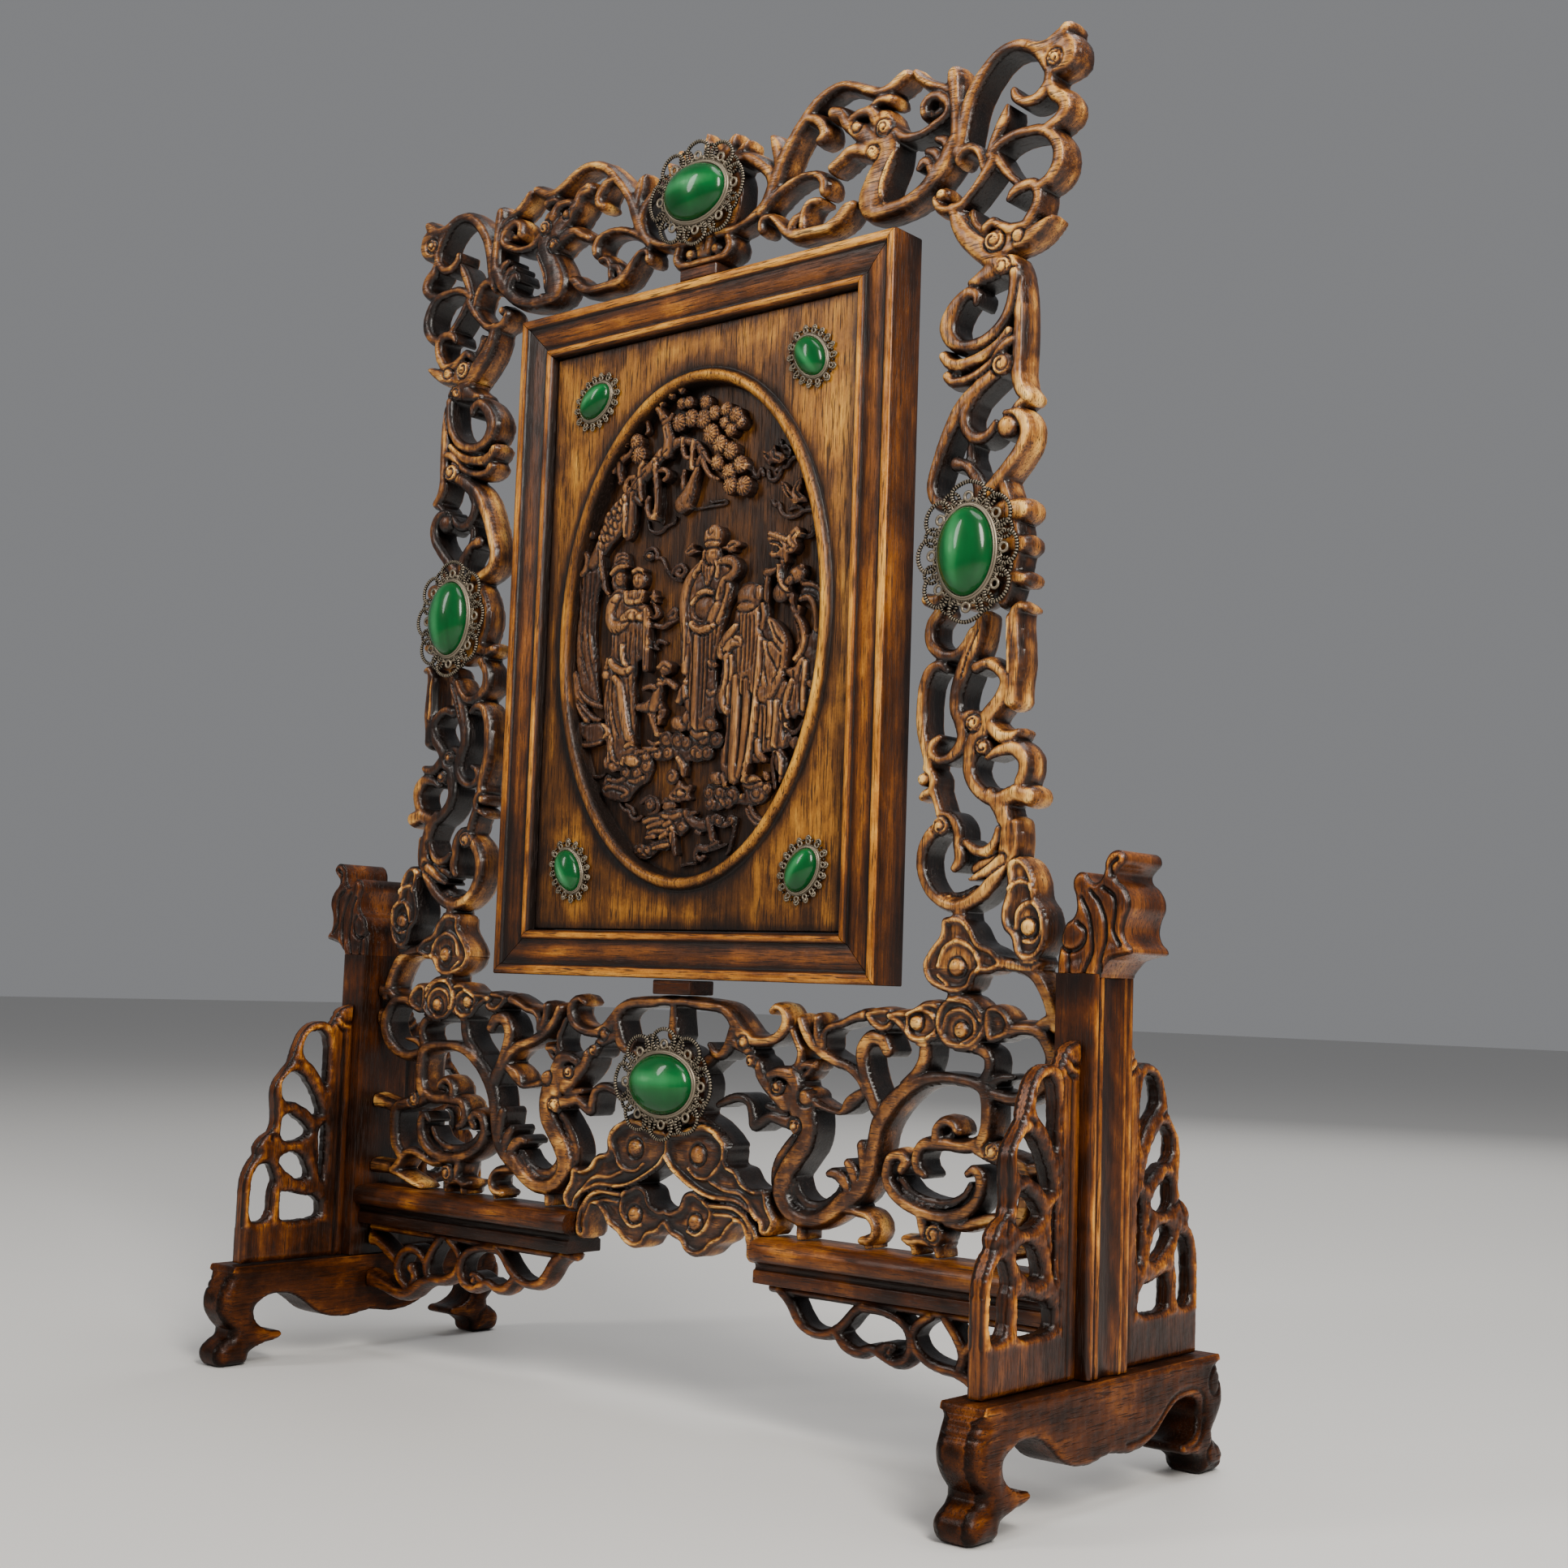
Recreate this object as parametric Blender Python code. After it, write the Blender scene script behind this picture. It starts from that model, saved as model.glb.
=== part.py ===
"""Carved wooden table screen with an openwork frame and a framed relief panel.

Every number in the shape tables is in millimetres; MM turns them into metres.
Z is up, the front of the screen faces -Y, and the object stands on its feet at
Z = 0, centred on X = 0 and Y = 0.

How the real thing is built: two feet run front to back; a fluted post with a
scrolled finial stands on each foot between a front and a back spandrel; a
pierced lower board with a moulded rail spans the posts; two pierced stiles and
a pierced crest rail stand on it and surround the framed panel; oval cabochons
in wire settings are pinned to the boards and to the panel ground.
"""
import math
import bpy
import bmesh
import numpy as np
from mathutils import Vector, geometry

MM = 0.001

# ---------------------------------------------------------------- driving dimensions (mm)
BOARD_HALF = 6.5          # half thickness of the carved boards
SEAM_TOP = 331.0          # joint between stile and crest
SEAM_LOW = 134.0          # joint between stile and lower board
GAP = 0.3                 # clearance kept at every joint between two solids

PANEL_HALF_W = 78.0       # framed panel, half width
PANEL_Z0, PANEL_Z1 = 128.7, 346.2
PANEL_HALF_T = 7.25       # half thickness of the frame members
FRAME_W = 14.4            # moulding width
GROUND_Y = -3.2           # face of the panel ground
OVAL_Z, OVAL_A, OVAL_B = 236.7, 56.3, 81.3    # oval bead: centre height, outer half axes
OVAL_BEAD = 4.4
FLOOR_Y = 1.0             # floor of the oval

POST_X0, POST_X1, POST_HALF_Y = 139.3, 151.2, 10.2
POST_Z0 = 32.0
FOOT_X0, FOOT_X1, FOOT_TOP = 138.7, 152.7, 31.7
SPANDREL_X0, SPANDREL_X1 = 142.2, 148.5
RAIL_X0 = 37.9
APRON_HALF = 4.5

GEM_BIG = (12.5, 9.0, 6.2)      # cabochon half length, half width, dome height
GEM_SMALL = (7.0, 5.0, 3.8)
GEM_FACE_Y = -7.0               # the boards' gems sit on this plane

CELL = 1.0                # sampling step of the board outlines
FLAT_TOL = 1.0
SCENE_CELL, SCENE_TOL = 1.0, 1.05

for block in (bpy.data.objects,):
    for ob in list(block):
        bpy.data.objects.remove(ob, do_unlink=True)

# ---------------------------------------------------------------- materials
def wood(name, rgb, rough=0.42):
    m = bpy.data.materials.new(name)
    m.use_nodes = True
    b = m.node_tree.nodes["Principled BSDF"]
    b.inputs["Base Color"].default_value = (*rgb, 1.0)
    b.inputs["Roughness"].default_value = rough
    m.diffuse_color = (*rgb, 1.0)
    return m


def finish(name, rgb, rough, metal=0.0):
    m = wood(name, rgb, rough)
    m.node_tree.nodes["Principled BSDF"].inputs["Metallic"].default_value = metal
    return m


MAKE = {
    "board": lambda n: wood(n, (0.30, 0.15, 0.065)),
    "stand": lambda n: wood(n, (0.27, 0.125, 0.05)),
    "frame": lambda n: wood(n, (0.24, 0.115, 0.055)),
    "relief": lambda n: wood(n, (0.17, 0.065, 0.035)),
    "stone": lambda n: finish(n, (0.03, 0.30, 0.11), 0.12),
    "wire": lambda n: finish(n, (0.34, 0.30, 0.24), 0.45, 0.9),
}

# Each entry is (kind, depth of its crown below the board face, points).
#   R round limb, o limb laid over its neighbours, L low ledge      (x, z, half width)
#   P flat seat, D dished cloud, both closed outlines               (x, z)
#   K knob, V volute                                                (x, z, radius)
#   E raised rim line, G incised line (relief only)                 (x, z, half width)
# The right half is drawn; the left half mirrors it.
# crest rail: gem seat, arches, dragon, bud, horn loop (right half)
CREST = [
    ('P', 3.6, [(0, 388.1), (6.2, 386.1), (12.2, 381.1), (14.7, 374.1), (13.2, 365), (9.2, 360.5),
        (0, 359.5)]),
    ('R', 2.2, [(-1.3, 385.1, 3.4), (-0.7, 390.1, 2), (0, 393.5, 0.5)]),
    ('R', 2.2, [(6.2, 384.1, 3.2), (9.8, 387.7, 2.2), (11.6, 390.5, 0.8)]),
    ('R', 2.4, [(11.2, 381.6, 3), (14.5, 385.1, 2), (16.4, 387.6, 0.7)]),
    ('R', 2, [(11.2, 383.1, 2.2), (17.2, 382.1, 2), (22.2, 379.1, 2.1), (26.3, 375.4, 2.2),
        (27.9, 371.5, 2.5), (26.9, 367.5, 2.4), (23.8, 364.4, 2), (19.2, 362, 1.4), (13.2, 360.3, 1.3),
        (6.2, 360.2, 1.5)]),
    ('R', 2.2, [(0, 352.3, 1.5), (5.2, 352.3, 1.5), (9.2, 352.9, 1.8), (11.2, 355.3, 2.1),
        (10.4, 358.2, 1.8)]),
    ('R', 3, [(2.2, 359, 2.5), (1.2, 355.5, 2.5), (0, 355, 2.5)]),
    ('K', 2, [(5.4, 355.7, 1.9)]),
    ('R', 1.9, [(23.2, 363, 1.8), (26.8, 367.5, 2.6), (29.3, 373, 2.9), (32.3, 379.1, 2.3),
        (35.8, 384.1, 2.1), (39.8, 388.6, 2.1), (44.3, 392.7, 1.9), (49.4, 395.1, 1.7),
        (54.4, 395.6, 1.6), (59.4, 393.9, 1.6), (64.4, 391.4, 1.7), (68.4, 390, 1.7),
        (72.5, 390.4, 1.8), (75.7, 392.1, 2), (77.5, 392.9, 1.7)]),
    ('R', 2.2, [(30.1, 376.1, 1.8), (29.3, 381.1, 2.5), (28.1, 384.4, 2), (26.7, 386.5, 0.7)]),
    ('R', 1.9, [(40.3, 388.7, 1.5), (44.5, 387.4, 1.9), (47.2, 384.3, 2.1), (47.3, 381.6, 1.9),
        (45.5, 380.5, 1.2)]),
    ('R', 2, [(26.3, 365.8, 1.8), (31.3, 368.4, 1.4), (36.3, 370.3, 1.3), (41.3, 370.9, 1.3),
        (45.7, 369.8, 1.6), (47.9, 367.2, 1.9), (47.8, 364.9, 1.8)]),
    ('R', 2, [(23.8, 357.8, 1.6), (24.1, 360.4, 1.4), (27.3, 361, 1.2), (30.3, 358.6, 1.5),
        (33.3, 355.4, 1.9), (37.3, 353.2, 2), (43.3, 352.9, 1.9), (49.4, 352.9, 1.9),
        (53.9, 354.5, 2.2), (56.7, 357, 2.2), (58.7, 358, 1.4)]),
    ('R', 2, [(35.3, 354.5, 1.6), (36.9, 357.7, 1.7), (39.3, 358.7, 1.5)]),
    ('R', 2, [(40.3, 355.5, 1.4), (40.9, 359.6, 1.5), (42.9, 362, 1.4), (45.9, 362.2, 1)]),
    ('R', 1.6, [(68.9, 380.1, 4.6), (71.5, 374.1, 4.3), (71.1, 368.5, 4.3), (68, 363, 4.7),
        (66.2, 357.5, 5), (68, 353.9, 2.9), (74.5, 353.4, 2.3), (80.5, 354.4, 2.2), (85.5, 356.6, 2.4),
        (89.5, 360, 2.8), (93, 364, 3), (96, 369, 2.3)]),
    ('E', 1, [(75.5, 370.5, 0.6), (72.1, 364.5, 0.7), (70.5, 359, 0.7), (72, 355, 0.5)]),
    ('R', 1.4, [(56.4, 383.6, 1.8), (59.4, 380.6, 2.4), (63.4, 378.1, 3.4), (66.4, 375.1, 3.6)]),
    ('R', 0.9, [(51.6, 387.5, 2.3), (54.9, 386.1, 2.2), (56.9, 383.1, 2.4), (59.4, 380.6, 2.2)]),
    ('R', 1, [(59.2, 384.1, 1.4), (62.4, 384.9, 1.6), (65.9, 384.1, 1.9), (68, 380.9, 1.9)]),
    ('K', 0.6, [(61, 380.7, 1.6)]),
    ('R', 1.6, [(51, 370.7, 1.5), (53.9, 372.2, 1.8), (57.9, 374.4, 1.9), (62.4, 373.9, 2.4),
        (65.9, 372.5, 2.4)]),
    ('V', 0.9, [(67, 371.4, 2.3)]),
    ('V', 0.7, [(71.1, 378.1, 2.5)]),
    ('R', 2, [(64.9, 385.7, 1.3), (68.4, 387.4, 1.4), (72.1, 386.9, 1.8)]),
    ('R', 2, [(84.7, 379.1, 1.6), (84.7, 381.9, 1.7), (87.1, 383.7, 1.6), (90.5, 383.1, 1.8),
        (93.3, 380.1, 1.7), (92.5, 377.1, 1.5), (88.5, 375, 1.5), (83.5, 373.4, 1.4),
        (78.5, 373.8, 1.6), (74.5, 376.1, 2)]),
    ('L', 4.2, [(87, 378.7, 1.2), (90.5, 379.9, 1.5)]),
    ('R', 2, [(80.9, 392.7, 1), (83.1, 390, 1.4), (87, 387.4, 1.5), (91.5, 385.3, 1.4), (95, 383.1, 1.8)]),
    ('R', 1.7, [(96.2, 367, 2.2), (96.2, 373, 2.2), (95.8, 380.1, 2.1), (95.1, 386.1, 2.5),
        (94.8, 389.5, 1.7)]),
    ('R', 1.9, [(97.1, 365, 2.8), (98.4, 371.5, 2.7), (100, 377.6, 2.5), (102.5, 382.7, 2.4),
        (106.2, 387.1, 2.2), (110.6, 390.4, 2), (115.6, 391.4, 1.9), (120.7, 389.8, 2.1),
        (124.7, 386.4, 2.4), (127.3, 382.1, 2.4)]),
    ('R', 1.6, [(120.7, 389.6, 1.2), (126.2, 388.1, 2.4), (130.7, 389.3, 2.5), (134.1, 393, 0.7)]),
    ('R', 1.6, [(128.5, 385.6, 3.2), (132.3, 387.1, 3.4), (133, 383.6, 3.6), (129.7, 381.6, 2.6)]),
    ('V', 1, [(129.3, 383.7, 2.4)]),
    ('R', 2, [(127.5, 381.1, 2.2), (126.6, 377.1, 1.9), (123.3, 374.2, 1.7), (119.3, 374.1, 1.5),
        (116.4, 376.1, 1.5), (115.7, 377.9, 1.2)]),
    ('R', 2, [(127.2, 378.1, 1.6), (128.7, 374.5, 2.2), (131.7, 372, 2.5), (132.6, 369, 2.5),
        (130.5, 366.4, 2), (126.7, 364.7, 1.7)]),
    ('R', 1.9, [(108.2, 361.4, 1.9), (111.2, 363.7, 1.5), (115.6, 365.2, 1.5), (120.7, 365.2, 1.5),
        (125.7, 364.4, 1.7), (129.1, 361.6, 2), (130.9, 357.6, 2.3), (130.6, 353.6, 2.4),
        (128.1, 350.2, 2), (124.7, 348.7, 1.6)]),
    ('R', 1.9, [(115, 346.9, 0.9), (116.5, 348.8, 1.6), (119.7, 350, 1.8), (123.1, 349.4, 1.8),
        (124.5, 346.4, 1.9), (123.7, 342.9, 1.9), (121.3, 339.7, 1.7)]),
    ('R', 2.2, [(109.9, 360.5, 1.7), (112.4, 356.8, 1.4), (115.6, 353, 1.2), (118.5, 350.5, 1.3)]),
    ('R', 1.9, [(91.9, 353.8, 1.9), (89.7, 352.4, 1.5), (91.1, 349.6, 1.5), (95.1, 348.5, 1.5),
        (99.6, 349.7, 1.5), (103.6, 353.2, 1.6), (106.9, 356.8, 1.9), (109.1, 360, 1.8)]),
    ('K', 1.6, [(91.7, 353.5, 1.7)]),
    ('R', 2, [(96.9, 362.3, 1.2), (98.1, 364.4, 1.5), (100.9, 365.2, 1.5), (103.6, 363.8, 1.4),
        (105.1, 361, 1.4), (105.9, 358.3, 1.4)]),
    ('R', 2, [(108.1, 362.5, 1.3), (110.4, 367, 1.9), (112.6, 371, 1.9), (113.9, 374.1, 0.6)]),
    ('R', 2, [(94.1, 365.5, 2), (92.5, 369, 1.8), (90, 370.3, 1.2)]),
    ('R', 1.8, [(91.5, 362.5, 2), (89.3, 366.3, 1.8), (86.8, 367.3, 1.3)]),
    ('R', 1.6, [(89, 359.5, 2), (87.3, 363.6, 1.8), (85.2, 364.4, 1.6), (83.8, 362.8, 0.9)]),
]

# neck between crest and stile
NECK = [
    ('P', 4.5, [(96.1, 347.4), (102.1, 346.4), (104.6, 341.9), (107.6, 338.9), (110.6, 334.9),
        (104.6, 332.9), (98.6, 338.9)]),
    ('R', 2, [(95.6, 348.9, 1.8), (96.9, 344.3, 2.4), (99.4, 340.2, 2.8), (103.1, 336.6, 3.1),
        (107.6, 332.9, 3.4), (111.6, 329.5, 3.4)]),
    ('L', 3.2, [(102.2, 346.4, 0.8), (103.2, 342.9, 0.9), (106.1, 339.7, 1)]),
    ('R', 2, [(107.2, 340.5, 1.4), (109.6, 341.7, 1.4), (112.2, 340.1, 1.5), (115.6, 338.6, 1.6),
        (120.2, 338.6, 1.8), (123.7, 341.9, 1.8)]),
    ('P', 3, [(106.6, 337.9), (112.6, 338.9), (120.7, 338.9), (122.7, 334.9), (116.6, 331.9),
        (110.6, 331.4)]),
    ('R', 1.9, [(118.2, 334.4, 2.2), (121.7, 335.4, 2.3), (125.2, 337.2, 1.9), (128.7, 339.1, 0.8)]),
    ('V', 1.4, [(110.2, 336.1, 3.1)]),
    ('K', 1.4, [(118.3, 335.9, 1.9)]),
]

# stile: scrolls, feather leaves, volutes, side gem seat
STILE = [
    ('R', 2.2, [(112.1, 332.9, 3), (110.6, 328.9, 3.5), (105.6, 326.4, 2.4), (102.6, 325.2, 1.8)]),
    ('R', 2.2, [(113.1, 331.9, 2.8), (116.6, 327.4, 2.3), (118.3, 320.8, 2.1), (118.9, 312.8, 2.1),
        (118.9, 304.8, 2.1), (118.5, 298.2, 2.2), (119.6, 293, 2.1), (121.9, 290.2, 1.8)]),
    ('V', 1.6, [(113.2, 328.3, 2.7)]),
    ('G', 1, [(116.4, 325.8, 0.3), (117.3, 317.8, 0.3), (117.1, 309.8, 0.3), (115.2, 305.8, 0.3)]),
    ('R', 3.4, [(95.6, 300.7, 2), (102.6, 303.8, 2.5), (110.6, 304.8, 3), (115.6, 308.8, 2.5)]),
    ('o', 2.6, [(94.6, 300.1, 1.6), (96.8, 298.2, 1.5), (101.6, 298.1, 1.4), (106.6, 299.7, 1.3),
        (111.6, 302.7, 1.1)]),
    ('o', 2.4, [(93.4, 306.1, 1.8), (95.6, 303.9, 1.9), (100.1, 302.7, 1.8), (105.6, 303.6, 1.7),
        (111.1, 306, 1.5), (115.6, 309.8, 1.1)]),
    ('o', 2.1, [(104.6, 319.3, 1), (104.4, 321.8, 1.8), (101.1, 322.8, 2), (97.2, 319.8, 2.6),
        (94.6, 314.8, 3), (96.2, 310.3, 2.5), (100.6, 307.8, 1.8), (106.1, 307.9, 1.7),
        (111.1, 310.2, 1.7), (114.8, 314.3, 1.6), (116.6, 319.8, 1.6), (117, 325.8, 1.7)]),
    ('R', 2, [(111.4, 298.2, 2), (105.8, 294.9, 2.5), (100, 290.2, 2.7), (95.6, 283.2, 2.2),
        (92.5, 275.6, 2), (90.8, 269.6, 1.9), (91.9, 265.1, 2), (96.1, 262.6, 2), (100.6, 262.1, 2)]),
    ('R', 2.2, [(111.6, 302.7, 1.5), (114.1, 305.8, 1.5), (117.2, 306.8, 1.5)]),
    ('V', 1.4, [(113.9, 300.3, 3.3)]),
    ('R', 2.1, [(103.1, 291.7, 2), (101.4, 287.5, 1.8), (102.4, 283.3, 1.9), (105.9, 280.7, 1.9),
        (109.6, 281.2, 1.6), (112.2, 284.1, 0.9)]),
    ('R', 1.9, [(115.6, 286, 1.3), (119.7, 285.3, 2.1), (121.9, 281.7, 2.1), (121.1, 277.1, 2.1),
        (117.5, 272.4, 2.1), (113.4, 268.4, 2.2), (110.1, 265.1, 2.2)]),
    ('K', 1.2, [(115.8, 282.5, 3.4)]),
    ('R', 2.6, [(118.5, 287.7, 1.2), (120.5, 289.3, 1.4)]),
    ('R', 2.2, [(98.9, 274.4, 2.2), (102.1, 273.4, 1.5), (104.6, 271.1, 1.9), (106.6, 268.1, 2.2),
        (107.6, 263.6, 2.8)]),
    ('L', 3.6, [(103.6, 280.3, 1.2), (103, 277, 1.2), (104.1, 273.1, 1.4)]),
    ('P', 3.2, [(105.3, 263.1), (113.6, 260.1), (118.3, 253.5), (119.2, 247.9), (118.3, 241.5),
        (113.6, 236), (105.3, 232.9), (97.1, 236.5), (93.6, 242.5), (92.5, 247.9), (93.6, 253.5),
        (97.6, 260.1)]),
    ('R', 2.4, [(89.5, 236.9, 1.8), (92.5, 236.3, 2), (96.6, 237.5, 2.4)]),
    ('R', 1.9, [(114.6, 259.1, 3), (119.7, 259.4, 2.9), (121.7, 259.3, 2.3)]),
    ('R', 1.9, [(115.6, 250.1, 2.3), (121.9, 250.1, 2.2)]),
    ('R', 2.1, [(115.1, 241.5, 2.2), (119.7, 241.8, 2.2), (122.1, 240.5, 2)]),
    ('R', 2.6, [(115.6, 234.5, 2.4), (119.2, 245.5, 2.2), (118.7, 254.5, 2.2), (116.1, 262.6, 2),
        (114.6, 266.6, 2)]),
    ('R', 2, [(123.1, 231.6, 0.8), (120.7, 232, 1.6), (119.3, 228.4, 2.4), (119.6, 222.4, 2.6),
        (119.8, 216.4, 2.7), (119.1, 210.9, 2.6), (119, 206.9, 2.7)]),
    ('E', 1.2, [(117.7, 230.4, 0.4), (118.3, 222.4, 0.4), (118.5, 214.4, 0.4)]),
    ('R', 2.1, [(94.6, 233, 2), (91.9, 229.4, 2.1), (91.9, 224.4, 2.2), (95.4, 221, 2),
        (100.1, 220.3, 1.8), (103.6, 222.7, 1.8), (106.1, 226.4, 1.8)]),
    ('R', 2, [(109, 230.4, 1.6), (107, 223.9, 2.5), (103.6, 216.9, 2.7), (101.3, 210.4, 2.4),
        (101, 205.3, 2.2), (102.6, 201.8, 2.3), (103.6, 197.3, 2.1), (101.9, 193.7, 2),
        (98.9, 191.6, 1.5), (95.6, 191.4, 1.3), (93.2, 193.5, 1.3), (93.9, 196.1, 1.2),
        (96.1, 197.5, 0.9)]),
    ('G', 1, [(108.2, 226.4, 0.3), (104.9, 219.4, 0.3), (102.9, 213.4, 0.3)]),
    ('R', 2, [(98, 216, 0.9), (95.6, 217.8, 1.5), (92.1, 216.8, 1.9), (89.9, 212.4, 1.9),
        (89.3, 206.3, 1.9), (89.5, 200.3, 1.9), (90.8, 195.3, 1.8), (91.9, 191.3, 1.6),
        (91.9, 188.3, 1.6)]),
    ('R', 2.2, [(91.5, 189.3, 1.6), (93.8, 186.2, 1.5), (93.8, 183.2, 1.5), (95.4, 179.2, 1.4),
        (96.6, 175.8, 1.5)]),
    ('R', 2.2, [(93.6, 182.8, 1.3), (91.5, 182.2, 1.5), (89.9, 181.2, 1)]),
    ('K', 1.6, [(90.5, 186.1, 1.9)]),
    ('R', 1.9, [(107.6, 216.3, 1.9), (111.1, 217.3, 1.8), (114.9, 215.4, 1.7), (117.4, 211.9, 2),
        (115.6, 207.1, 2.3), (112.1, 203.3, 2.5), (109.6, 199.3, 3), (107.2, 195.3, 3),
        (106, 190.8, 2.3)]),
    ('R', 2.2, [(103.6, 202.8, 1.8), (106.6, 203.5, 1.4), (109.6, 202.3, 1.4)]),
    ('V', 1.3, [(107.5, 200.9, 2.4)]),
    ('R', 2.1, [(112.1, 200.3, 2), (115.6, 197.3, 2.1), (119.3, 196.9, 1.8), (121.5, 197.9, 0.9)]),
    ('R', 1.9, [(106.6, 192.8, 2.4), (105.8, 188.3, 2), (107.6, 184.2, 2), (111.1, 181.2, 2.1),
        (115.6, 179.8, 2.4), (120.2, 181, 2.6)]),
    ('R', 1.9, [(112.2, 191.7, 1.2), (116.1, 193.1, 1.6), (120.3, 193.6, 2.3), (123.5, 190.9, 2.3),
        (123.9, 187.3, 2), (122.7, 184.2, 2)]),
    ('V', 1.3, [(110.8, 194.2, 2.4)]),
    ('R', 1.6, [(121.5, 181.5, 2.6), (125.5, 180.4, 2.8)]),
    ('R', 1.9, [(113.1, 181.2, 2.2), (116.6, 177.2, 2.7), (118.3, 172.2, 2.4), (118.5, 167.2, 2.3),
        (117.3, 162.1, 2.3), (114.3, 157.6, 2.2), (109.7, 153.4, 2.1), (104, 151, 1.9),
        (98.5, 151.7, 1.8), (93.8, 155.1, 1.8), (91.1, 160.1, 1.8), (90.8, 165.7, 1.9),
        (93, 170.2, 2.1), (96.1, 172.8, 2.2)]),
    ('R', 2, [(96.6, 175.8, 1.5), (100.1, 175.4, 1.5), (102.5, 172.5, 1.7), (103, 168.2, 1.8),
        (103.6, 163.9, 1.8), (102.1, 161.3, 1.2)]),
    ('V', 1.3, [(97.4, 172.8, 2.8)]),
    ('L', 4.2, [(107.7, 161.1, 1.6), (112.2, 163.1, 2.2), (116.2, 164.1, 2.2)]),
    ('o', 2.4, [(105.4, 168.2, 1.2), (108.6, 166.1, 1.5), (112.2, 166.1, 1.4), (114.8, 168.4, 1.3),
        (116, 171.8, 1)]),
    ('o', 2.6, [(107.2, 158.3, 0.5), (110.4, 159.5, 1.3), (113.7, 161.2, 1.5), (117.3, 163.7, 1.9)]),
    ('L', 4.6, [(97.9, 153.7, 1.2), (102.9, 153.4, 1.6), (107.9, 155.4, 1.4)]),
]

# ruyi clouds that tie the stile to the lower board
CLOUDS = [
    ('R', 2.6, [(120.2, 163.1, 2.2), (120.8, 168.1, 2.2), (120.7, 173.1, 2)]),
    ('D', 0.9, [(120.5, 157), (119.8, 153.5), (118.6, 149), (119.5, 145), (122, 142.5), (123.1, 138.6),
        (125.5, 136.6), (129.5, 137), (132.3, 140.5), (133.1, 145.5), (132, 150), (129.5, 153.5),
        (128.8, 158), (126.7, 162.1), (123.5, 164.1), (120.2, 162.1)]),
    ('E', 0.5, [(121.1, 155.5, 0.6), (123.5, 157.4, 0.6), (126.9, 156.8, 0.6), (129.5, 154, 0.5)]),
    ('E', 0.4, [(123.1, 145.2, 0.6), (123.8, 149.4, 0.7), (127.1, 151.9, 0.7), (130.7, 149.8, 0.6),
        (131.3, 145, 0.5), (129.1, 141.6, 0.5), (125.5, 141.6, 0.4)]),
    ('K', 0.3, [(127.1, 145.4, 2.4)]),
    ('D', 1.3, [(99, 147.6), (98.2, 143.2), (94.6, 138.8), (92.6, 135), (93.8, 131), (97.2, 128.6),
        (103.2, 127.2), (108.2, 128.4), (110.7, 132.4), (115.3, 133), (118.9, 135.6), (115.8, 139.4),
        (111.2, 141.4), (108.6, 145.4), (105.2, 147.8)]),
    ('E', 0.6, [(98, 134.6, 0.6), (99.8, 139.4, 0.7), (104.2, 141.4, 0.7), (109.2, 139.2, 0.7),
        (111.4, 134.8, 0.6), (109.8, 131, 0.4)]),
    ('E', 0.9, [(101.2, 129.6, 0.4), (97.8, 132, 0.5)]),
    ('K', 0.6, [(104.2, 134.4, 2.6)]),
    ('R', 2, [(103.8, 149, 2.4), (103.8, 145, 3)]),
    ('R', 2.2, [(114.3, 136.3, 2.2), (119.5, 135.6, 1.9), (125.5, 134.4, 2), (129.7, 131.6, 2.2),
        (133, 126, 2.2), (135.2, 119.5, 2.2)]),
    ('R', 2.4, [(126.1, 138, 1.8), (127.1, 134.8, 2), (129.5, 136, 1.6)]),
    ('R', 2.6, [(103.8, 131, 2.6), (103.7, 126, 2.6)]),
]

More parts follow.
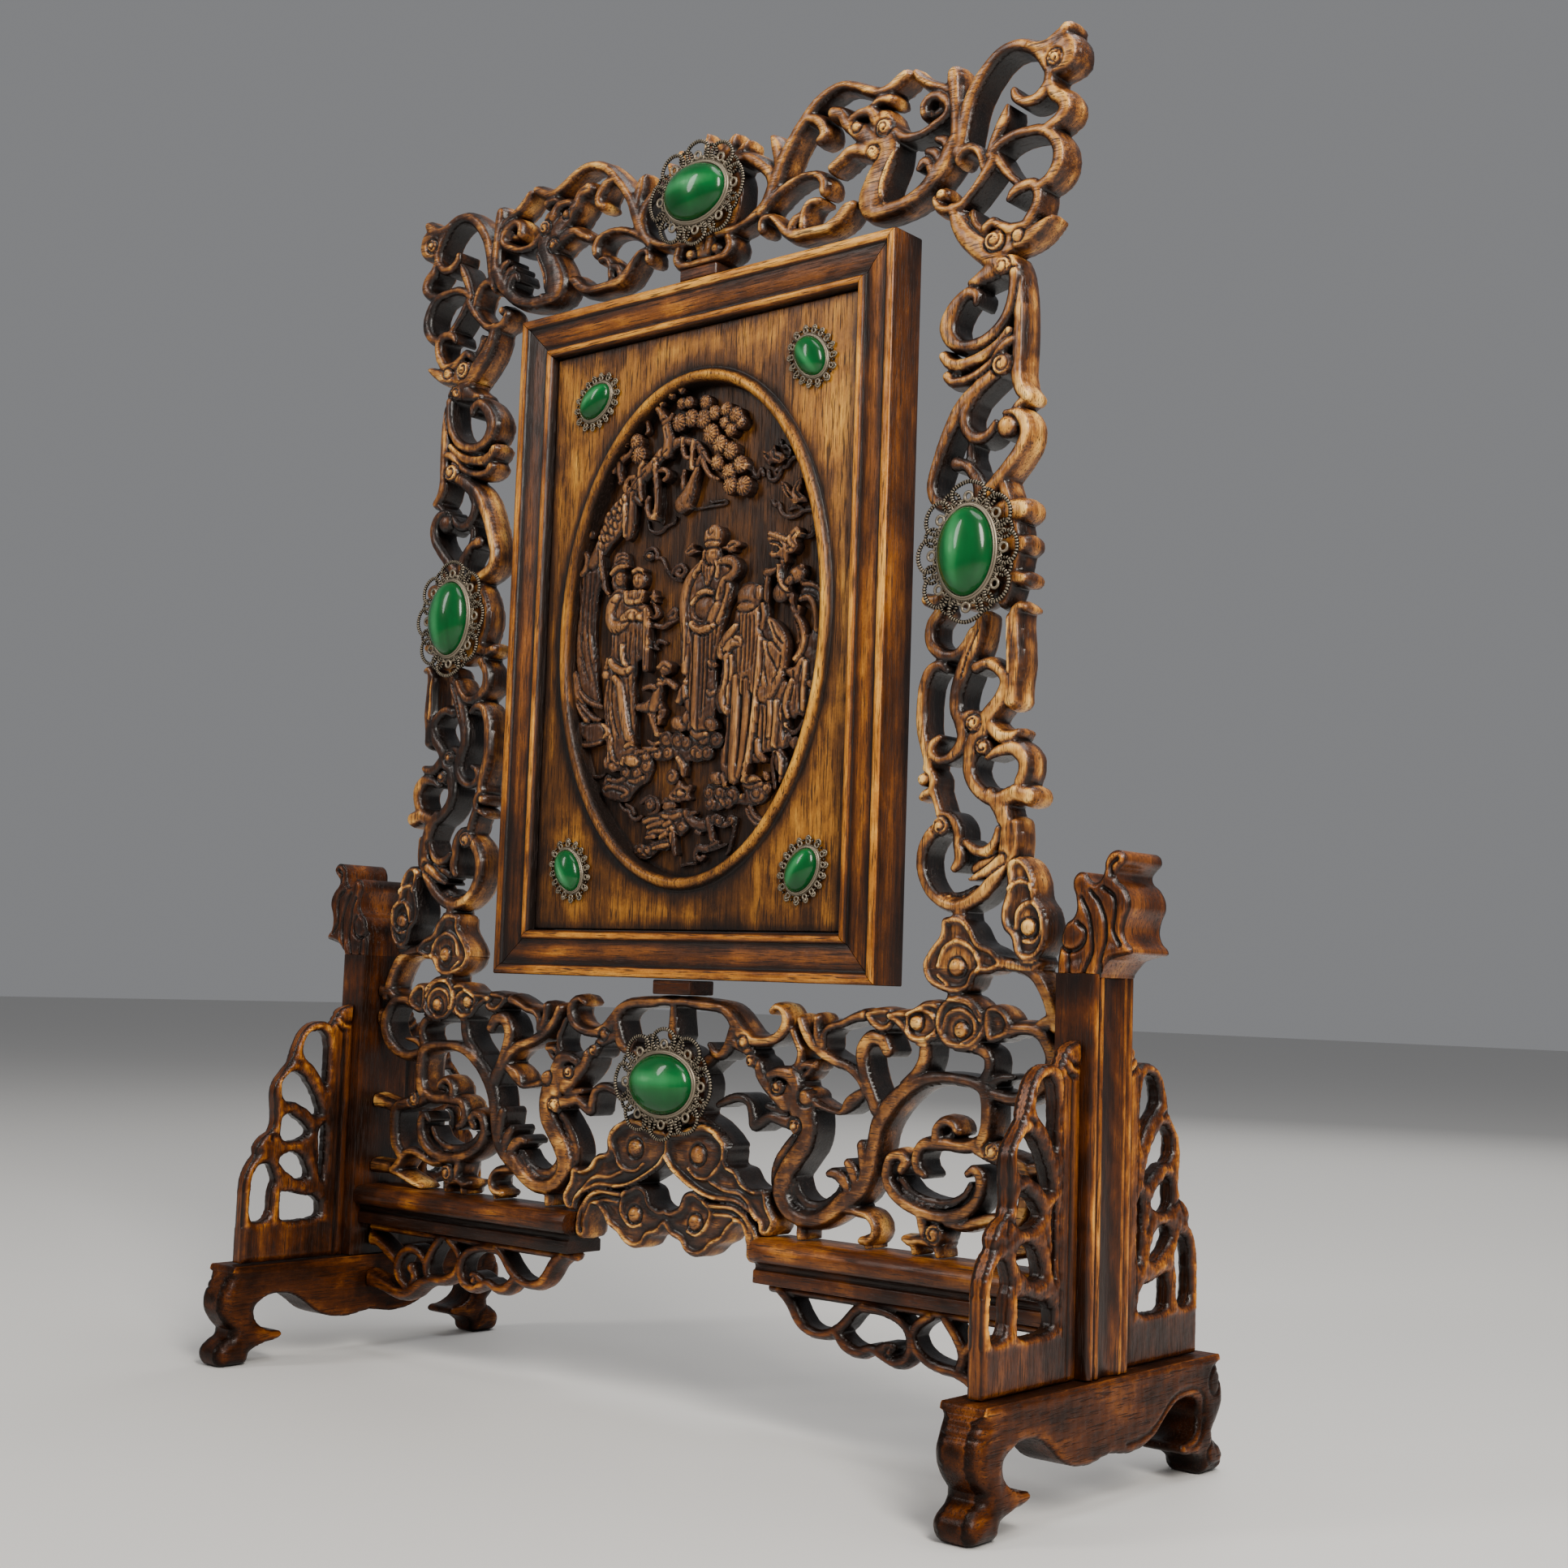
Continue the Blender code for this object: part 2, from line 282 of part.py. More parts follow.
# lower board: arch, dragon, comb leaf, ring scroll, cloud band
BOARD = [
    ('R', 1.6, [(0, 121.9, 1.4), (4.5, 122, 1.4), (9.5, 121.5, 1.7), (14.6, 121.2, 1.7),
        (19.6, 120.5, 1.8), (23, 118.4, 2.1), (25.6, 115.3, 2.6), (28.6, 112.8, 2.4),
        (32.6, 111.5, 1.7), (37.6, 111.8, 1.6), (42.1, 113.8, 1.8), (44.3, 117.5, 1.9),
        (43, 120.8, 1.5), (40.2, 121.6, 1.2), (38.4, 120.4, 0.9)]),
    ('R', 1.8, [(24.2, 114.5, 2), (22.6, 109.9, 2.2), (19.8, 106.9, 1.7), (17.2, 107.4, 1.3),
        (15.3, 109.6, 0.9)]),
    ('R', 1.8, [(23.6, 111, 2), (27.6, 109.6, 1.8), (31.6, 107.8, 1.6)]),
    ('K', 1.2, [(28.6, 111, 1.8)]),
    ('R', 1.8, [(0, 112, 2.4), (0, 116.5, 1.7), (0, 120.4, 1.2)]),
    ('P', 3, [(0, 110), (7.5, 107.5), (13, 101), (14.1, 96), (11.5, 88.5), (5.5, 84.5), (0, 83.5)]),
    ('R', 2.4, [(11.5, 103, 2.4), (16.1, 106, 2), (18.6, 107, 1.4)]),
    ('R', 1.8, [(49.6, 118.4, 1.5), (51.1, 115.2, 1.6), (53.6, 112, 1.8), (57.6, 109.3, 1.8),
        (62.6, 107, 1.7), (67.6, 105.6, 1.7), (71.6, 103, 2), (75.1, 99, 2.2), (77.6, 94.5, 2.3)]),
    ('R', 1.8, [(55.6, 118.9, 1.5), (55.8, 115.3, 1.5), (57.2, 111.4, 1.6)]),
    ('R', 1.8, [(72.2, 120.4, 1.8), (69.1, 119.6, 1.5), (64.6, 117.8, 1.3), (60.6, 116.8, 1.2),
        (58.4, 114.5, 1.2), (58.1, 111.3, 1.4)]),
    ('R', 2.4, [(46.6, 115, 1.2), (48.2, 112, 1.2), (49.6, 109.3, 1.3), (49.2, 106.2, 1.3),
        (47.6, 104, 1.3)]),
    ('R', 2.4, [(49.2, 103.6, 1.3), (51.4, 105.6, 1.2), (54.8, 105.4, 1.2)]),
    ('R', 2.6, [(49.6, 101.5, 1.3), (52.6, 103.2, 1.2), (55.2, 106.5, 0.8)]),
    ('R', 1.4, [(51.1, 95, 4.4), (53.6, 88.5, 3.2), (52.6, 83.5, 3.2), (49.6, 79.4, 3.2),
        (46.5, 75.4, 3.2), (44.5, 71.4, 3.1), (44.6, 67.4, 2.9), (47.6, 63.7, 2.6), (52.6, 61.9, 2.3),
        (58.1, 62.3, 2.4), (63.1, 65, 2.6), (67.6, 68.7, 2.9), (72.1, 71.9, 3.3), (75.4, 76.9, 2.9),
        (77.2, 84, 2.6), (78.6, 90, 2.8), (81.6, 95, 2.9), (86.1, 99.3, 2.6), (91.6, 102.6, 2.2),
        (97.6, 104.2, 1.8), (103.6, 104.3, 1.7), (109.7, 103.7, 1.8), (113.7, 101.8, 2.2),
        (114.7, 97.5, 2.3), (114.6, 92, 2.3), (113.3, 88, 2.3)]),
    ('L', 3.6, [(49, 86.5, 1), (45, 81.9, 1.4), (41.9, 77.4, 1.7), (40.9, 72.9, 1.8), (41.4, 68.9, 1.5)]),
    ('L', 4, [(47.8, 73.9, 1.2), (49.1, 68.9, 1.7), (53.2, 65.9, 1.8), (58.6, 66.1, 1.8),
        (63.2, 69.1, 1.5), (65, 71.9, 1)]),
    ('R', 1.2, [(45.6, 94.6, 3.2), (48.2, 97.6, 3.6), (49.6, 92.6, 3)]),
    ('R', 0.9, [(32.4, 105.6, 2.1), (35, 104.4, 1.9), (36.2, 101.6, 2), (39, 99, 2.4),
        (42.2, 96.4, 2.4), (45, 94.3, 2.4)]),
    ('V', 0.6, [(32.3, 105.8, 2.1)]),
    ('R', 0.8, [(39.6, 102, 1.5), (43.2, 103, 1.9), (47, 102.3, 2.3), (49.4, 99.4, 2.2)]),
    ('V', 0.5, [(42.7, 98.8, 2.2)]),
    ('R', 1.6, [(19.6, 92.3, 0.9), (23.6, 94, 1.4), (28.1, 94.9, 1.4), (31.6, 93.3, 1.4),
        (32.9, 90, 1.6), (33.6, 87.3, 1.9), (36.3, 88.3, 1.8), (39.6, 90, 1.7), (44.1, 89.3, 2),
        (48.6, 88.6, 2.2)]),
    ('R', 2.2, [(38.2, 93, 1), (41.2, 92.4, 1.2), (44.2, 92, 1.2)]),
    ('V', 0.9, [(49.4, 88, 2.2)]),
    ('K', 0.5, [(53, 96.4, 2.5)]),
    ('R', 1.5, [(69.6, 71.4, 2), (67.4, 74.1, 2.1), (64.1, 75.9, 1.7), (62, 75.7, 1)]),
    ('R', 1.5, [(72.1, 73.4, 1.9), (70.4, 76.9, 2), (68.6, 79.1, 1.4)]),
    ('R', 1.4, [(75, 75.9, 2.2), (74.1, 80.9, 2.1), (73.3, 84.2, 1.8)]),
    ('G', 0.9, [(70.4, 71.9, 0.3), (68.8, 75.3, 0.3), (67.1, 77.3, 0.3)]),
    ('G', 0.9, [(72.8, 74.9, 0.3), (72.2, 78.9, 0.3), (70.9, 81.3, 0.3)]),
    ('R', 2, [(60.6, 64.1, 1.2), (66.6, 65.9, 1.4), (71.6, 65.9, 1.4), (76.1, 64.9, 1.4),
        (78.1, 61.7, 1.4), (76.6, 58.8, 1.4), (73.2, 58.2, 1.1)]),
    ('R', 2.2, [(55.1, 95, 1.5), (60.1, 93.6, 0.9), (65.1, 93, 0.9), (67.6, 95.4, 2.3),
        (70.1, 97.2, 2.3), (73.2, 99, 1.6)]),
    ('R', 1.6, [(78.6, 94, 2.1), (75.1, 100.5, 1.9), (72.8, 106, 2.1), (72.3, 110.5, 2.3),
        (75, 114, 2.3), (78.9, 113.8, 2.3), (81.1, 110.9, 1.9)]),
    ('D', 1.3, [(73.6, 121.2), (77.6, 122.6), (82, 122.4), (83.6, 119.6), (82.6, 117), (79.2, 116),
        (75.6, 117.6)]),
    ('D', 0.9, [(81.2, 120.4), (85.6, 117.6), (89.6, 114), (93.6, 113.4), (98.1, 114.6),
        (101.2, 116.5), (100.6, 121), (98.6, 124.6), (94.1, 125), (89.6, 122.6), (83.6, 122)]),
    ('E', 0.5, [(88.9, 116.6, 0.6), (88.4, 120.2, 0.6), (91.6, 122.6, 0.7), (96.4, 121.4, 0.7),
        (98, 117.6, 0.6), (95.6, 115.2, 0.5)]),
    ('K', 0.3, [(91.5, 119, 2.1)]),
    ('D', 0.7, [(98.2, 119), (100, 114.6), (103.6, 112.5), (109.7, 112.9), (113.3, 115.4),
        (114.7, 119), (113.3, 123), (108.7, 126.6), (104.1, 126.8), (99.6, 124.4)]),
    ('E', 0.3, [(100.6, 117, 0.6), (101.8, 121.4, 0.7), (106.3, 123, 0.7), (110.5, 120.6, 0.7),
        (110.7, 116.4, 0.6), (107.1, 114.2, 0.5)]),
    ('E', 0.5, [(102.6, 125.6, 0.4), (108.7, 124.4, 0.5), (112.7, 120, 0.4)]),
    ('K', 0.2, [(106.5, 117.6, 2.3)]),
    ('D', 1.6, [(113.5, 123.2), (117.7, 124.4), (121.3, 121.8), (121.9, 118), (119.1, 115.4),
        (114.3, 115.2)]),
    ('R', 1.8, [(121.2, 118, 2.1), (124.7, 118.8, 1.8), (128.7, 118.5, 1.8), (132.2, 116.2, 2),
        (134.7, 111, 2.3), (132.9, 105.5, 2.5), (128.5, 101.8, 2.3), (122.7, 100, 1.8),
        (115.7, 101, 1.8)]),
    ('R', 2.2, [(129.7, 119, 2), (133.7, 121, 2.2), (138.3, 121.5, 2.4)]),
    ('R', 2.4, [(134.3, 113, 2.4), (139.2, 112.4, 3)]),
    ('R', 1.9, [(93.9, 114.5, 2.1), (93.4, 109, 2.1), (91.4, 105.2, 2.2), (87.6, 101.4, 2.4)]),
    ('R', 1.8, [(105.6, 113.2, 1.5), (111.2, 112.8, 1.7), (114.5, 111, 1.7), (115, 107.5, 1.6),
        (113.3, 104, 2)]),
    ('R', 2.4, [(114.7, 103.5, 1.7), (118.7, 105.3, 1.2), (122.9, 105.8, 0.7)]),
    ('R', 1.8, [(113.3, 88.4, 2.2), (108.2, 86.6, 1.9), (102.6, 86.7, 1.8), (97.6, 86.6, 1.9),
        (93.6, 85.9, 1.9), (91.8, 83, 1.8), (92.4, 79.7, 1.7), (94.6, 78.1, 1.2)]),
    ('R', 1.7, [(98.2, 87.5, 1.9), (98.6, 91, 1.7), (101.1, 92.9, 1.5), (104, 92.2, 1.4),
        (105.2, 90.4, 1.1)]),
    ('L', 3.8, [(101.6, 88.5, 1.2), (103.4, 90.2, 1.2)]),
    ('R', 1.8, [(111.7, 86.6, 2.2), (116.7, 84.8, 2.2), (121.7, 84, 2.2), (126.7, 81.9, 2.3),
        (127.3, 75.9, 2.3), (126.1, 69.9, 2.2), (122.7, 66.3, 2)]),
    ('R', 2.2, [(126.7, 81.9, 2.2), (132.7, 83.2, 2), (139.2, 84, 2.4)]),
    ('V', 1.2, [(116.9, 86, 2.6)]),
    ('R', 1.6, [(87, 78.9, 1.5), (88.4, 81.1, 1.7), (86.4, 82.8, 1.6), (83.2, 81.7, 1.7),
        (81.9, 78.1, 1.8), (82.6, 74.3, 1.9), (86, 70.9, 1.9), (90.6, 68.8, 1.8), (96.1, 67.5, 1.8),
        (101.6, 67.3, 1.9), (106.7, 68.5, 1.9), (110.7, 71.1, 1.8), (113.1, 74.9, 1.8),
        (113.1, 78.9, 1.8), (111.1, 80.7, 1.4), (109.1, 79.5, 1)]),
    ('L', 3.8, [(85.6, 76.3, 1), (89.6, 72.5, 1.3), (95.6, 70.8, 1.3), (101.6, 70.9, 1.2),
        (106.7, 73.2, 1), (109.1, 76.5, 0.9)]),
    ('R', 2, [(102.6, 65.9, 1.7), (107.7, 65.5, 1.5), (112.2, 66.9, 1.6), (117.2, 68.2, 1.7),
        (121.2, 67.1, 1.7), (124.2, 63.9, 1.8), (127.2, 61.3, 1.5)]),
    ('R', 2.2, [(112.7, 56.9, 1.2), (117.7, 58.3, 1.4), (122.7, 59.9, 1.4), (127.2, 60.9, 1.4)]),
    ('R', 2.4, [(126.7, 61.4, 2), (132.7, 61.9, 2), (139.2, 61.9, 2.4)]),
    ('R', 1.9, [(93.6, 67.4, 1.9), (94.6, 63.5, 1.8), (96.2, 60.7, 1.6)]),
    ('R', 1.9, [(99.1, 60.1, 1.8), (93.6, 60.3, 1.4), (90.1, 59.7, 1.4), (88, 60.3, 0.9)]),
    ('V', 1.2, [(98.7, 62.6, 3)]),
    ('R', 2.4, [(98.6, 59.9, 1.4), (99.6, 56.9, 1.4)]),
    ('R', 2.4, [(91.6, 59.9, 1.3), (91.6, 56.9, 1.4)]),
    ('R', 2.4, [(75.6, 58.9, 1.3), (75.6, 55.9, 1.4)]),
    ('R', 2.4, [(51.6, 61.9, 1.6), (51.6, 55.9, 1.8)]),
    ('R', 2.2, [(9.5, 87, 3), (16, 85.6, 1.8), (20.1, 83, 1.7), (23.2, 80.5, 1.5)]),
    ('D', 0.9, [(-1.1, 80.5), (-1, 76.3), (1.1, 72.7), (3.9, 70.8), (8.5, 68.1), (14.6, 65.3),
        (21.6, 64.1), (28.6, 63.9), (36.4, 59.9), (37.6, 56.5), (41, 56.1), (43.4, 60.3), (40.8, 64.9),
        (39.2, 69.3), (34.8, 69.1), (31.4, 70.7), (28.6, 74.1), (24.6, 75.3), (24.6, 78.9),
        (23.4, 82.2), (19.2, 84.8), (13.6, 86), (5.5, 84), (0, 83)]),
    ('E', 0.3, [(19.8, 83.4, 0.6), (23, 79.5, 0.7), (21.4, 74.9, 0.7), (17.6, 70.8, 0.6),
        (12.5, 70.5, 0.5), (9.1, 72.9, 0.5)]),
    ('E', 0.4, [(18, 69.7, 0.5), (23.6, 67.7, 0.6), (29.6, 67.1, 0.6), (33.6, 64.3, 0.6),
        (36.6, 60.5, 0.5)]),
    ('E', 0.4, [(0.1, 75.9, 0.6), (3.5, 72.3, 0.6), (8.5, 69.1, 0.6), (14.6, 66.3, 0.6),
        (20.6, 65.1, 0.5)]),
    ('E', 0.5, [(25, 74.3, 0.5), (28.6, 72.7, 0.6), (31.2, 69.7, 0.6), (35.6, 68.3, 0.5)]),
    ('K', 0.2, [(12.9, 77.2, 3.1)]),
    ('D', 1.2, [(0, 60.3), (2.5, 59.9), (5.9, 61.5), (7.7, 65.1), (11.5, 66.5), (15.6, 64.9),
        (19.6, 63.7), (26.6, 64.2), (31, 62.9), (34.6, 59.9), (37.2, 54.9), (37, 48.9), (33, 48.7),
        (32.2, 53.9), (30.6, 57.7), (29.2, 58.5), (25.8, 56.1), (23.6, 53.1), (19.6, 51.1),
        (16.6, 48.5), (12.5, 47.3), (8.5, 48.5), (6.5, 51.1), (2.5, 52.5), (0, 54.9)]),
    ('E', 0.6, [(16.2, 63.9, 0.6), (18.2, 60.5, 0.7), (17, 56.5, 0.7), (13.6, 53.9, 0.6),
        (9.5, 54.5, 0.5)]),
    ('E', 0.6, [(18.6, 62.9, 0.5), (25.6, 62.9, 0.6), (30.6, 61.3, 0.7), (33.6, 57.5, 0.7),
        (34.8, 51.9, 0.8)]),
    ('E', 0.9, [(19.6, 60.3, 0.5), (25.6, 60.5, 0.6), (30, 58.9, 0.5)]),
    ('K', 0.6, [(12.4, 57.3, 2.7)]),
]

# pierced apron bracket below the rail (right side)
APRON = [
    ('R', 1, [(40.7, 41.6, 1.1), (78.9, 41.6, 1.1), (138.6, 41.6, 1.1)]),
    ('R', 0.6, [(44.3, 41.7, 1.6), (48.3, 38.5, 1.7), (51.4, 34.1, 1.7), (54.8, 31.6, 1.4),
        (59.3, 30.9, 1.2), (63.8, 31.9, 1.3), (67.8, 34.7, 1.3), (71.3, 38.5, 1.2), (74.9, 40.7, 1.2)]),
    ('R', 0.4, [(65.3, 32.2, 1.3), (68.8, 28.9, 1.6), (73.3, 27.8, 1.4), (77.9, 29.3, 1.2),
        (81.9, 27.9, 1.3), (86.4, 26.8, 1.4), (89.9, 28.5, 1.4), (91.2, 31.7, 1.3), (90.3, 35.7, 1.2),
        (86.9, 38.5, 1.1), (80.9, 40.1, 1.1), (74.9, 40.1, 1.1)]),
    ('R', 0.5, [(79.9, 29.3, 1.1), (82.5, 30.4, 1.3), (85.1, 30.9, 1.1)]),
    ('R', 0.6, [(91.2, 34.9, 1.2), (93.4, 38.1, 1.2), (97.4, 40.7, 1.2)]),
    ('R', 0.4, [(91.3, 34.9, 1.2), (92.9, 31.3, 1.3), (96.5, 28.7, 1.4), (100.9, 27.5, 1.4),
        (106, 26.9, 1.4), (111, 25, 1.6), (116, 22, 1.9), (122, 20.9, 1.9), (129, 22.5, 2),
        (138.6, 24.2, 2.4)]),
    ('R', 0.6, [(107, 27.3, 1.2), (108.2, 31.7, 1.4), (106, 36.2, 1.3), (102.4, 40.5, 1.3)]),
    ('R', 0.5, [(108.2, 32.1, 1.3), (112, 35.2, 1.3), (117, 36, 1.3), (121.2, 33.5, 1.4),
        (123, 29.3, 1.4), (121.4, 25.7, 1.3), (118, 23.7, 1.3)]),
    ('R', 0.6, [(122.6, 30.7, 1.4), (128, 33.7, 1.6), (133, 36.5, 1.6), (138.6, 37.7, 2.2)]),
    ('K', 0.3, [(84.3, 29.3, 1)]),
    ('K', 0.3, [(115.6, 29.9, 1.5)]),
    ('R', 0.9, [(115.6, 29.9, 1.2), (114.4, 26.7, 1.2), (116.4, 23.3, 1.3)]),
]
# The carved scene in the oval, in two steps of height: whole bodies, then what stands forward.
SCENE_LOW = [
    ("P", 0, [(-54.3, 257.8), (-45.2, 261.7), (-42.6, 265.3), (-40.5, 254.9), (-42.3, 251.7),
    (-43.3, 234.4), (-39.8, 215.2), (-38.1, 213.7), (-46.9, 217.3), (-49.5, 222.3), (-51.8, 234.4),
    (-51.5, 252.1), (-53.5, 253.9)]),
    ("P", 0, [(-47.8, 260.2), (-39.8, 277.5), (-25, 289.2), (-18.6, 291.4), (-18.8, 288.6), (-29.3, 279.6),
    (-33.6, 269.2), (-45, 259.3)]),
    ("R", 0, [(-27, 284.9, 1.9), (-19.3, 290.6, 2), (-12.5, 295.5, 2.1), (-4.6, 295.9, 1.3),
    (1.5, 292.1, 0.9)]),
    ("R", 0, [(-13.6, 293.4, 1.9), (-13.5, 300.5, 2.1), (-14.8, 303.5, 1.7), (-16, 306.1, 1.3),
    (-19, 309.4, 0.5)]),
    ("R", 0, [(-0.3, 286.4, 0.9), (-2.2, 283, 1.5), (-3.6, 280, 2.4), (-5.6, 277.2, 3.1),
    (-6.7, 276.4, 3.2)]),
    ("R", 0, [(-28.2, 282.3, 1.2), (-28.2, 278, 1.6), (-28.5, 273, 1.7), (-29.2, 269.5, 1.5),
    (-29.9, 268.5, 1.2)]),
    ("R", 0, [(-53.6, 257.6, 1.2), (-48.3, 259.9, 1), (-48.7, 265.1, 1), (-50.9, 265.5, 0.9),
    (-51.6, 262.1, 0.7)]), ("R", 0, [(-26.9, 298.9, 2.6)]), ("R", 0, [(-25.5, 294.4, 2.9)]),
    ("R", 0, [(2.4, 307.3, 2.3)]), ("R", 0, [(-3.3, 303.1, 2.8)]), ("R", 0, [(-8.2, 302.4, 2.9)]),
    ("R", 0, [(6.3, 303.4, 2.3)]), ("R", 0, [(1.7, 302.1, 3)]), ("R", 0, [(11.3, 303.7, 2.3)]),
    ("R", 0, [(17.1, 298.9, 2.1)]), ("R", 0, [(15.2, 301.3, 2.6)]), ("R", 0, [(13.5, 296.9, 2.1)]),
    ("R", 0, [(5.2, 296.9, 3.1)]), ("R", 0, [(9.2, 293.1, 2.8)]), ("R", 0, [(13.8, 290.3, 2.7)]),
    ("R", 0, [(8.1, 287.4, 2.4)]), ("R", 0, [(17.5, 285.6, 2.7)]), ("R", 0, [(13.1, 283.7, 2.7)]),
    ("R", 0, [(19.5, 278.6, 3)]), ("R", 0, [(13.8, 279.4, 2.7)]),
    ("P", 0, [(-35.5, 262.3), (-34, 263.9), (-30.4, 263.6), (-29.1, 258.8), (-30.7, 257.7), (-31.3, 250.5),
    (-34.5, 250.9), (-36.1, 253.8)]), ("R", 0, [(-32.1, 255.1, 2.4)]),
    ("P", 0, [(-34.3, 251.9), (-30.7, 251.9), (-28.9, 248), (-20.4, 245.8), (-18.9, 229.4), (-23.2, 227.9),
    (-24.8, 220.8), (-21.8, 197.9), (-28.9, 193.6), (-35.4, 195.4), (-37.1, 215), (-34.9, 236.5),
    (-37.5, 243.7), (-37.5, 248)]), ("R", 0, [(-23.7, 254, 3.1)]),
    ("P", 0, [(-29.1, 250.3), (-26.9, 250.7), (-21.1, 250.3), (-20.8, 247.8), (-22.2, 246.2),
    (-27.6, 246.4), (-29.4, 247.8)]),
    ("R", 0, [(-32.6, 249.1, 1.3), (-35, 246.8, 1.9), (-35.4, 242.6, 2.2), (-30.7, 239.8, 2),
    (-27.7, 242.1, 1.7)]),
    ("R", 0, [(-29.1, 241.9, 1.7), (-25.8, 243.3, 1.7), (-22.5, 242, 1.6), (-19.3, 242.5, 1.4)]),
    ("R", 0, [(-19.5, 243.8, 1), (-19.2, 239.1, 1.1), (-19, 234, 1.2), (-18.8, 229.1, 1.3),
    (-18.8, 225.4, 1.3)]),
    ("R", 0, [(-32, 223.1, 1.2), (-29.8, 220, 1.7), (-28.4, 214.2, 1.8), (-25.1, 203.9, 1.6),
    (-23.8, 202, 1.2)]),
    ("P", 0, [(-34.4, 205.8), (-32.7, 204.4), (-32, 200.1), (-28.6, 195.8), (-31.4, 194.4), (-35, 194.4),
    (-35.8, 196.5)]),
    ("R", 0, [(-12, 222.2, 1.2), (-13.2, 218.6, 1.7), (-14.4, 215, 2.1), (-15.2, 212.6, 1.7)]),
    ("R", 0, [(-10.4, 224.8, 2.5)]),
    ("P", 0, [(2.5, 257.6), (-5, 250.1), (-5.7, 245.1), (-3.3, 221.6), (-1.6, 222.2), (-1.7, 220),
    (-4.2, 217.9), (-5.6, 213.6), (-3.9, 212.9), (-1.6, 215), (-0.7, 205), (4.8, 203.6), (8.4, 205),
    (10.9, 215), (10, 223.6), (16, 249.4), (18.3, 253.5), (15.8, 256.8)]),
    ("R", 0, [(2.4, 255.6, 1.2), (-2.9, 249.1, 2), (-2.9, 238.4, 2.2), (-1.9, 232.7, 2),
    (-2.1, 223.4, 1.5)]),
    ("R", 0, [(10, 255.8, 0.8), (15.9, 255.8, 1.6), (15.9, 251.2, 1.5), (13, 249.8, 1.4), (10.7, 242.6, 1)]),
    ("R", 0, [(14.4, 248.5, 1.3), (14.3, 244.9, 1.4), (12, 241.4, 1.4), (10.7, 237.8, 1.3)]),
    ("R", 0, [(5.2, 242.6, 4.2)]),
    ("P", 0, [(4.5, 260.5), (10.3, 260.5), (10.8, 257.7), (10, 255.9), (6.7, 255.2), (4.1, 257)]),
    ("P", 0, [(4, 257.4), (6.3, 255.9), (8.4, 257.4), (8.9, 254.9), (7.6, 251.3), (5.9, 249), (3.6, 254.5)]),
    ("R", 0, [(7.9, 258.4, 3.2)]),
    ("P", 0, [(8, 267.6), (10.5, 267.2), (11.8, 265.2), (10.5, 260.9), (6.9, 260.7), (5.1, 261.4),
    (4.9, 265.5)]),
    ("R", 0, [(2.4, 233.6, 1.1), (2.6, 222.9, 1.2), (2.4, 212.9, 1.3), (2.6, 205.7, 1.3),
    (2.4, 203.9, 0.9)]), ("R", 0, [(-4.3, 207.1, 3)]), ("R", 0, [(9.2, 206.2, 2.4)]),
    ("P", 0, [(18.3, 240.8), (10.4, 226.5), (12.6, 225), (10.4, 214.3), (11.5, 210), (14.7, 208.6),
    (14.9, 200.7), (13.3, 196.4), (14, 190), (16.9, 188.5), (21.2, 189.3), (23.3, 193.6), (29, 193.6),
    (30.4, 196.4), (39.2, 198.6), (40.4, 215), (37.2, 218.6), (38.4, 225), (36.9, 230.8), (30.4, 237.9),
    (29.7, 247.9), (33.3, 251.9), (28.7, 251.5), (26.9, 242.2)]),
    ("P", 0, [(19.8, 241.3), (23.5, 239.8), (27.8, 242), (28.8, 230.5), (26.4, 214.8), (20, 215.1),
    (19.2, 229.8)]), ("R", 0, [(23.2, 244.1, 4.8)]), ("R", 0, [(22.5, 241.1, 2.5)]),
    ("R", 0, [(18.5, 235.5, 0.8), (15.5, 232.8, 1.5), (13.2, 229.3, 1.8), (13.1, 227.1, 1.6),
    (15.4, 227.2, 1.2)]),
    ("R", 0, [(15.2, 226.4, 1.5), (15.6, 222.1, 1.5), (14.8, 217.8, 1.6), (15.2, 210.7, 1.8),
    (16.5, 209.6, 1.2)]),
    ("P", 0, [(30.5, 237.1), (33.6, 236.2), (37.2, 232.8), (39, 228.5), (37.2, 218.5), (31.5, 211.3),
    (28.9, 211.7), (27.9, 214.2)]),
    ("R", 0, [(19, 219.6, 1.5), (19.1, 211.4, 1.9), (19.1, 202.9, 2.1), (19, 194.3, 2.3),
    (19.1, 189.6, 2.2)]),
    ("R", 0, [(23.2, 218.6, 1.3), (23.4, 211.5, 1.6), (23, 202.9, 1.6), (22.1, 194.3, 1.4), (21.2, 190, 1)]),
    ("R", 0, [(12.4, 189.6, 2.4)]), ("R", 0, [(27.1, 188.3, 2.2)]),
    ("P", 0, [(29.9, 262.8), (37.6, 261.1), (41.6, 263.5), (42.5, 261.5), (41, 259.8), (41.6, 257.7),
    (38.3, 255.5), (37.8, 253.2), (35.9, 252.9), (35, 254.8), (30.8, 256.4), (34.5, 258.2), (31.5, 259.1)]),
    ("R", 0, [(41.3, 249.2, 2.9)]), ("R", 0, [(35.7, 244.4, 3.2)]),
    ("P", 0, [(27.3, 241.6), (30.2, 241.6), (30.6, 238), (32, 234.4), (33.7, 230.1), (30.2, 230.1),
    (28, 233.7)]),
    ("P", 0, [(43, 247.1), (49.2, 245.4), (49.5, 222.4), (47.1, 209.5), (45, 208.1), (44.7, 215.3),
    (42.8, 217.7), (40.7, 216.7), (40, 221), (47.1, 233.2), (46.4, 238.2), (44.2, 241.8), (42.1, 242.5)]),
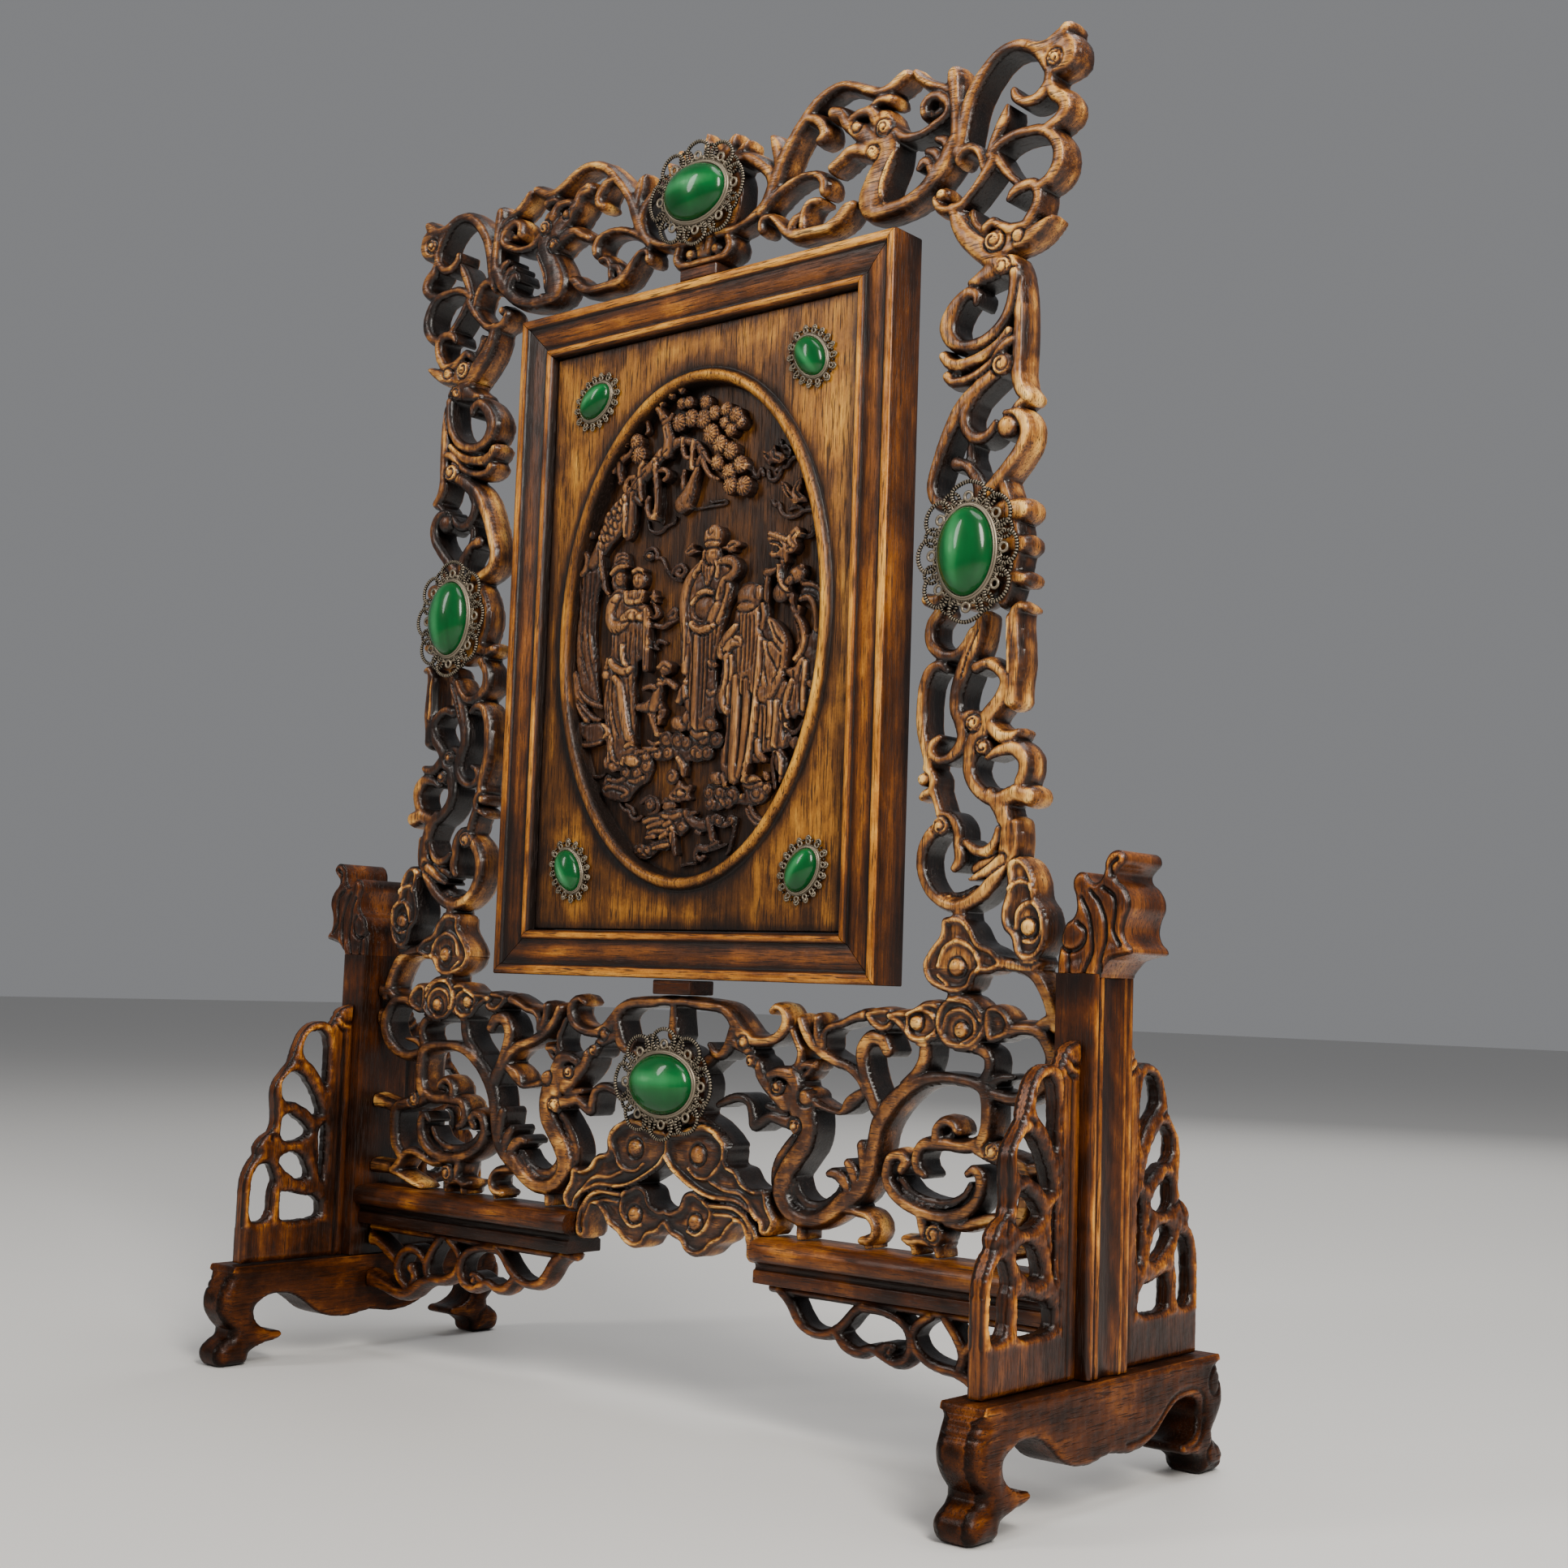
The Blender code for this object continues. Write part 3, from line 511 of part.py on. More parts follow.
    ("P", 0, [(37.5, 221.1), (40.9, 221.8), (43.5, 224.4), (44.6, 218.8), (48, 217.2), (48.9, 215.1),
    (45.9, 215.5), (45.3, 206.6), (43, 207.2), (41.6, 206.1), (39.5, 206.9), (37.9, 201.6), (36.7, 211.6),
    (39.5, 218.1)]),
    ("P", 0, [(-51.2, 208.9), (-49, 210.3), (-39.7, 209.6), (-36.1, 206), (-38.2, 203.1), (-47.5, 201.7),
    (-50.4, 202.9), (-45.4, 204.1), (-49.7, 206)]),
    ("R", 0, [(-55.5, 225.5, 1.6), (-52.1, 225.1, 2), (-50.9, 222.3, 2.1), (-47.5, 214, 2.1),
    (-45.2, 210.7, 1.3)]),
    ("P", 0, [(-35.2, 192.8), (-37.4, 187.1), (-35.3, 185.1), (-26.3, 183.7), (-18.1, 189.4),
    (-15.6, 194.6), (-16.7, 197.7), (-19.9, 198.7), (-22.7, 197.7), (-24.1, 195.3), (-28.4, 194.6),
    (-31.3, 191)]), ("R", 0, [(-18.1, 194.5, 2.4)]), ("R", 0, [(-24.1, 196.4, 2.5)]),
    ("P", 0, [(-17.2, 198.6), (-14.3, 200.3), (-13.6, 203.2), (-4.9, 204.2), (-2.9, 203.2), (6.4, 204.3),
    (13.5, 201.4), (9.2, 199), (9.2, 196.6), (-0.8, 195.3), (-1, 191.7), (-3.6, 191), (-7.2, 197.2),
    (-10.8, 196), (-15, 196.6)]), ("R", 0, [(-9.9, 202.6, 2.6)]), ("R", 0, [(-5.1, 202.1, 2.7)]),
    ("R", 0, [(5.4, 202.1, 2.5)]), ("R", 0, [(10.8, 201.3, 2.5)]),
    ("P", 0, [(6, 186), (7.9, 188.1), (18.6, 187.4), (21.5, 183.1), (22.9, 183.8), (22.9, 186.7),
    (29.3, 188.1), (31.8, 186.8), (31.9, 183.8), (30, 181.8), (20, 181.7), (12.2, 179.8), (7.9, 180.4)]),
    ("R", 0, [(13.1, 185.2, 2.4)]), ("R", 0, [(17.9, 184.4, 2.6)]), ("R", 0, [(28.1, 184.7, 3.2)]),
    ("P", 0, [(-3.3, 189.6), (-0.5, 187.6), (1.5, 188), (0.6, 185.3), (1.7, 183.7), (-7, 182.6),
    (-8, 184.4)]), ("R", 0, [(-7, 190.8, 2.5)]),
    ("P", 0, [(-19, 178.2), (-2.7, 180.9), (-0.1, 179.8), (0.9, 177.4), (-2.7, 172.3), (-4.9, 173.8),
    (-9.9, 171.6), (-15.6, 171.6), (-17.7, 173), (-17, 175.2), (-19.4, 176.3)]),
    ("R", 0, [(-0.9, 179.5, 1.4), (1.2, 177.3, 1.8), (3.4, 175.9, 2), (9.8, 177, 1.7), (11.9, 177.9, 1)]),
]
SCENE_HIGH = [
    ("R", 0, [(-13.6, 293.4, 1.9), (-13.5, 300.5, 2.1), (-16, 306.1, 1.3), (-19, 309.4, 0.5)]),
    ("R", 0, [(-26.9, 298.9, 2.2)]), ("R", 0, [(-25.5, 294.4, 2.5)]), ("R", 0, [(2.4, 307.3, 1.9)]),
    ("R", 0, [(-3.3, 303.1, 2.4)]), ("R", 0, [(-8.2, 302.4, 2.5)]), ("R", 0, [(6.3, 303.4, 1.9)]),
    ("R", 0, [(1.7, 302.1, 2.6)]), ("R", 0, [(11.3, 303.7, 1.9)]), ("R", 0, [(17.1, 298.9, 1.7)]),
    ("R", 0, [(15.2, 301.3, 2.2)]), ("R", 0, [(13.5, 296.9, 1.7)]), ("R", 0, [(5.2, 296.9, 2.7)]),
    ("R", 0, [(9.2, 293.1, 2.4)]), ("R", 0, [(13.8, 290.3, 2.3)]), ("R", 0, [(8.1, 287.4, 2)]),
    ("R", 0, [(17.5, 285.6, 2.3)]), ("R", 0, [(13.1, 283.7, 2.3)]), ("R", 0, [(19.5, 278.6, 2.6)]),
    ("R", 0, [(13.8, 279.4, 2.3)]),
    ("R", 0, [(-32.6, 249.1, 1.3), (-35.4, 242.6, 2.2), (-33.7, 239.8, 2.2), (-27.7, 242.1, 1.7)]),
    ("R", 0, [(-29.1, 241.9, 1.7), (-25.8, 243.3, 1.7), (-22.5, 242, 1.6), (-19.3, 242.5, 1.4)]),
    ("R", 0, [(-32, 223.1, 1.2), (-28.4, 214.2, 1.8), (-27, 208.5, 1.7), (-23.8, 202, 1.2)]),
    ("R", 0, [(-10.4, 224.8, 2.5)]),
    ("R", 0, [(2.4, 255.6, 1.2), (-2.9, 249.1, 2), (-1.9, 232.7, 2), (-2.1, 223.4, 1.5)]),
    ("R", 0, [(5.2, 242.6, 4.2)]), ("R", 0, [(7.9, 258.4, 3.2)]),
    ("P", 0, [(8, 267.6), (10.5, 267.2), (11.8, 265.2), (10.5, 260.9), (6.9, 260.7), (5.1, 261.4),
    (4.9, 265.5)]),
    ("P", 0, [(19.8, 241.3), (23.5, 239.8), (27.8, 242), (28.8, 230.5), (26.4, 214.8), (20, 215.1),
    (19.2, 229.8)]), ("R", 0, [(23.2, 244.1, 4.8)]), ("R", 0, [(22.5, 241.1, 2.5)]),
    ("R", 0, [(18.5, 235.5, 0.8), (15.5, 232.8, 1.5), (13.1, 227.1, 1.6), (15.4, 227.2, 1.2)]),
    ("R", 0, [(15.2, 226.4, 1.5), (14.8, 217.8, 1.6), (13.8, 214.2, 1.9), (16.5, 209.6, 1.2)]),
    ("P", 0, [(30.5, 237.1), (33.6, 236.2), (37.2, 232.8), (39, 228.5), (37.2, 218.5), (34.3, 213.5),
    (31.5, 211.3), (28.9, 211.7), (27.9, 214.2), (29.5, 222.8), (29.2, 230)]),
    ("R", 0, [(19, 219.6, 1.5), (19.1, 211.4, 1.9), (19, 194.3, 2.3), (19.1, 189.6, 2.2)]),
    ("P", 0, [(29.9, 262.8), (37.6, 261.1), (41.6, 263.5), (42.5, 261.5), (41, 259.8), (41.6, 257.7),
    (40.3, 255.8), (38.3, 255.5), (37.8, 253.2), (35.9, 252.9), (35, 254.8), (32.3, 254.9), (30.8, 256.4),
    (34.5, 258.2), (31.5, 259.1)]), ("R", 0, [(41.3, 249.2, 2.9)]), ("R", 0, [(35.7, 244.4, 3.2)]),
]

# ---------------------------------------------------------------- curves and fields
def spline(pts, n=6, closed=False):
    """Catmull-Rom curve through the given points, n steps to each span."""
    P = [np.array(p, float) for p in pts]
    m = len(P)
    if m == 1:
        return np.array([P[0], P[0] + np.array([1e-3] + [0.0] * (len(P[0]) - 1))])
    out = []
    for i in range(m if closed else m - 1):
        b, c = P[i], P[(i + 1) % m]
        a = P[(i - 1) % m] if (closed or i > 0) else 2 * b - c
        d = P[(i + 2) % m] if (closed or i + 2 < m) else 2 * c - b
        for k in range(n):
            t = k / n
            out.append(0.5 * (2 * b + (c - a) * t + (2 * a - 5 * b + 4 * c - d) * t * t
                              + (3 * b - a - 3 * c + d) * t ** 3))
    if not closed:
        out.append(P[-1])
    return np.array(out)


def limb_field(X, Z, pts, n=6):
    """Signed distance (positive inside) to a limb of varying width, its local
    half width, and the plain distance from its centre line."""
    q = spline(pts, n)
    best = np.full(X.shape, -1e9)
    wid = np.zeros(X.shape)
    dist = np.full(X.shape, 1e9)
    for a, b in zip(q[:-1], q[1:]):
        r = max(a[2], b[2]) + 3.0
        sel = ((X > min(a[0], b[0]) - r) & (X < max(a[0], b[0]) + r)
               & (Z > min(a[1], b[1]) - r) & (Z < max(a[1], b[1]) + r))
        if not sel.any():
            continue
        px, pz = X[sel] - a[0], Z[sel] - a[1]
        dx, dz = b[0] - a[0], b[1] - a[1]
        t = np.clip((px * dx + pz * dz) / max(dx * dx + dz * dz, 1e-9), 0, 1)
        d = np.hypot(px - t * dx, pz - t * dz)
        w = a[2] + t * (b[2] - a[2])
        f = w - d
        old = best[sel]
        up = f > old
        tmp = best[sel]; tmp[up] = f[up]; best[sel] = tmp
        tmp = wid[sel]; tmp[up] = w[up]; wid[sel] = tmp
        tmp = dist[sel]; tmp[up] = d[up]; dist[sel] = tmp
    return best, wid, dist


def closed_outline(pts, n=6):
    """Closed curve; one that starts and ends on the mirror line is carried past it."""
    if abs(pts[0][0]) < 0.9 and abs(pts[-1][0]) < 0.9:
        q = spline(pts, n)
        return np.vstack([q, [[-4.0, pts[-1][1]], [-4.0, pts[0][1]]]])
    return spline(pts, n, closed=True)


def plate_field(X, Z, pts, n=6):
    """Signed distance (positive inside) to a closed outline."""
    q = closed_outline(pts, n)
    best = np.full(X.shape, -1e9)
    lo, hi = q.min(0) - 4, q.max(0) + 4
    sel = (X > lo[0]) & (X < hi[0]) & (Z > lo[1]) & (Z < hi[1])
    if not sel.any():
        return best
    x, z = X[sel], Z[sel]
    inside = np.zeros(x.shape, bool)
    near = np.full(x.shape, 1e9)
    for i in range(len(q)):
        a, b = q[i], q[(i + 1) % len(q)]
        dx, dz = b[0] - a[0], b[1] - a[1]
        t = np.clip(((x - a[0]) * dx + (z - a[1]) * dz) / max(dx * dx + dz * dz, 1e-12), 0, 1)
        near = np.minimum(near, np.hypot(x - a[0] - t * dx, z - a[1] - t * dz))
        if abs(dz) > 1e-12:
            cross = ((a[1] > z) != (b[1] > z)) & (x < a[0] + dx * (z - a[1]) / dz)
            inside ^= cross
    best[sel] = np.where(inside, near, -near)
    return best


def solid_field(X, Z, strokes):
    """Union of every solid stroke."""
    F = np.full(X.shape, -9.0)
    for kind, level, pts in strokes:
        if kind in "RoLKV":
            F = np.maximum(F, limb_field(X, Z, pts)[0])
        elif kind in "PD":
            F = np.maximum(F, plate_field(X, Z, pts))
    return F

# ---------------------------------------------------------------- outlines
def contour_loops(F, xs, zs):
    """Closed loops where F = 0, from marching squares with linear interpolation."""
    nz, nx = F.shape
    F = np.where(np.abs(F) < 1e-6, 1e-6, F)
    S = F > 0
    code = (S[:-1, :-1] * 1 + S[:-1, 1:] * 2 + S[1:, 1:] * 4 + S[1:, :-1] * 8)
    table = {1: [(3, 0)], 2: [(0, 1)], 3: [(3, 1)], 4: [(1, 2)], 5: [(3, 2), (1, 0)],
             6: [(0, 2)], 7: [(3, 2)], 8: [(2, 3)], 9: [(2, 0)], 10: [(0, 3), (2, 1)],
             11: [(2, 1)], 12: [(1, 3)], 13: [(1, 0)], 14: [(0, 3)]}
    nxt, pos = {}, {}

    def point(j, i, e):
        if e == 0:
            k, a, b = ("h", j, i), (j, i), (j, i + 1)
        elif e == 1:
            k, a, b = ("v", j, i + 1), (j, i + 1), (j + 1, i + 1)
        elif e == 2:
            k, a, b = ("h", j + 1, i), (j + 1, i), (j + 1, i + 1)
        else:
            k, a, b = ("v", j, i), (j, i), (j + 1, i)
        if k not in pos:
            fa, fb = F[a], F[b]
            t = fa / (fa - fb)
            pos[k] = (xs[a[1]] + t * (xs[b[1]] - xs[a[1]]), zs[a[0]] + t * (zs[b[0]] - zs[a[0]]))
        return k

    for j, i in zip(*np.nonzero((code > 0) & (code < 15))):
        for a, b in table[int(code[j, i])]:
            nxt[point(j, i, a)] = point(j, i, b)
    loops, seen = [], set()
    for k in list(nxt):
        if k in seen:
            continue
        loop, c = [], k
        while c not in seen:
            seen.add(c)
            loop.append(pos[c])
            c = nxt[c]
        loops.append(np.array(loop))
    return loops


def area(q):
    x, z = q[:, 0], q[:, 1]
    return 0.5 * float(np.sum(x * np.roll(z, -1) - np.roll(x, -1) * z))


def simplify(q, tol):
    """Douglas-Peucker on a closed loop."""
    n = len(q)
    i0 = int(np.argmax(q[:, 0] + 0.001 * q[:, 1]))
    q = np.roll(q, -i0, axis=0)
    far = int(np.argmax(np.hypot(*(q - q[0]).T)))
    keep = {0, far}
    stack = [(0, far), (far, n)]
    while stack:
        a, b = stack.pop()
        if b - a < 2:
            continue
        A, B = q[a], q[b % n]
        seg = q[a + 1:b]
        d = B - A
        L = math.hypot(*d)
        if L < 1e-9:
            dist = np.hypot(*(seg - A).T)
        else:
            dist = np.abs((seg[:, 0] - A[0]) * d[1] - (seg[:, 1] - A[1]) * d[0]) / L
        k = int(np.argmax(dist))
        if dist[k] > tol:
            keep.add(a + 1 + k)
            stack += [(a, a + 1 + k), (a + 1 + k, b)]
    return q[sorted(keep)]


def inside_loops(px, pz, loops):
    c = False
    for q in loops:
        for (ax, az), (bx, bz) in zip(q, np.roll(q, -1, axis=0)):
            if (az > pz) != (bz > pz) and px < ax + (bx - ax) * (pz - az) / (bz - az):
                c = not c
    return c


def add_object(name, verts, faces, mat):
    me = bpy.data.meshes.new(name)
    me.from_pydata([tuple(v) for v in verts], [], [tuple(f) for f in faces])
    bm = bmesh.new()
    bm.from_mesh(me)
    bmesh.ops.remove_doubles(bm, verts=bm.verts, dist=1e-7)
    bmesh.ops.triangulate(bm, faces=bm.faces[:])
    bmesh.ops.recalc_face_normals(bm, faces=bm.faces[:])
    if bm.calc_volume(signed=True) < 0:
        bmesh.ops.reverse_faces(bm, faces=bm.faces[:])
    bm.to_mesh(me)
    bm.free()
    ob = bpy.data.objects.new(name, me)
    bpy.context.scene.collection.objects.link(ob)
    me.materials.append(MAKE[mat](name + "_finish"))
    return ob


def extrude_loops(name, loops, lo, hi, mat, axis="y"):
    """A prism of the drawn loops (outer and holes) between lo and hi along one axis.
    Only the largest connected region is kept."""
    coords, edges = [], []
    for q in loops:
        s = len(coords)
        coords += [Vector((float(a), float(b))) for a, b in q]
        edges += [(s + i, s + (i + 1) % len(q)) for i in range(len(q))]
    vs, _, fs, *_ = geometry.delaunay_2d_cdt(coords, edges, [], 0, 1e-5)
    tris = []
    for f in fs:
        c = sum((vs[i] for i in f), Vector((0.0, 0.0))) / len(f)
        if inside_loops(c.x, c.y, loops):
            tris.append(tuple(f))
    owner = {}
    for t, f in enumerate(tris):
        for a, b in zip(f, f[1:] + f[:1]):
            owner.setdefault((min(a, b), max(a, b)), []).append(t)
    links = {}
    for pair in owner.values():
        if len(pair) == 2:
            links.setdefault(pair[0], []).append(pair[1])
            links.setdefault(pair[1], []).append(pair[0])
    best, seen = [], set()
    for t in range(len(tris)):
        if t in seen:
            continue
        group, stack = [], [t]
        seen.add(t)
        while stack:
            c = stack.pop()
            group.append(c)
            for d in links.get(c, []):
                if d not in seen:
                    seen.add(d)
                    stack.append(d)
        if len(group) > len(best):
            best = group
    tris = [tris[t] for t in best]
    used = sorted({i for f in tris for i in f})
    idx = {v: k for k, v in enumerate(used)}
    n = len(used)

    def put(v, w):
        return (v.x * MM, w * MM, v.y * MM) if axis == "y" else (w * MM, v.x * MM, v.y * MM)

    verts = [put(vs[i], lo) for i in used] + [put(vs[i], hi) for i in used]
    faces = [tuple(idx[i] for i in f) for f in tris]
    faces += [tuple(idx[i] + n for i in reversed(f)) for f in tris]
    count = {}
    for f in tris:
        for a, b in zip(f, f[1:] + f[:1]):
            count[(a, b)] = count.get((a, b), 0) + 1
    for (a, b) in count:
        if (b, a) not in count:
            faces.append((idx[b], idx[a], idx[a] + n, idx[b] + n))
    return add_object(name, verts, faces, mat)


def board(name, strokes, x_range, z_range, side, mat, half=BOARD_HALF, tol=FLAT_TOL, cell=CELL,
          keep=None):
    """A carved board's blank: the union of its strokes, clipped to its seams.
    side is 0 for a board that crosses the middle, 1 or -1 for one half.
    keep is an extra field that is positive where the board may be."""
    xs = np.arange(x_range[0], x_range[1] + cell, cell)
    zs = np.arange(z_range[0] - 2 * cell, z_range[1] + 3 * cell, cell)
    X, Z = np.meshgrid(xs, zs)
    F = solid_field(np.abs(X) if side == 0 else X, Z, strokes)
    F = np.minimum(F, np.minimum(Z - z_range[0], z_range[1] - Z))
    if keep:
        F = np.minimum(F, keep(X, Z))
    F[0, :] = F[-1, :] = -1.0
    F[:, 0] = F[:, -1] = -1.0
    loops = []
    for q in contour_loops(F, xs, zs):
        if len(q) > 8 and abs(area(q)) > 3.0:
            s = simplify(q, tol)
            if len(s) > 2:
                loops.append(s)
    if side < 0:
        loops = [np.column_stack([-q[:, 0], q[:, 1]])[::-1] for q in loops]
    return extrude_loops(name, loops, -half, half, mat)


def prism(name, outline, lo, hi, mat, axis="y", holes=()):
    return extrude_loops(name, [np.array(outline)] + [np.array(h) for h in holes], lo, hi, mat, axis)


def oval(cx, cz, a, b, n, turn=0.0):
    t = np.arange(n) * 2 * math.pi / n
    x, z = a * np.cos(t), b * np.sin(t)
    c, s = math.cos(turn), math.sin(turn)
    return np.column_stack([cx + x * c - z * s, cz + x * s + z * c])


# ---------------------------------------------------------------- openwork boards
board("crest_rail", CREST + NECK, (-143.2, 143.2), (SEAM_TOP + GAP / 2, 399.2), 0, "board")
for side, tag in ((1, "right"), (-1, "left")):
    board("stile_" + tag, STILE + NECK + CLOUDS, (84.4, 141.2),
          (SEAM_LOW + GAP / 2, SEAM_TOP - GAP / 2), side, "board")
board("lower_board", BOARD + CLOUDS, (-POST_X0 + GAP, POST_X0 - GAP), (46.4, SEAM_LOW - GAP / 2), 0, "board",
      keep=lambda X, Z: np.where(np.abs(X) > RAIL_X0 - 0.9, Z - 57.0, 9.0))

stout = [(kind, lev, [(x, z, 1.2 * w) for x, z, w in pts]) for kind, lev, pts in APRON]
for side, tag in ((1, "right"), (-1, "left")):
    board("apron_" + tag, stout, (40.0, FOOT_X0 - GAP), (16.0, 42.7), side, "stand", half=APRON_HALF,
          keep=lambda X, Z: FOOT_X0 - GAP - X)

# ---------------------------------------------------------------- moulded rail
# Section in Y and Z: rounded nose, cove and fascia, the same front and back.
RAIL_SECTION = [(-5.6, 56.0), (-8.6, 55.2), (-9.9, 53.6), (-10.2, 51.8), (-9.7, 50.0), (-8.4, 49.0),
                (-7.0, 48.4), (-6.6, 47.2), (-7.4, 46.7), (-7.4, 43.0)]


def bar_along_x(name, section, x0, x1, mat):
    n = len(section)
    verts = [(x0 * MM, y * MM, z * MM) for y, z in section] + [(x1 * MM, y * MM, z * MM) for y, z in section]
    faces = [tuple(range(n)), tuple(reversed(range(n, 2 * n)))]
    faces += [(i, (i + 1) % n, (i + 1) % n + n, i + n) for i in range(n)]
    return add_object(name, verts, faces, mat)


section = RAIL_SECTION + [(-y, z) for y, z in reversed(RAIL_SECTION)]
bar_along_x("rail_right", section, RAIL_X0, POST_X0 - GAP, "stand")
bar_along_x("rail_left", section, -(POST_X0 - GAP), -RAIL_X0, "stand")

# ---------------------------------------------------------------- feet
# Half outline in Y and Z from the top middle round the leg to the hanging point.
FOOT_SIDE = [(56.2, 31.7), (56.9, 29.6), (58.6, 26.2), (60.2, 21.8), (59.9, 17.6), (57.5, 13.9),
             (55.3, 11.4), (55.5, 9.4), (58.4, 7.9), (60.7, 5.4), (60.8, 2.8), (59.3, 0.6), (57.6, 0.0)]
FOOT_ARCH = [(49.6, 0.0), (48.2, 1.4), (47.4, 4.0), (43.6, 6.4), (38.6, 7.2), (36.3, 8.3), (37.0, 9.8),
             (41.2, 10.4), (44.8, 12.2), (46.6, 15.2), (46.2, 18.8), (43.0, 21.4), (38.2, 22.1),
             (32.4, 21.0), (27.2, 18.0), (22.4, 14.6), (16.4, 12.5), (9.4, 11.9), (4.2, 12.6), (0.0, 13.2)]
half = [(0.0, 31.7)] + FOOT_SIDE + FOOT_ARCH
foot = half + [(-y, z) for y, z in reversed(half[1:-1])]
prism("foot_right", foot, FOOT_X0, FOOT_X1, "stand", axis="x")
prism("foot_left", foot, -FOOT_X1, -FOOT_X0, "stand", axis="x")

# ---------------------------------------------------------------- posts with scrolled finials
FINIAL = [(139.4, 137.5), (139.9, 140.0), (140.5, 143.4), (141.6, 146.2), (143.7, 147.8), (144.7, 150.2),
          (144.3, 153.6), (143.6, 155.6), (143.7, 157.8), (145.2, 159.4), (147.2, 159.4), (148.4, 157.8),
          (149.9, 156.8), (151.6, 157.4), (152.7, 159.6), (153.0, 162.2), (154.4, 164.3), (156.6, 165.1),
          (158.5, 164.2), (158.9, 162.2), (157.4, 160.6), (156.2, 159.0), (156.7, 157.2), (158.6, 155.6),
          (160.1, 153.0), (160.3, 150.3), (159.1, 147.4), (158.6, 144.4), (159.5, 141.8), (161.2, 140.3),
          (161.3, 138.9), (158.2, 138.2), (154.8, 137.2), (152.9, 135.4), (151.4, 133.6)]
post = [(POST_X0, POST_Z0)] + [tuple(p) for p in spline(FINIAL, 2)] + [(POST_X1, 131.0), (POST_X1, POST_Z0)]


def fluted_post(name, side):
    outline = [(side * x, z) for x, z in post]
    ob = prism(name, outline, -POST_HALF_Y, POST_HALF_Y, "stand")
    cutters = []
    for k, (y, r, dep, seg) in enumerate(((-6.1, 1.4, 0.8, 8), (0.0, 9.2, 1.3, 30), (6.1, 1.4, 0.8, 8))):
        bm = bmesh.new()
        ret = bmesh.ops.create_cone(bm, cap_ends=True, segments=seg, radius1=r * MM, radius2=r * MM,
                                    depth=104.0 * MM)
        bmesh.ops.translate(bm, verts=ret["verts"],
                            vec=(side * (POST_X1 + r - dep) * MM, y * MM, (POST_Z0 - 3.0 + 52.0 + 0.4) * MM))
        me = bpy.data.meshes.new("%s_flute%d" % (name, k))
        bm.to_mesh(me)
        bm.free()
        cut = bpy.data.objects.new("%s_flute%d" % (name, k), me)
        bpy.context.scene.collection.objects.link(cut)
        cut.hide_render = True
        cut.display_type = "WIRE"
        mod = ob.modifiers.new("flute%d" % k, "BOOLEAN")
        mod.operation = "DIFFERENCE"
        mod.solver = "EXACT"
        mod.object = cut
        cutters.append(cut)
    bpy.context.view_layer.update()
    dg = bpy.context.evaluated_depsgraph_get()
    me = bpy.data.meshes.new_from_object(ob.evaluated_get(dg))
    ob.modifiers.clear()
    ob.data = me
    for cut in cutters:
        bpy.data.objects.remove(cut, do_unlink=True)
    bm = bmesh.new()
    bm.from_mesh(me)
    bmesh.ops.remove_doubles(bm, verts=bm.verts, dist=1e-6)
    bmesh.ops.dissolve_degenerate(bm, edges=bm.edges, dist=1e-6)
    bmesh.ops.triangulate(bm, faces=bm.faces[:])
    bmesh.ops.recalc_face_normals(bm, faces=bm.faces[:])
    bm.to_mesh(me)
    bm.free()
    return ob


fluted_post("post_right", 1)
fluted_post("post_left", -1)

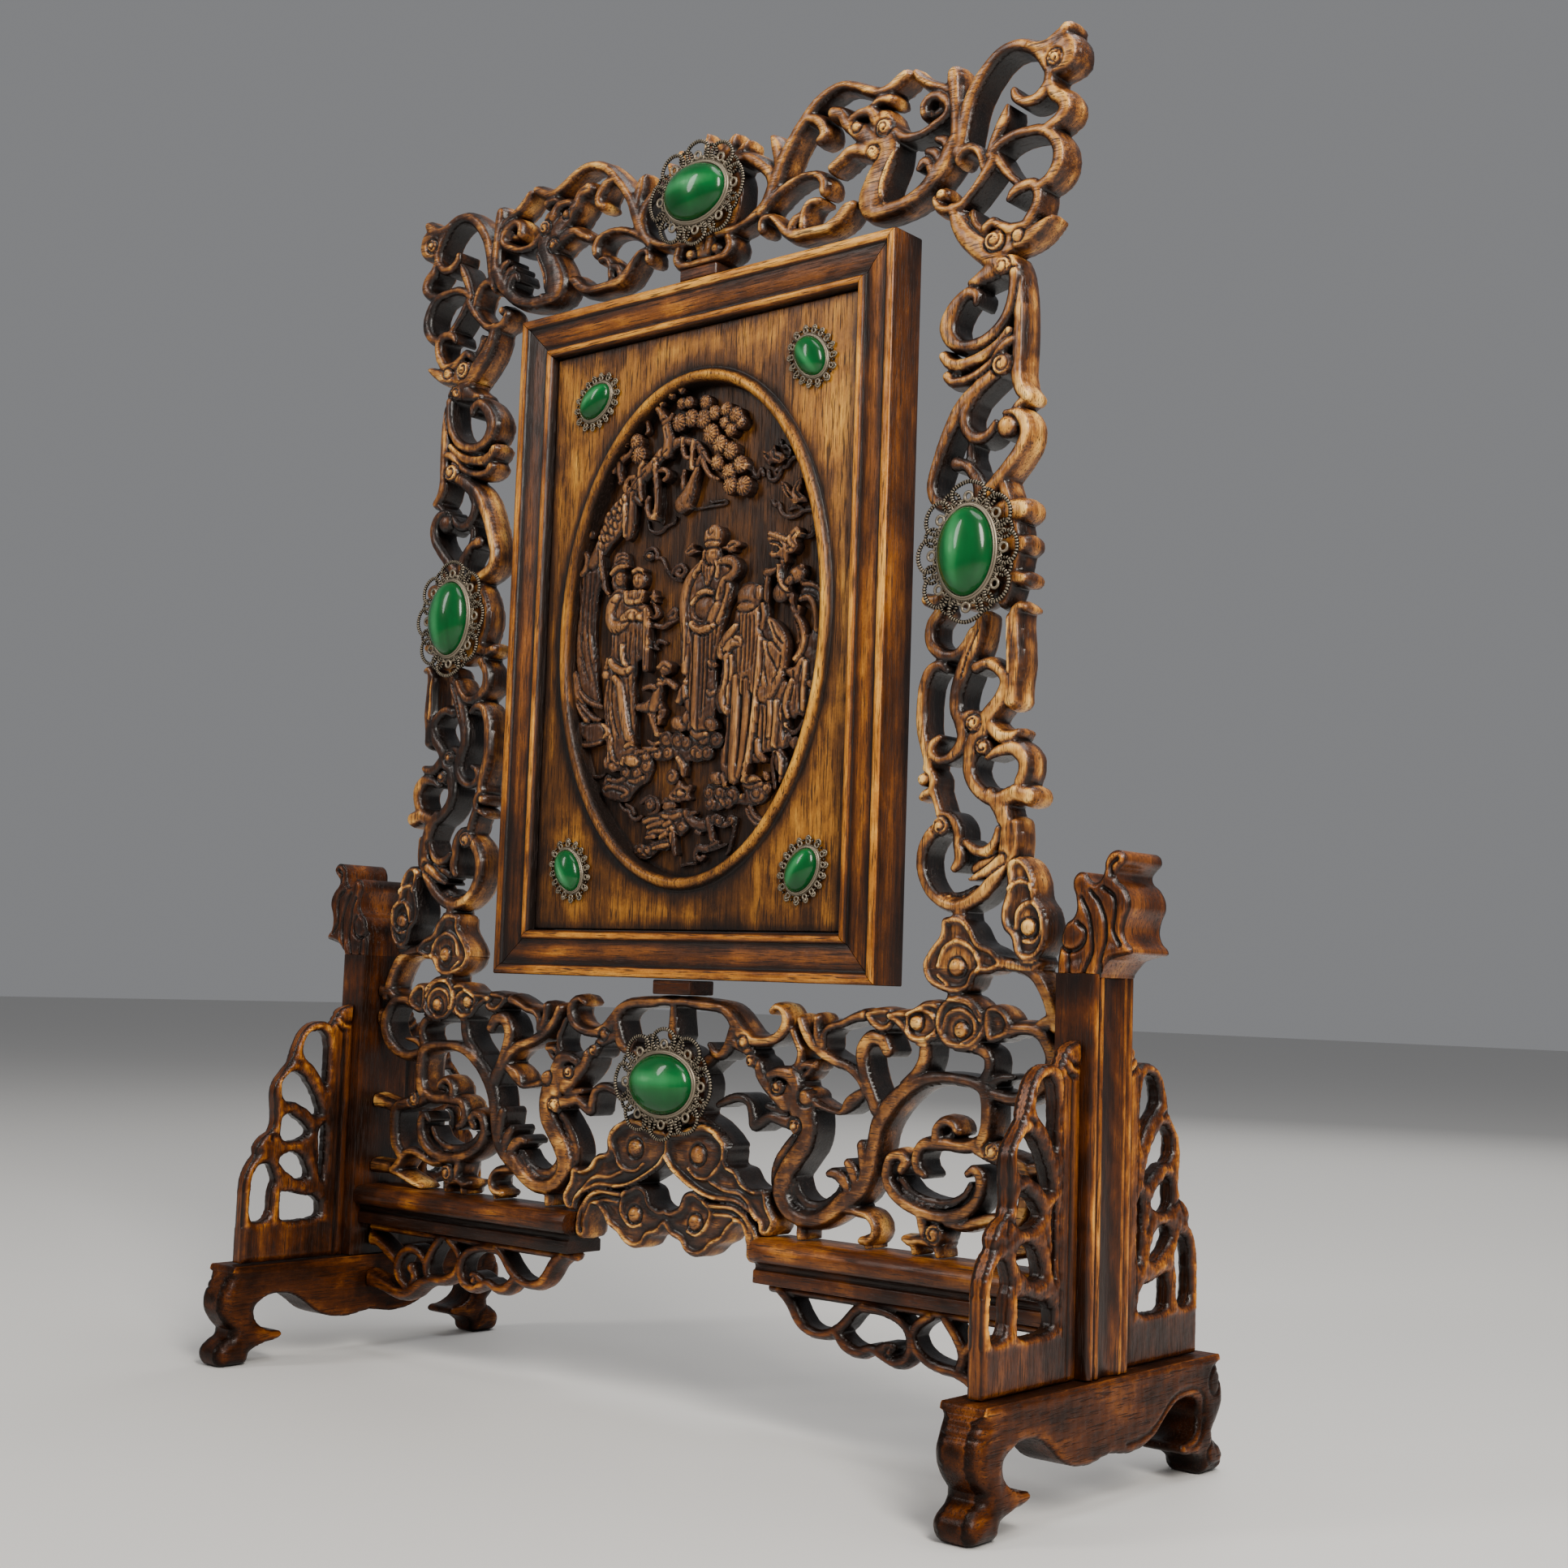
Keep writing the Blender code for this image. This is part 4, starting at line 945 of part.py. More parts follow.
# ---------------------------------------------------------------- pierced spandrels
# Drawn in distance from the post centre line (y) and height (z).
SPANDREL = [(10.5, 32.0), (51.5, 32.0), (51.6, 55.0), (51.0, 60.0), (49.2, 63.8), (47.4, 66.6),
            (46.9, 69.6), (44.7, 72.4), (41.6, 74.4), (40.5, 77.5), (40.8, 82.0), (41.2, 87.0),
            (40.3, 90.6), (37.6, 94.0), (35.0, 97.6), (33.4, 102.0), (31.2, 106.6), (27.6, 109.7),
            (22.8, 110.6), (19.2, 109.4), (17.6, 111.8), (15.4, 114.8), (10.5, 116.4)]
PIERCE = [
    [(30.2, 104.2), (28.4, 106.8), (24.6, 107.8), (21.4, 106.6), (19.9, 103.0), (19.6, 97.0), (19.8, 90.8),
     (21.2, 88.6), (23.4, 92.0), (26.6, 95.6), (29.8, 98.2), (30.8, 101.2)],
    [(38.6, 90.2), (36.4, 93.0), (33.0, 94.2), (29.4, 92.4), (25.8, 88.4), (23.2, 83.6), (22.0, 79.6),
     (24.4, 78.6), (28.0, 80.8), (32.6, 83.0), (36.2, 83.6), (38.4, 86.0)],
    [(38.3, 76.4), (37.2, 79.4), (34.0, 80.2), (30.6, 78.2), (27.4, 75.8), (26.0, 73.6), (28.2, 71.4),
     (32.4, 70.4), (36.4, 70.6), (38.2, 72.8)],
    [(20.2, 76.2), (22.3, 75.2), (22.7, 71.0), (22.3, 65.0), (21.9, 60.0), (20.2, 57.4), (19.3, 60.6),
     (19.1, 68.0), (19.2, 74.0)],
    [(38.2, 64.2), (36.6, 66.8), (32.6, 67.6), (28.6, 65.8), (25.9, 61.4), (25.7, 58.6), (28.4, 57.4),
     (32.0, 58.4), (35.4, 60.8)],
    [(49.0, 56.6), (48.2, 61.0), (45.6, 63.8), (42.4, 64.4), (40.4, 62.0), (39.0, 58.2), (40.0, 53.6),
     (40.2, 48.6), (41.4, 45.6), (44.6, 44.3), (48.0, 45.3), (49.2, 49.0)],
    [(36.6, 54.8), (33.0, 54.6), (27.6, 53.3), (23.0, 52.5), (20.4, 50.2), (20.0, 46.4), (23.2, 44.5),
     (30.0, 44.2), (35.8, 44.6), (37.2, 47.6), (37.0, 52.0)],
]
for side, stag in ((1, "right"), (-1, "left")):
    for way, wtag in ((-1, "front"), (1, "back")):
        edge = [(way * y, z) for y, z in SPANDREL]
        holes = [[(way * y, z) for y, z in h] for h in PIERCE]
        lo, hi = sorted((side * SPANDREL_X0, side * SPANDREL_X1))
        prism("spandrel_%s_%s" % (wtag, stag), edge, lo, hi, "stand", axis="x", holes=holes)

# ---------------------------------------------------------------- mitred frame
# Section: distance in from the outer edge, and Y of the front; the back is plain.
FRAME_SECTION = [(0.0, -6.2), (0.7, -7.2), (2.6, -7.2), (3.6, -6.2), (7.2, -5.7), (11.2, -5.0),
                 (11.7, -6.1), (13.2, -6.4), (14.2, -5.4), (14.4, -4.2), (14.4, 6.2), (13.4, 7.1), (1.2, 7.1),
                 (0.0, 6.0)]


def frame_member(name, which):
    """One mitred member: its section swept between the two 45 degree cuts."""
    W, z0, z1 = PANEL_HALF_W, PANEL_Z0, PANEL_Z1
    g = GAP / 2
    verts = []
    n = len(FRAME_SECTION)
    for end in (0, 1):
        for d, y in FRAME_SECTION:
            if which == "bottom":
                x, z = (-W + d + g, z0 + d) if end == 0 else (W - d - g, z0 + d)
            elif which == "top":
                x, z = (-W + d + g, z1 - d) if end == 0 else (W - d - g, z1 - d)
            elif which == "left":
                x, z = (-W + d, z0 + d + g) if end == 0 else (-W + d, z1 - d - g)
            else:
                x, z = (W - d, z0 + d + g) if end == 0 else (W - d, z1 - d - g)
            verts.append((x * MM, y * MM, z * MM))
    faces = [tuple(range(n)), tuple(reversed(range(n, 2 * n)))]
    faces += [(i, (i + 1) % n, (i + 1) % n + n, i + n) for i in range(n)]
    return add_object(name, verts, faces, "frame")


for which in ("bottom", "top", "left", "right"):
    frame_member("frame_" + which, which)

# ---------------------------------------------------------------- carved panel ground
def relief_ground():
    """Board inside the frame: flat corners, a raised oval bead, and a sunken oval
    whose carved scene stands up from its floor in two steps."""
    hw = PANEL_HALF_W - FRAME_W - GAP
    z0, z1 = PANEL_Z0 + FRAME_W + GAP, PANEL_Z1 - FRAME_W - GAP
    n = 32
    ia, ib = OVAL_A - OVAL_BEAD, OVAL_B - OVAL_BEAD
    rings = [(OVAL_A, OVAL_B, GROUND_Y), (OVAL_A - 1.2, OVAL_B - 1.2, GROUND_Y - 2.2),
             (ia + 1.2, ib + 1.2, GROUND_Y - 2.2), (ia, ib, FLOOR_Y)]
    verts, faces = [], []
    for a, b, y in rings:
        for k in range(n):
            t = 2 * math.pi * k / n
            verts.append((a * math.sin(t) * MM, y * MM, (OVAL_Z + b * math.cos(t)) * MM))
    for r in range(len(rings) - 1):
        for k in range(n):
            a, b = r * n + k, r * n + (k + 1) % n
            faces.append((a, b, b + n, a + n))
    # floor of the oval with the scene standing on it
    xs = np.arange(-ia, ia + SCENE_CELL, SCENE_CELL)
    zs = np.arange(OVAL_Z - ib, OVAL_Z + ib + SCENE_CELL, SCENE_CELL)
    X, Z = np.meshgrid(xs, zs)
    rim = (1 - np.hypot(X / ia, (Z - OVAL_Z) / ib)) * ia - 1.6
    low = np.minimum(solid_field(X, Z, SCENE_LOW) - 0.1, rim)
    high = np.minimum(np.minimum(solid_field(X, Z, SCENE_HIGH) - 0.1, low - 1.3), rim - 1.3)
    steps = []
    for F, least in ((low, 20.0), (high, 10.0)):
        F[0, :] = F[-1, :] = -1.0
        F[:, 0] = F[:, -1] = -1.0
        loops = [simplify(q, SCENE_TOL) for q in contour_loops(F, xs, zs) if len(q) > 6 and abs(area(q)) > least]
        steps.append([q for q in loops if len(q) > 3])
    start = (len(rings) - 1) * n
    coords = [Vector((verts[start + k][0] / MM, verts[start + k][2] / MM)) for k in range(n)]
    edges = [(k, (k + 1) % n) for k in range(n)]
    for q in steps[0] + steps[1]:
        s = len(coords)
        coords += [Vector((float(x), float(z))) for x, z in q]
        edges += [(s + i, s + (i + 1) % len(q)) for i in range(len(q))]
    vs, _, fs, *_ = geometry.delaunay_2d_cdt(coords, edges, [], 0, 1e-5)
    heights = (FLOOR_Y, FLOOR_Y - 2.6, FLOOR_Y - 4.2)
    level, side_of = {}, {}
    for f in fs:
        c = sum((vs[i] for i in f), Vector((0.0, 0.0))) / len(f)
        if math.hypot(c.x / ia, (c.y - OVAL_Z) / ib) > 1.0:
            continue
        level[tuple(f)] = 2 if inside_loops(c.x, c.y, steps[1]) else 1 if inside_loops(c.x, c.y, steps[0]) else 0
    at = {}

    def place(i, lev):
        if (i, lev) not in at:
            at[(i, lev)] = len(verts)
            verts.append((vs[i].x * MM, heights[lev] * MM, vs[i].y * MM))
        return at[(i, lev)]

    for f, lev in level.items():
        faces.append(tuple(place(i, lev) for i in f))
        for a, b in zip(f, f[1:] + f[:1]):
            side_of[(a, b)] = lev
    for (a, b), lev in side_of.items():
        other = side_of.get((b, a), lev)
        if other < lev:
            faces.append((place(b, lev), place(a, lev), place(a, other), place(b, other)))
    # flat corner field out to the rectangle, each oval point paired with a border point
    border = len(verts)
    for k in range(n):
        t = 2 * math.pi * k / n
        dx, dz = math.sin(t), math.cos(t)
        top, bot = z1 - OVAL_Z, OVAL_Z - z0
        vz = top if dz > 0 else bot
        s = min(hw / max(abs(dx), 1e-9), vz / max(abs(dz), 1e-9))
        verts.append((dx * s * MM, GROUND_Y * MM, (OVAL_Z + dz * s) * MM))
    corners = {}
    for cx, cz in ((hw, z1), (hw, z0), (-hw, z0), (-hw, z1)):
        verts.append((cx * MM, GROUND_Y * MM, cz * MM))
        corners[(cx, cz)] = len(verts) - 1
    rim = []
    for k in range(n):
        a, b = border + k, border + (k + 1) % n
        faces.append((k, (k + 1) % n, b, a))
        rim.append(a)
        va, vb = Vector(verts[a]) / MM, Vector(verts[b]) / MM
        if abs(va.x - vb.x) > 0.05 and abs(va.z - vb.z) > 0.05:
            key = min(corners, key=lambda c: (c[0] - (va.x + vb.x) / 2) ** 2 + (c[1] - (va.z + vb.z) / 2) ** 2)
            faces.append((a, b, corners[key]))
            rim.append(corners[key])
    back = len(verts)
    for i in rim:
        x, _, z = verts[i]
        verts.append((x, 4.6 * MM, z))
    m = len(rim)
    for k in range(m):
        faces.append((rim[k], rim[(k + 1) % m], back + (k + 1) % m, back + k))
    faces.append(tuple(back + k for k in range(m)))
    return add_object("relief_panel", verts, faces, "relief")


relief_ground()

# ---------------------------------------------------------------- blocks that carry the panel
def block(name, z0, z1):
    c = 0.6
    hx, hy = 7.6, 5.6
    sec = [(-hy, z0), (-hy, z1), (hy, z1), (hy, z0)]
    sec = [(-hy + c, z0), (-hy, z0 + c), (-hy, z1 - c), (-hy + c, z1), (hy - c, z1), (hy, z1 - c), (hy, z0 + c),
           (hy - c, z0)]
    return bar_along_x(name, sec, -hx, hx, "stand")


block("block_bottom", 124.0, PANEL_Z0 - GAP)
block("block_top", PANEL_Z1 + GAP, 350.4)

# ---------------------------------------------------------------- cabochons and settings
def cabochon(name, cx, cz, face_y, size, turn):
    """Low dome over an oval girdle."""
    a, b, h = size
    n = 12
    verts, faces = [], []
    levels = [(1.0, 0.9), (1.0, 0.0)] + [(math.cos(math.radians(w)), -h * math.sin(math.radians(w)))
                                       for w in (34, 62)]
    for s, y in levels:
        for x, z in oval(cx, cz, a * s, b * s, n, turn):
            verts.append((x * MM, (face_y - 0.9 + y) * MM, z * MM))
    verts.append((cx * MM, (face_y - 0.9 - h) * MM, cz * MM))
    for r in range(len(levels) - 1):
        for k in range(n):
            a0, b0 = r * n + k, r * n + (k + 1) % n
            faces.append((a0, b0, b0 + n, a0 + n))
    top = (len(levels) - 1) * n
    faces += [(top + k, top + (k + 1) % n, len(verts) - 1) for k in range(n)]
    faces.append(tuple(reversed(range(n))))
    return add_object(name, verts, faces, "stone")


def setting(name, cx, cz, face_y, size, reach, lobes, turn):
    """Pierced-wire collar as a scalloped ring round the girdle."""
    a, b, _ = size
    outer = []
    for k in range(lobes * 2):
        t = 2 * math.pi * k / (lobes * 2)
        r = 1.0 if k % 2 else 0.93
        outer.append((math.cos(t) * (a + reach) * r, math.sin(t) * (b + reach) * r))
    c, s = math.cos(turn), math.sin(turn)
    outer = [(cx + x * c - z * s, cz + x * s + z * c) for x, z in outer]
    inner = oval(cx, cz, a + 0.5, b + 0.5, 12, turn)[::-1]
    return prism(name, outer, face_y - 1.9, face_y, "wire", holes=[inner])


UP, LEVEL = math.pi / 2, 0.0
GEMS = [
    ("side_right", 106.4, 247.9, GEM_FACE_Y, GEM_BIG, 7.2, 8, UP),
    ("side_left", -106.4, 247.9, GEM_FACE_Y, GEM_BIG, 7.2, 8, UP),
    ("top", 0.0, 373.4, GEM_FACE_Y, GEM_BIG, 7.2, 8, LEVEL),
    ("bottom", 0.0, 97.2, GEM_FACE_Y, GEM_BIG, 7.2, 8, LEVEL),
    ("corner_upper_left", -43.9, 314.2, GROUND_Y - 0.4, GEM_SMALL, 3.4, 7, math.radians(35)),
    ("corner_upper_right", 45.9, 314.1, GROUND_Y - 0.4, GEM_SMALL, 3.4, 7, math.radians(130)),
    ("corner_lower_left", -47.4, 162.0, GROUND_Y - 0.4, GEM_SMALL, 3.4, 7, math.radians(120)),
    ("corner_lower_right", 48.6, 161.2, GROUND_Y - 0.4, GEM_SMALL, 3.4, 7, math.radians(55)),
]
for tag, cx, cz, fy, size, reach, lobes, turn in GEMS:
    setting("setting_" + tag, cx, cz, fy, size, reach, lobes, turn)
    cabochon("cabochon_" + tag, cx, cz, fy, size, turn)
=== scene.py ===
"""Carved wooden table screen: the visible surfaces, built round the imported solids.

Millimetres are used for every drawn number; MM turns them into metres. The carved
boards are height fields cut from stroke drawings: each stroke is a strand, plate,
cloud, knob or line, and the strands' faces are rounded, overlapped and grooved as a
carver leaves them."""
import math
import bpy
import numpy as np
from mathutils import Vector, Matrix


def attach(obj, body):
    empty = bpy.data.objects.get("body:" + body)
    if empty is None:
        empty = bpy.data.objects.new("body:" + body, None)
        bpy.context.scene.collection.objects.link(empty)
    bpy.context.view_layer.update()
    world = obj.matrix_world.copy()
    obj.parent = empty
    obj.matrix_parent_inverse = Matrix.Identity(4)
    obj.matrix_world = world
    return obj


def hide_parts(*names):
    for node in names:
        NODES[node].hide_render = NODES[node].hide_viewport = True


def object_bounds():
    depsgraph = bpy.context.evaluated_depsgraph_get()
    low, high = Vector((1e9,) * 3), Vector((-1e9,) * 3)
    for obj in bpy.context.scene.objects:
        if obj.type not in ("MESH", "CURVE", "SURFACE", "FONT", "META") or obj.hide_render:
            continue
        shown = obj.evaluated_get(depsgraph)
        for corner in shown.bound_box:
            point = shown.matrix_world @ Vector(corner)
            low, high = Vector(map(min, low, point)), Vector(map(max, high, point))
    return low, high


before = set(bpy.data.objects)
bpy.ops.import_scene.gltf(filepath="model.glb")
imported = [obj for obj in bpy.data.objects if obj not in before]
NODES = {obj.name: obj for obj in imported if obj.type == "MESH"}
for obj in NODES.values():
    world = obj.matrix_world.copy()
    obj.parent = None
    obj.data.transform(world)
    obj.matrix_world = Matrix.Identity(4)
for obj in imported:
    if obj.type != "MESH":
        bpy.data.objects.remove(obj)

MM = 0.001
CAD_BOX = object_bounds()

# driving sizes, as in the solids
BOARD_HALF = 6.5
SEAM_TOP, SEAM_LOW, GAP = 331.0, 134.0, 0.3
PANEL_HALF_W, PANEL_Z0, PANEL_Z1 = 78.0, 128.7, 346.2
FRAME_W, GROUND_Y = 14.4, -3.2
OVAL_Z, OVAL_A, OVAL_B, OVAL_BEAD = 236.7, 56.3, 81.3, 4.4
POST_X0, POST_X1, POST_HALF_Y, POST_Z0 = 139.3, 151.2, 10.2, 32.0
FOOT_X0, FOOT_X1, FOOT_TOP = 138.7, 152.7, 31.7
SPANDREL_X0, SPANDREL_X1 = 142.2, 148.5
RAIL_X0, APRON_HALF = 37.9, 4.5


# ------------------------------------------------------------------ drawings of the carving
# Each entry is (kind, depth of its crown below the board face, points):
#   R round limb, o limb laid over its neighbours, L low ledge      (x, z, half width)
#   P flat seat, D dished cloud, both closed outlines               (x, z)
#   K knob, V volute                                                (x, z, radius)
#   E raised rim line, G incised line                               (x, z, half width)
# The right half is drawn; the left half mirrors it.
# crest rail: gem seat, arches, dragon, bud, horn loop (right half)
CREST = [
    ('P', 3.6, [(0, 388.1), (6.2, 386.1), (12.2, 381.1), (14.7, 374.1), (13.2, 365), (9.2, 360.5),
        (0, 359.5)]),
    ('R', 2.2, [(-1.3, 385.1, 3.4), (-0.7, 390.1, 2), (0, 393.5, 0.5)]),
    ('R', 2.2, [(6.2, 384.1, 3.2), (9.8, 387.7, 2.2), (11.6, 390.5, 0.8)]),
    ('R', 2.4, [(11.2, 381.6, 3), (14.5, 385.1, 2), (16.4, 387.6, 0.7)]),
    ('R', 2, [(11.2, 383.1, 2.2), (17.2, 382.1, 2), (22.2, 379.1, 2.1), (26.3, 375.4, 2.2),
        (27.9, 371.5, 2.5), (26.9, 367.5, 2.4), (23.8, 364.4, 2), (19.2, 362, 1.4), (13.2, 360.3, 1.3),
        (6.2, 360.2, 1.5)]),
    ('R', 2.2, [(0, 352.3, 1.5), (5.2, 352.3, 1.5), (9.2, 352.9, 1.8), (11.2, 355.3, 2.1),
        (10.4, 358.2, 1.8)]),
    ('R', 3, [(2.2, 359, 2.5), (1.2, 355.5, 2.5), (0, 355, 2.5)]),
    ('K', 2, [(5.4, 355.7, 1.9)]),
    ('R', 1.9, [(23.2, 363, 1.8), (26.8, 367.5, 2.6), (29.3, 373, 2.9), (32.3, 379.1, 2.3),
        (35.8, 384.1, 2.1), (39.8, 388.6, 2.1), (44.3, 392.7, 1.9), (49.4, 395.1, 1.7),
        (54.4, 395.6, 1.6), (59.4, 393.9, 1.6), (64.4, 391.4, 1.7), (68.4, 390, 1.7),
        (72.5, 390.4, 1.8), (75.7, 392.1, 2), (77.5, 392.9, 1.7)]),
    ('R', 2.2, [(30.1, 376.1, 1.8), (29.3, 381.1, 2.5), (28.1, 384.4, 2), (26.7, 386.5, 0.7)]),
    ('R', 1.9, [(40.3, 388.7, 1.5), (44.5, 387.4, 1.9), (47.2, 384.3, 2.1), (47.3, 381.6, 1.9),
        (45.5, 380.5, 1.2)]),
    ('R', 2, [(26.3, 365.8, 1.8), (31.3, 368.4, 1.4), (36.3, 370.3, 1.3), (41.3, 370.9, 1.3),
        (45.7, 369.8, 1.6), (47.9, 367.2, 1.9), (47.8, 364.9, 1.8)]),
    ('R', 2, [(23.8, 357.8, 1.6), (24.1, 360.4, 1.4), (27.3, 361, 1.2), (30.3, 358.6, 1.5),
        (33.3, 355.4, 1.9), (37.3, 353.2, 2), (43.3, 352.9, 1.9), (49.4, 352.9, 1.9),
        (53.9, 354.5, 2.2), (56.7, 357, 2.2), (58.7, 358, 1.4)]),
    ('R', 2, [(35.3, 354.5, 1.6), (36.9, 357.7, 1.7), (39.3, 358.7, 1.5)]),
    ('R', 2, [(40.3, 355.5, 1.4), (40.9, 359.6, 1.5), (42.9, 362, 1.4), (45.9, 362.2, 1)]),
    ('R', 1.6, [(68.9, 380.1, 4.6), (71.5, 374.1, 4.3), (71.1, 368.5, 4.3), (68, 363, 4.7),
        (66.2, 357.5, 5), (68, 353.9, 2.9), (74.5, 353.4, 2.3), (80.5, 354.4, 2.2), (85.5, 356.6, 2.4),
        (89.5, 360, 2.8), (93, 364, 3), (96, 369, 2.3)]),
    ('E', 1, [(75.5, 370.5, 0.6), (72.1, 364.5, 0.7), (70.5, 359, 0.7), (72, 355, 0.5)]),
    ('R', 1.4, [(56.4, 383.6, 1.8), (59.4, 380.6, 2.4), (63.4, 378.1, 3.4), (66.4, 375.1, 3.6)]),
    ('R', 0.9, [(51.6, 387.5, 2.3), (54.9, 386.1, 2.2), (56.9, 383.1, 2.4), (59.4, 380.6, 2.2)]),
    ('R', 1, [(59.2, 384.1, 1.4), (62.4, 384.9, 1.6), (65.9, 384.1, 1.9), (68, 380.9, 1.9)]),
    ('K', 0.6, [(61, 380.7, 1.6)]),
    ('R', 1.6, [(51, 370.7, 1.5), (53.9, 372.2, 1.8), (57.9, 374.4, 1.9), (62.4, 373.9, 2.4),
        (65.9, 372.5, 2.4)]),
    ('V', 0.9, [(67, 371.4, 2.3)]),
    ('V', 0.7, [(71.1, 378.1, 2.5)]),
    ('R', 2, [(64.9, 385.7, 1.3), (68.4, 387.4, 1.4), (72.1, 386.9, 1.8)]),
    ('R', 2, [(84.7, 379.1, 1.6), (84.7, 381.9, 1.7), (87.1, 383.7, 1.6), (90.5, 383.1, 1.8),
        (93.3, 380.1, 1.7), (92.5, 377.1, 1.5), (88.5, 375, 1.5), (83.5, 373.4, 1.4),
        (78.5, 373.8, 1.6), (74.5, 376.1, 2)]),
    ('L', 4.2, [(87, 378.7, 1.2), (90.5, 379.9, 1.5)]),
    ('R', 2, [(80.9, 392.7, 1), (83.1, 390, 1.4), (87, 387.4, 1.5), (91.5, 385.3, 1.4), (95, 383.1, 1.8)]),
    ('R', 1.7, [(96.2, 367, 2.2), (96.2, 373, 2.2), (95.8, 380.1, 2.1), (95.1, 386.1, 2.6),
        (94.8, 388.6, 2.4)]),
    ('R', 1.9, [(97.1, 365, 2.8), (98.4, 371.5, 2.7), (100, 377.6, 2.5), (102.5, 382.7, 2.4),
        (106.2, 387.1, 2.2), (110.6, 390.4, 2), (115.6, 391.4, 1.9), (120.7, 389.8, 2.1),
        (124.7, 386.4, 2.4), (127.3, 382.1, 2.4)]),
    ('R', 1.6, [(120.7, 389.6, 1.2), (126.2, 388.1, 2.4), (130.2, 389.6, 2.7), (132.6, 391.9, 1.9)]),
    ('R', 1.6, [(128.5, 385.6, 3.2), (132.3, 387.1, 3.4), (133, 383.6, 3.6), (129.7, 381.6, 2.6)]),
    ('V', 1, [(129.3, 383.7, 2.4)]),
    ('R', 2, [(127.5, 381.1, 2.2), (126.6, 377.1, 1.9), (123.3, 374.2, 1.7), (119.3, 374.1, 1.5),
        (116.4, 376.1, 1.5), (115.7, 377.9, 1.2)]),
    ('R', 2, [(127.2, 378.1, 1.6), (128.7, 374.5, 2.2), (131.7, 372, 2.5), (132.6, 369, 2.5),
        (130.5, 366.4, 2), (126.7, 364.7, 1.7)]),
    ('R', 1.9, [(108.2, 361.4, 1.9), (111.2, 363.7, 1.5), (115.6, 365.2, 1.5), (120.7, 365.2, 1.5),
        (125.7, 364.4, 1.7), (129.1, 361.6, 2), (130.9, 357.6, 2.3), (130.6, 353.6, 2.4),
        (128.1, 350.2, 2), (124.7, 348.7, 1.6)]),
    ('R', 1.9, [(115, 346.9, 0.9), (116.5, 348.8, 1.6), (119.7, 350, 1.8), (123.1, 349.4, 1.8),
        (124.5, 346.4, 1.9), (123.7, 342.9, 1.9), (121.3, 339.7, 1.7)]),
    ('R', 2.2, [(109.9, 360.5, 1.7), (112.4, 356.8, 1.4), (115.6, 353, 1.2), (118.5, 350.5, 1.3)]),
    ('R', 1.9, [(91.9, 353.8, 1.9), (89.7, 352.4, 1.5), (91.1, 349.6, 1.5), (95.1, 348.5, 1.5),
        (99.6, 349.7, 1.5), (103.6, 353.2, 1.6), (106.9, 356.8, 1.9), (109.1, 360, 1.8)]),
    ('K', 1.6, [(91.7, 353.5, 1.7)]),
    ('R', 2, [(96.9, 362.3, 1.2), (98.1, 364.4, 1.5), (100.9, 365.2, 1.5), (103.6, 363.8, 1.4),
        (105.1, 361, 1.4), (105.9, 358.3, 1.4)]),
    ('R', 2, [(108.1, 362.5, 1.3), (110.4, 367, 1.9), (112.6, 371, 1.9), (113.9, 374.1, 0.6)]),
    ('R', 2, [(94.1, 365.5, 2), (92.5, 369, 1.8), (90, 370.3, 1.2)]),
    ('R', 1.8, [(91.5, 362.5, 2), (89.3, 366.3, 1.8), (86.8, 367.3, 1.3)]),
    ('R', 1.6, [(89, 359.5, 2), (87.3, 363.6, 1.8), (85.2, 364.4, 1.6), (83.8, 362.8, 0.9)]),
]

# neck between crest and stile
NECK = [
    ('P', 4.5, [(96.1, 347.4), (102.1, 346.4), (104.6, 341.9), (107.6, 338.9), (110.6, 334.9),
        (104.6, 332.9), (98.6, 338.9)]),
    ('R', 2, [(95.6, 348.9, 1.8), (96.9, 344.3, 2.4), (99.4, 340.2, 2.8), (103.1, 336.6, 3.1),
        (107.6, 332.9, 3.4), (111.6, 329.5, 3.4)]),
    ('L', 3.2, [(102.2, 346.4, 0.8), (103.2, 342.9, 0.9), (106.1, 339.7, 1)]),
    ('R', 2, [(107.2, 340.5, 1.4), (109.6, 341.7, 1.4), (112.2, 340.1, 1.5), (115.6, 338.6, 1.6),
        (120.2, 338.6, 1.8), (123.7, 341.9, 1.8)]),
    ('P', 3, [(106.6, 337.9), (112.6, 338.9), (120.7, 338.9), (122.7, 334.9), (116.6, 331.9),
        (110.6, 331.4)]),
    ('R', 1.9, [(118.2, 334.4, 2.2), (121.7, 335.4, 2.3), (125.2, 337.2, 1.9), (128.7, 339.1, 0.8)]),
    ('V', 1.4, [(110.2, 336.1, 3.1)]),
    ('K', 1.4, [(118.3, 335.9, 1.9)]),
]

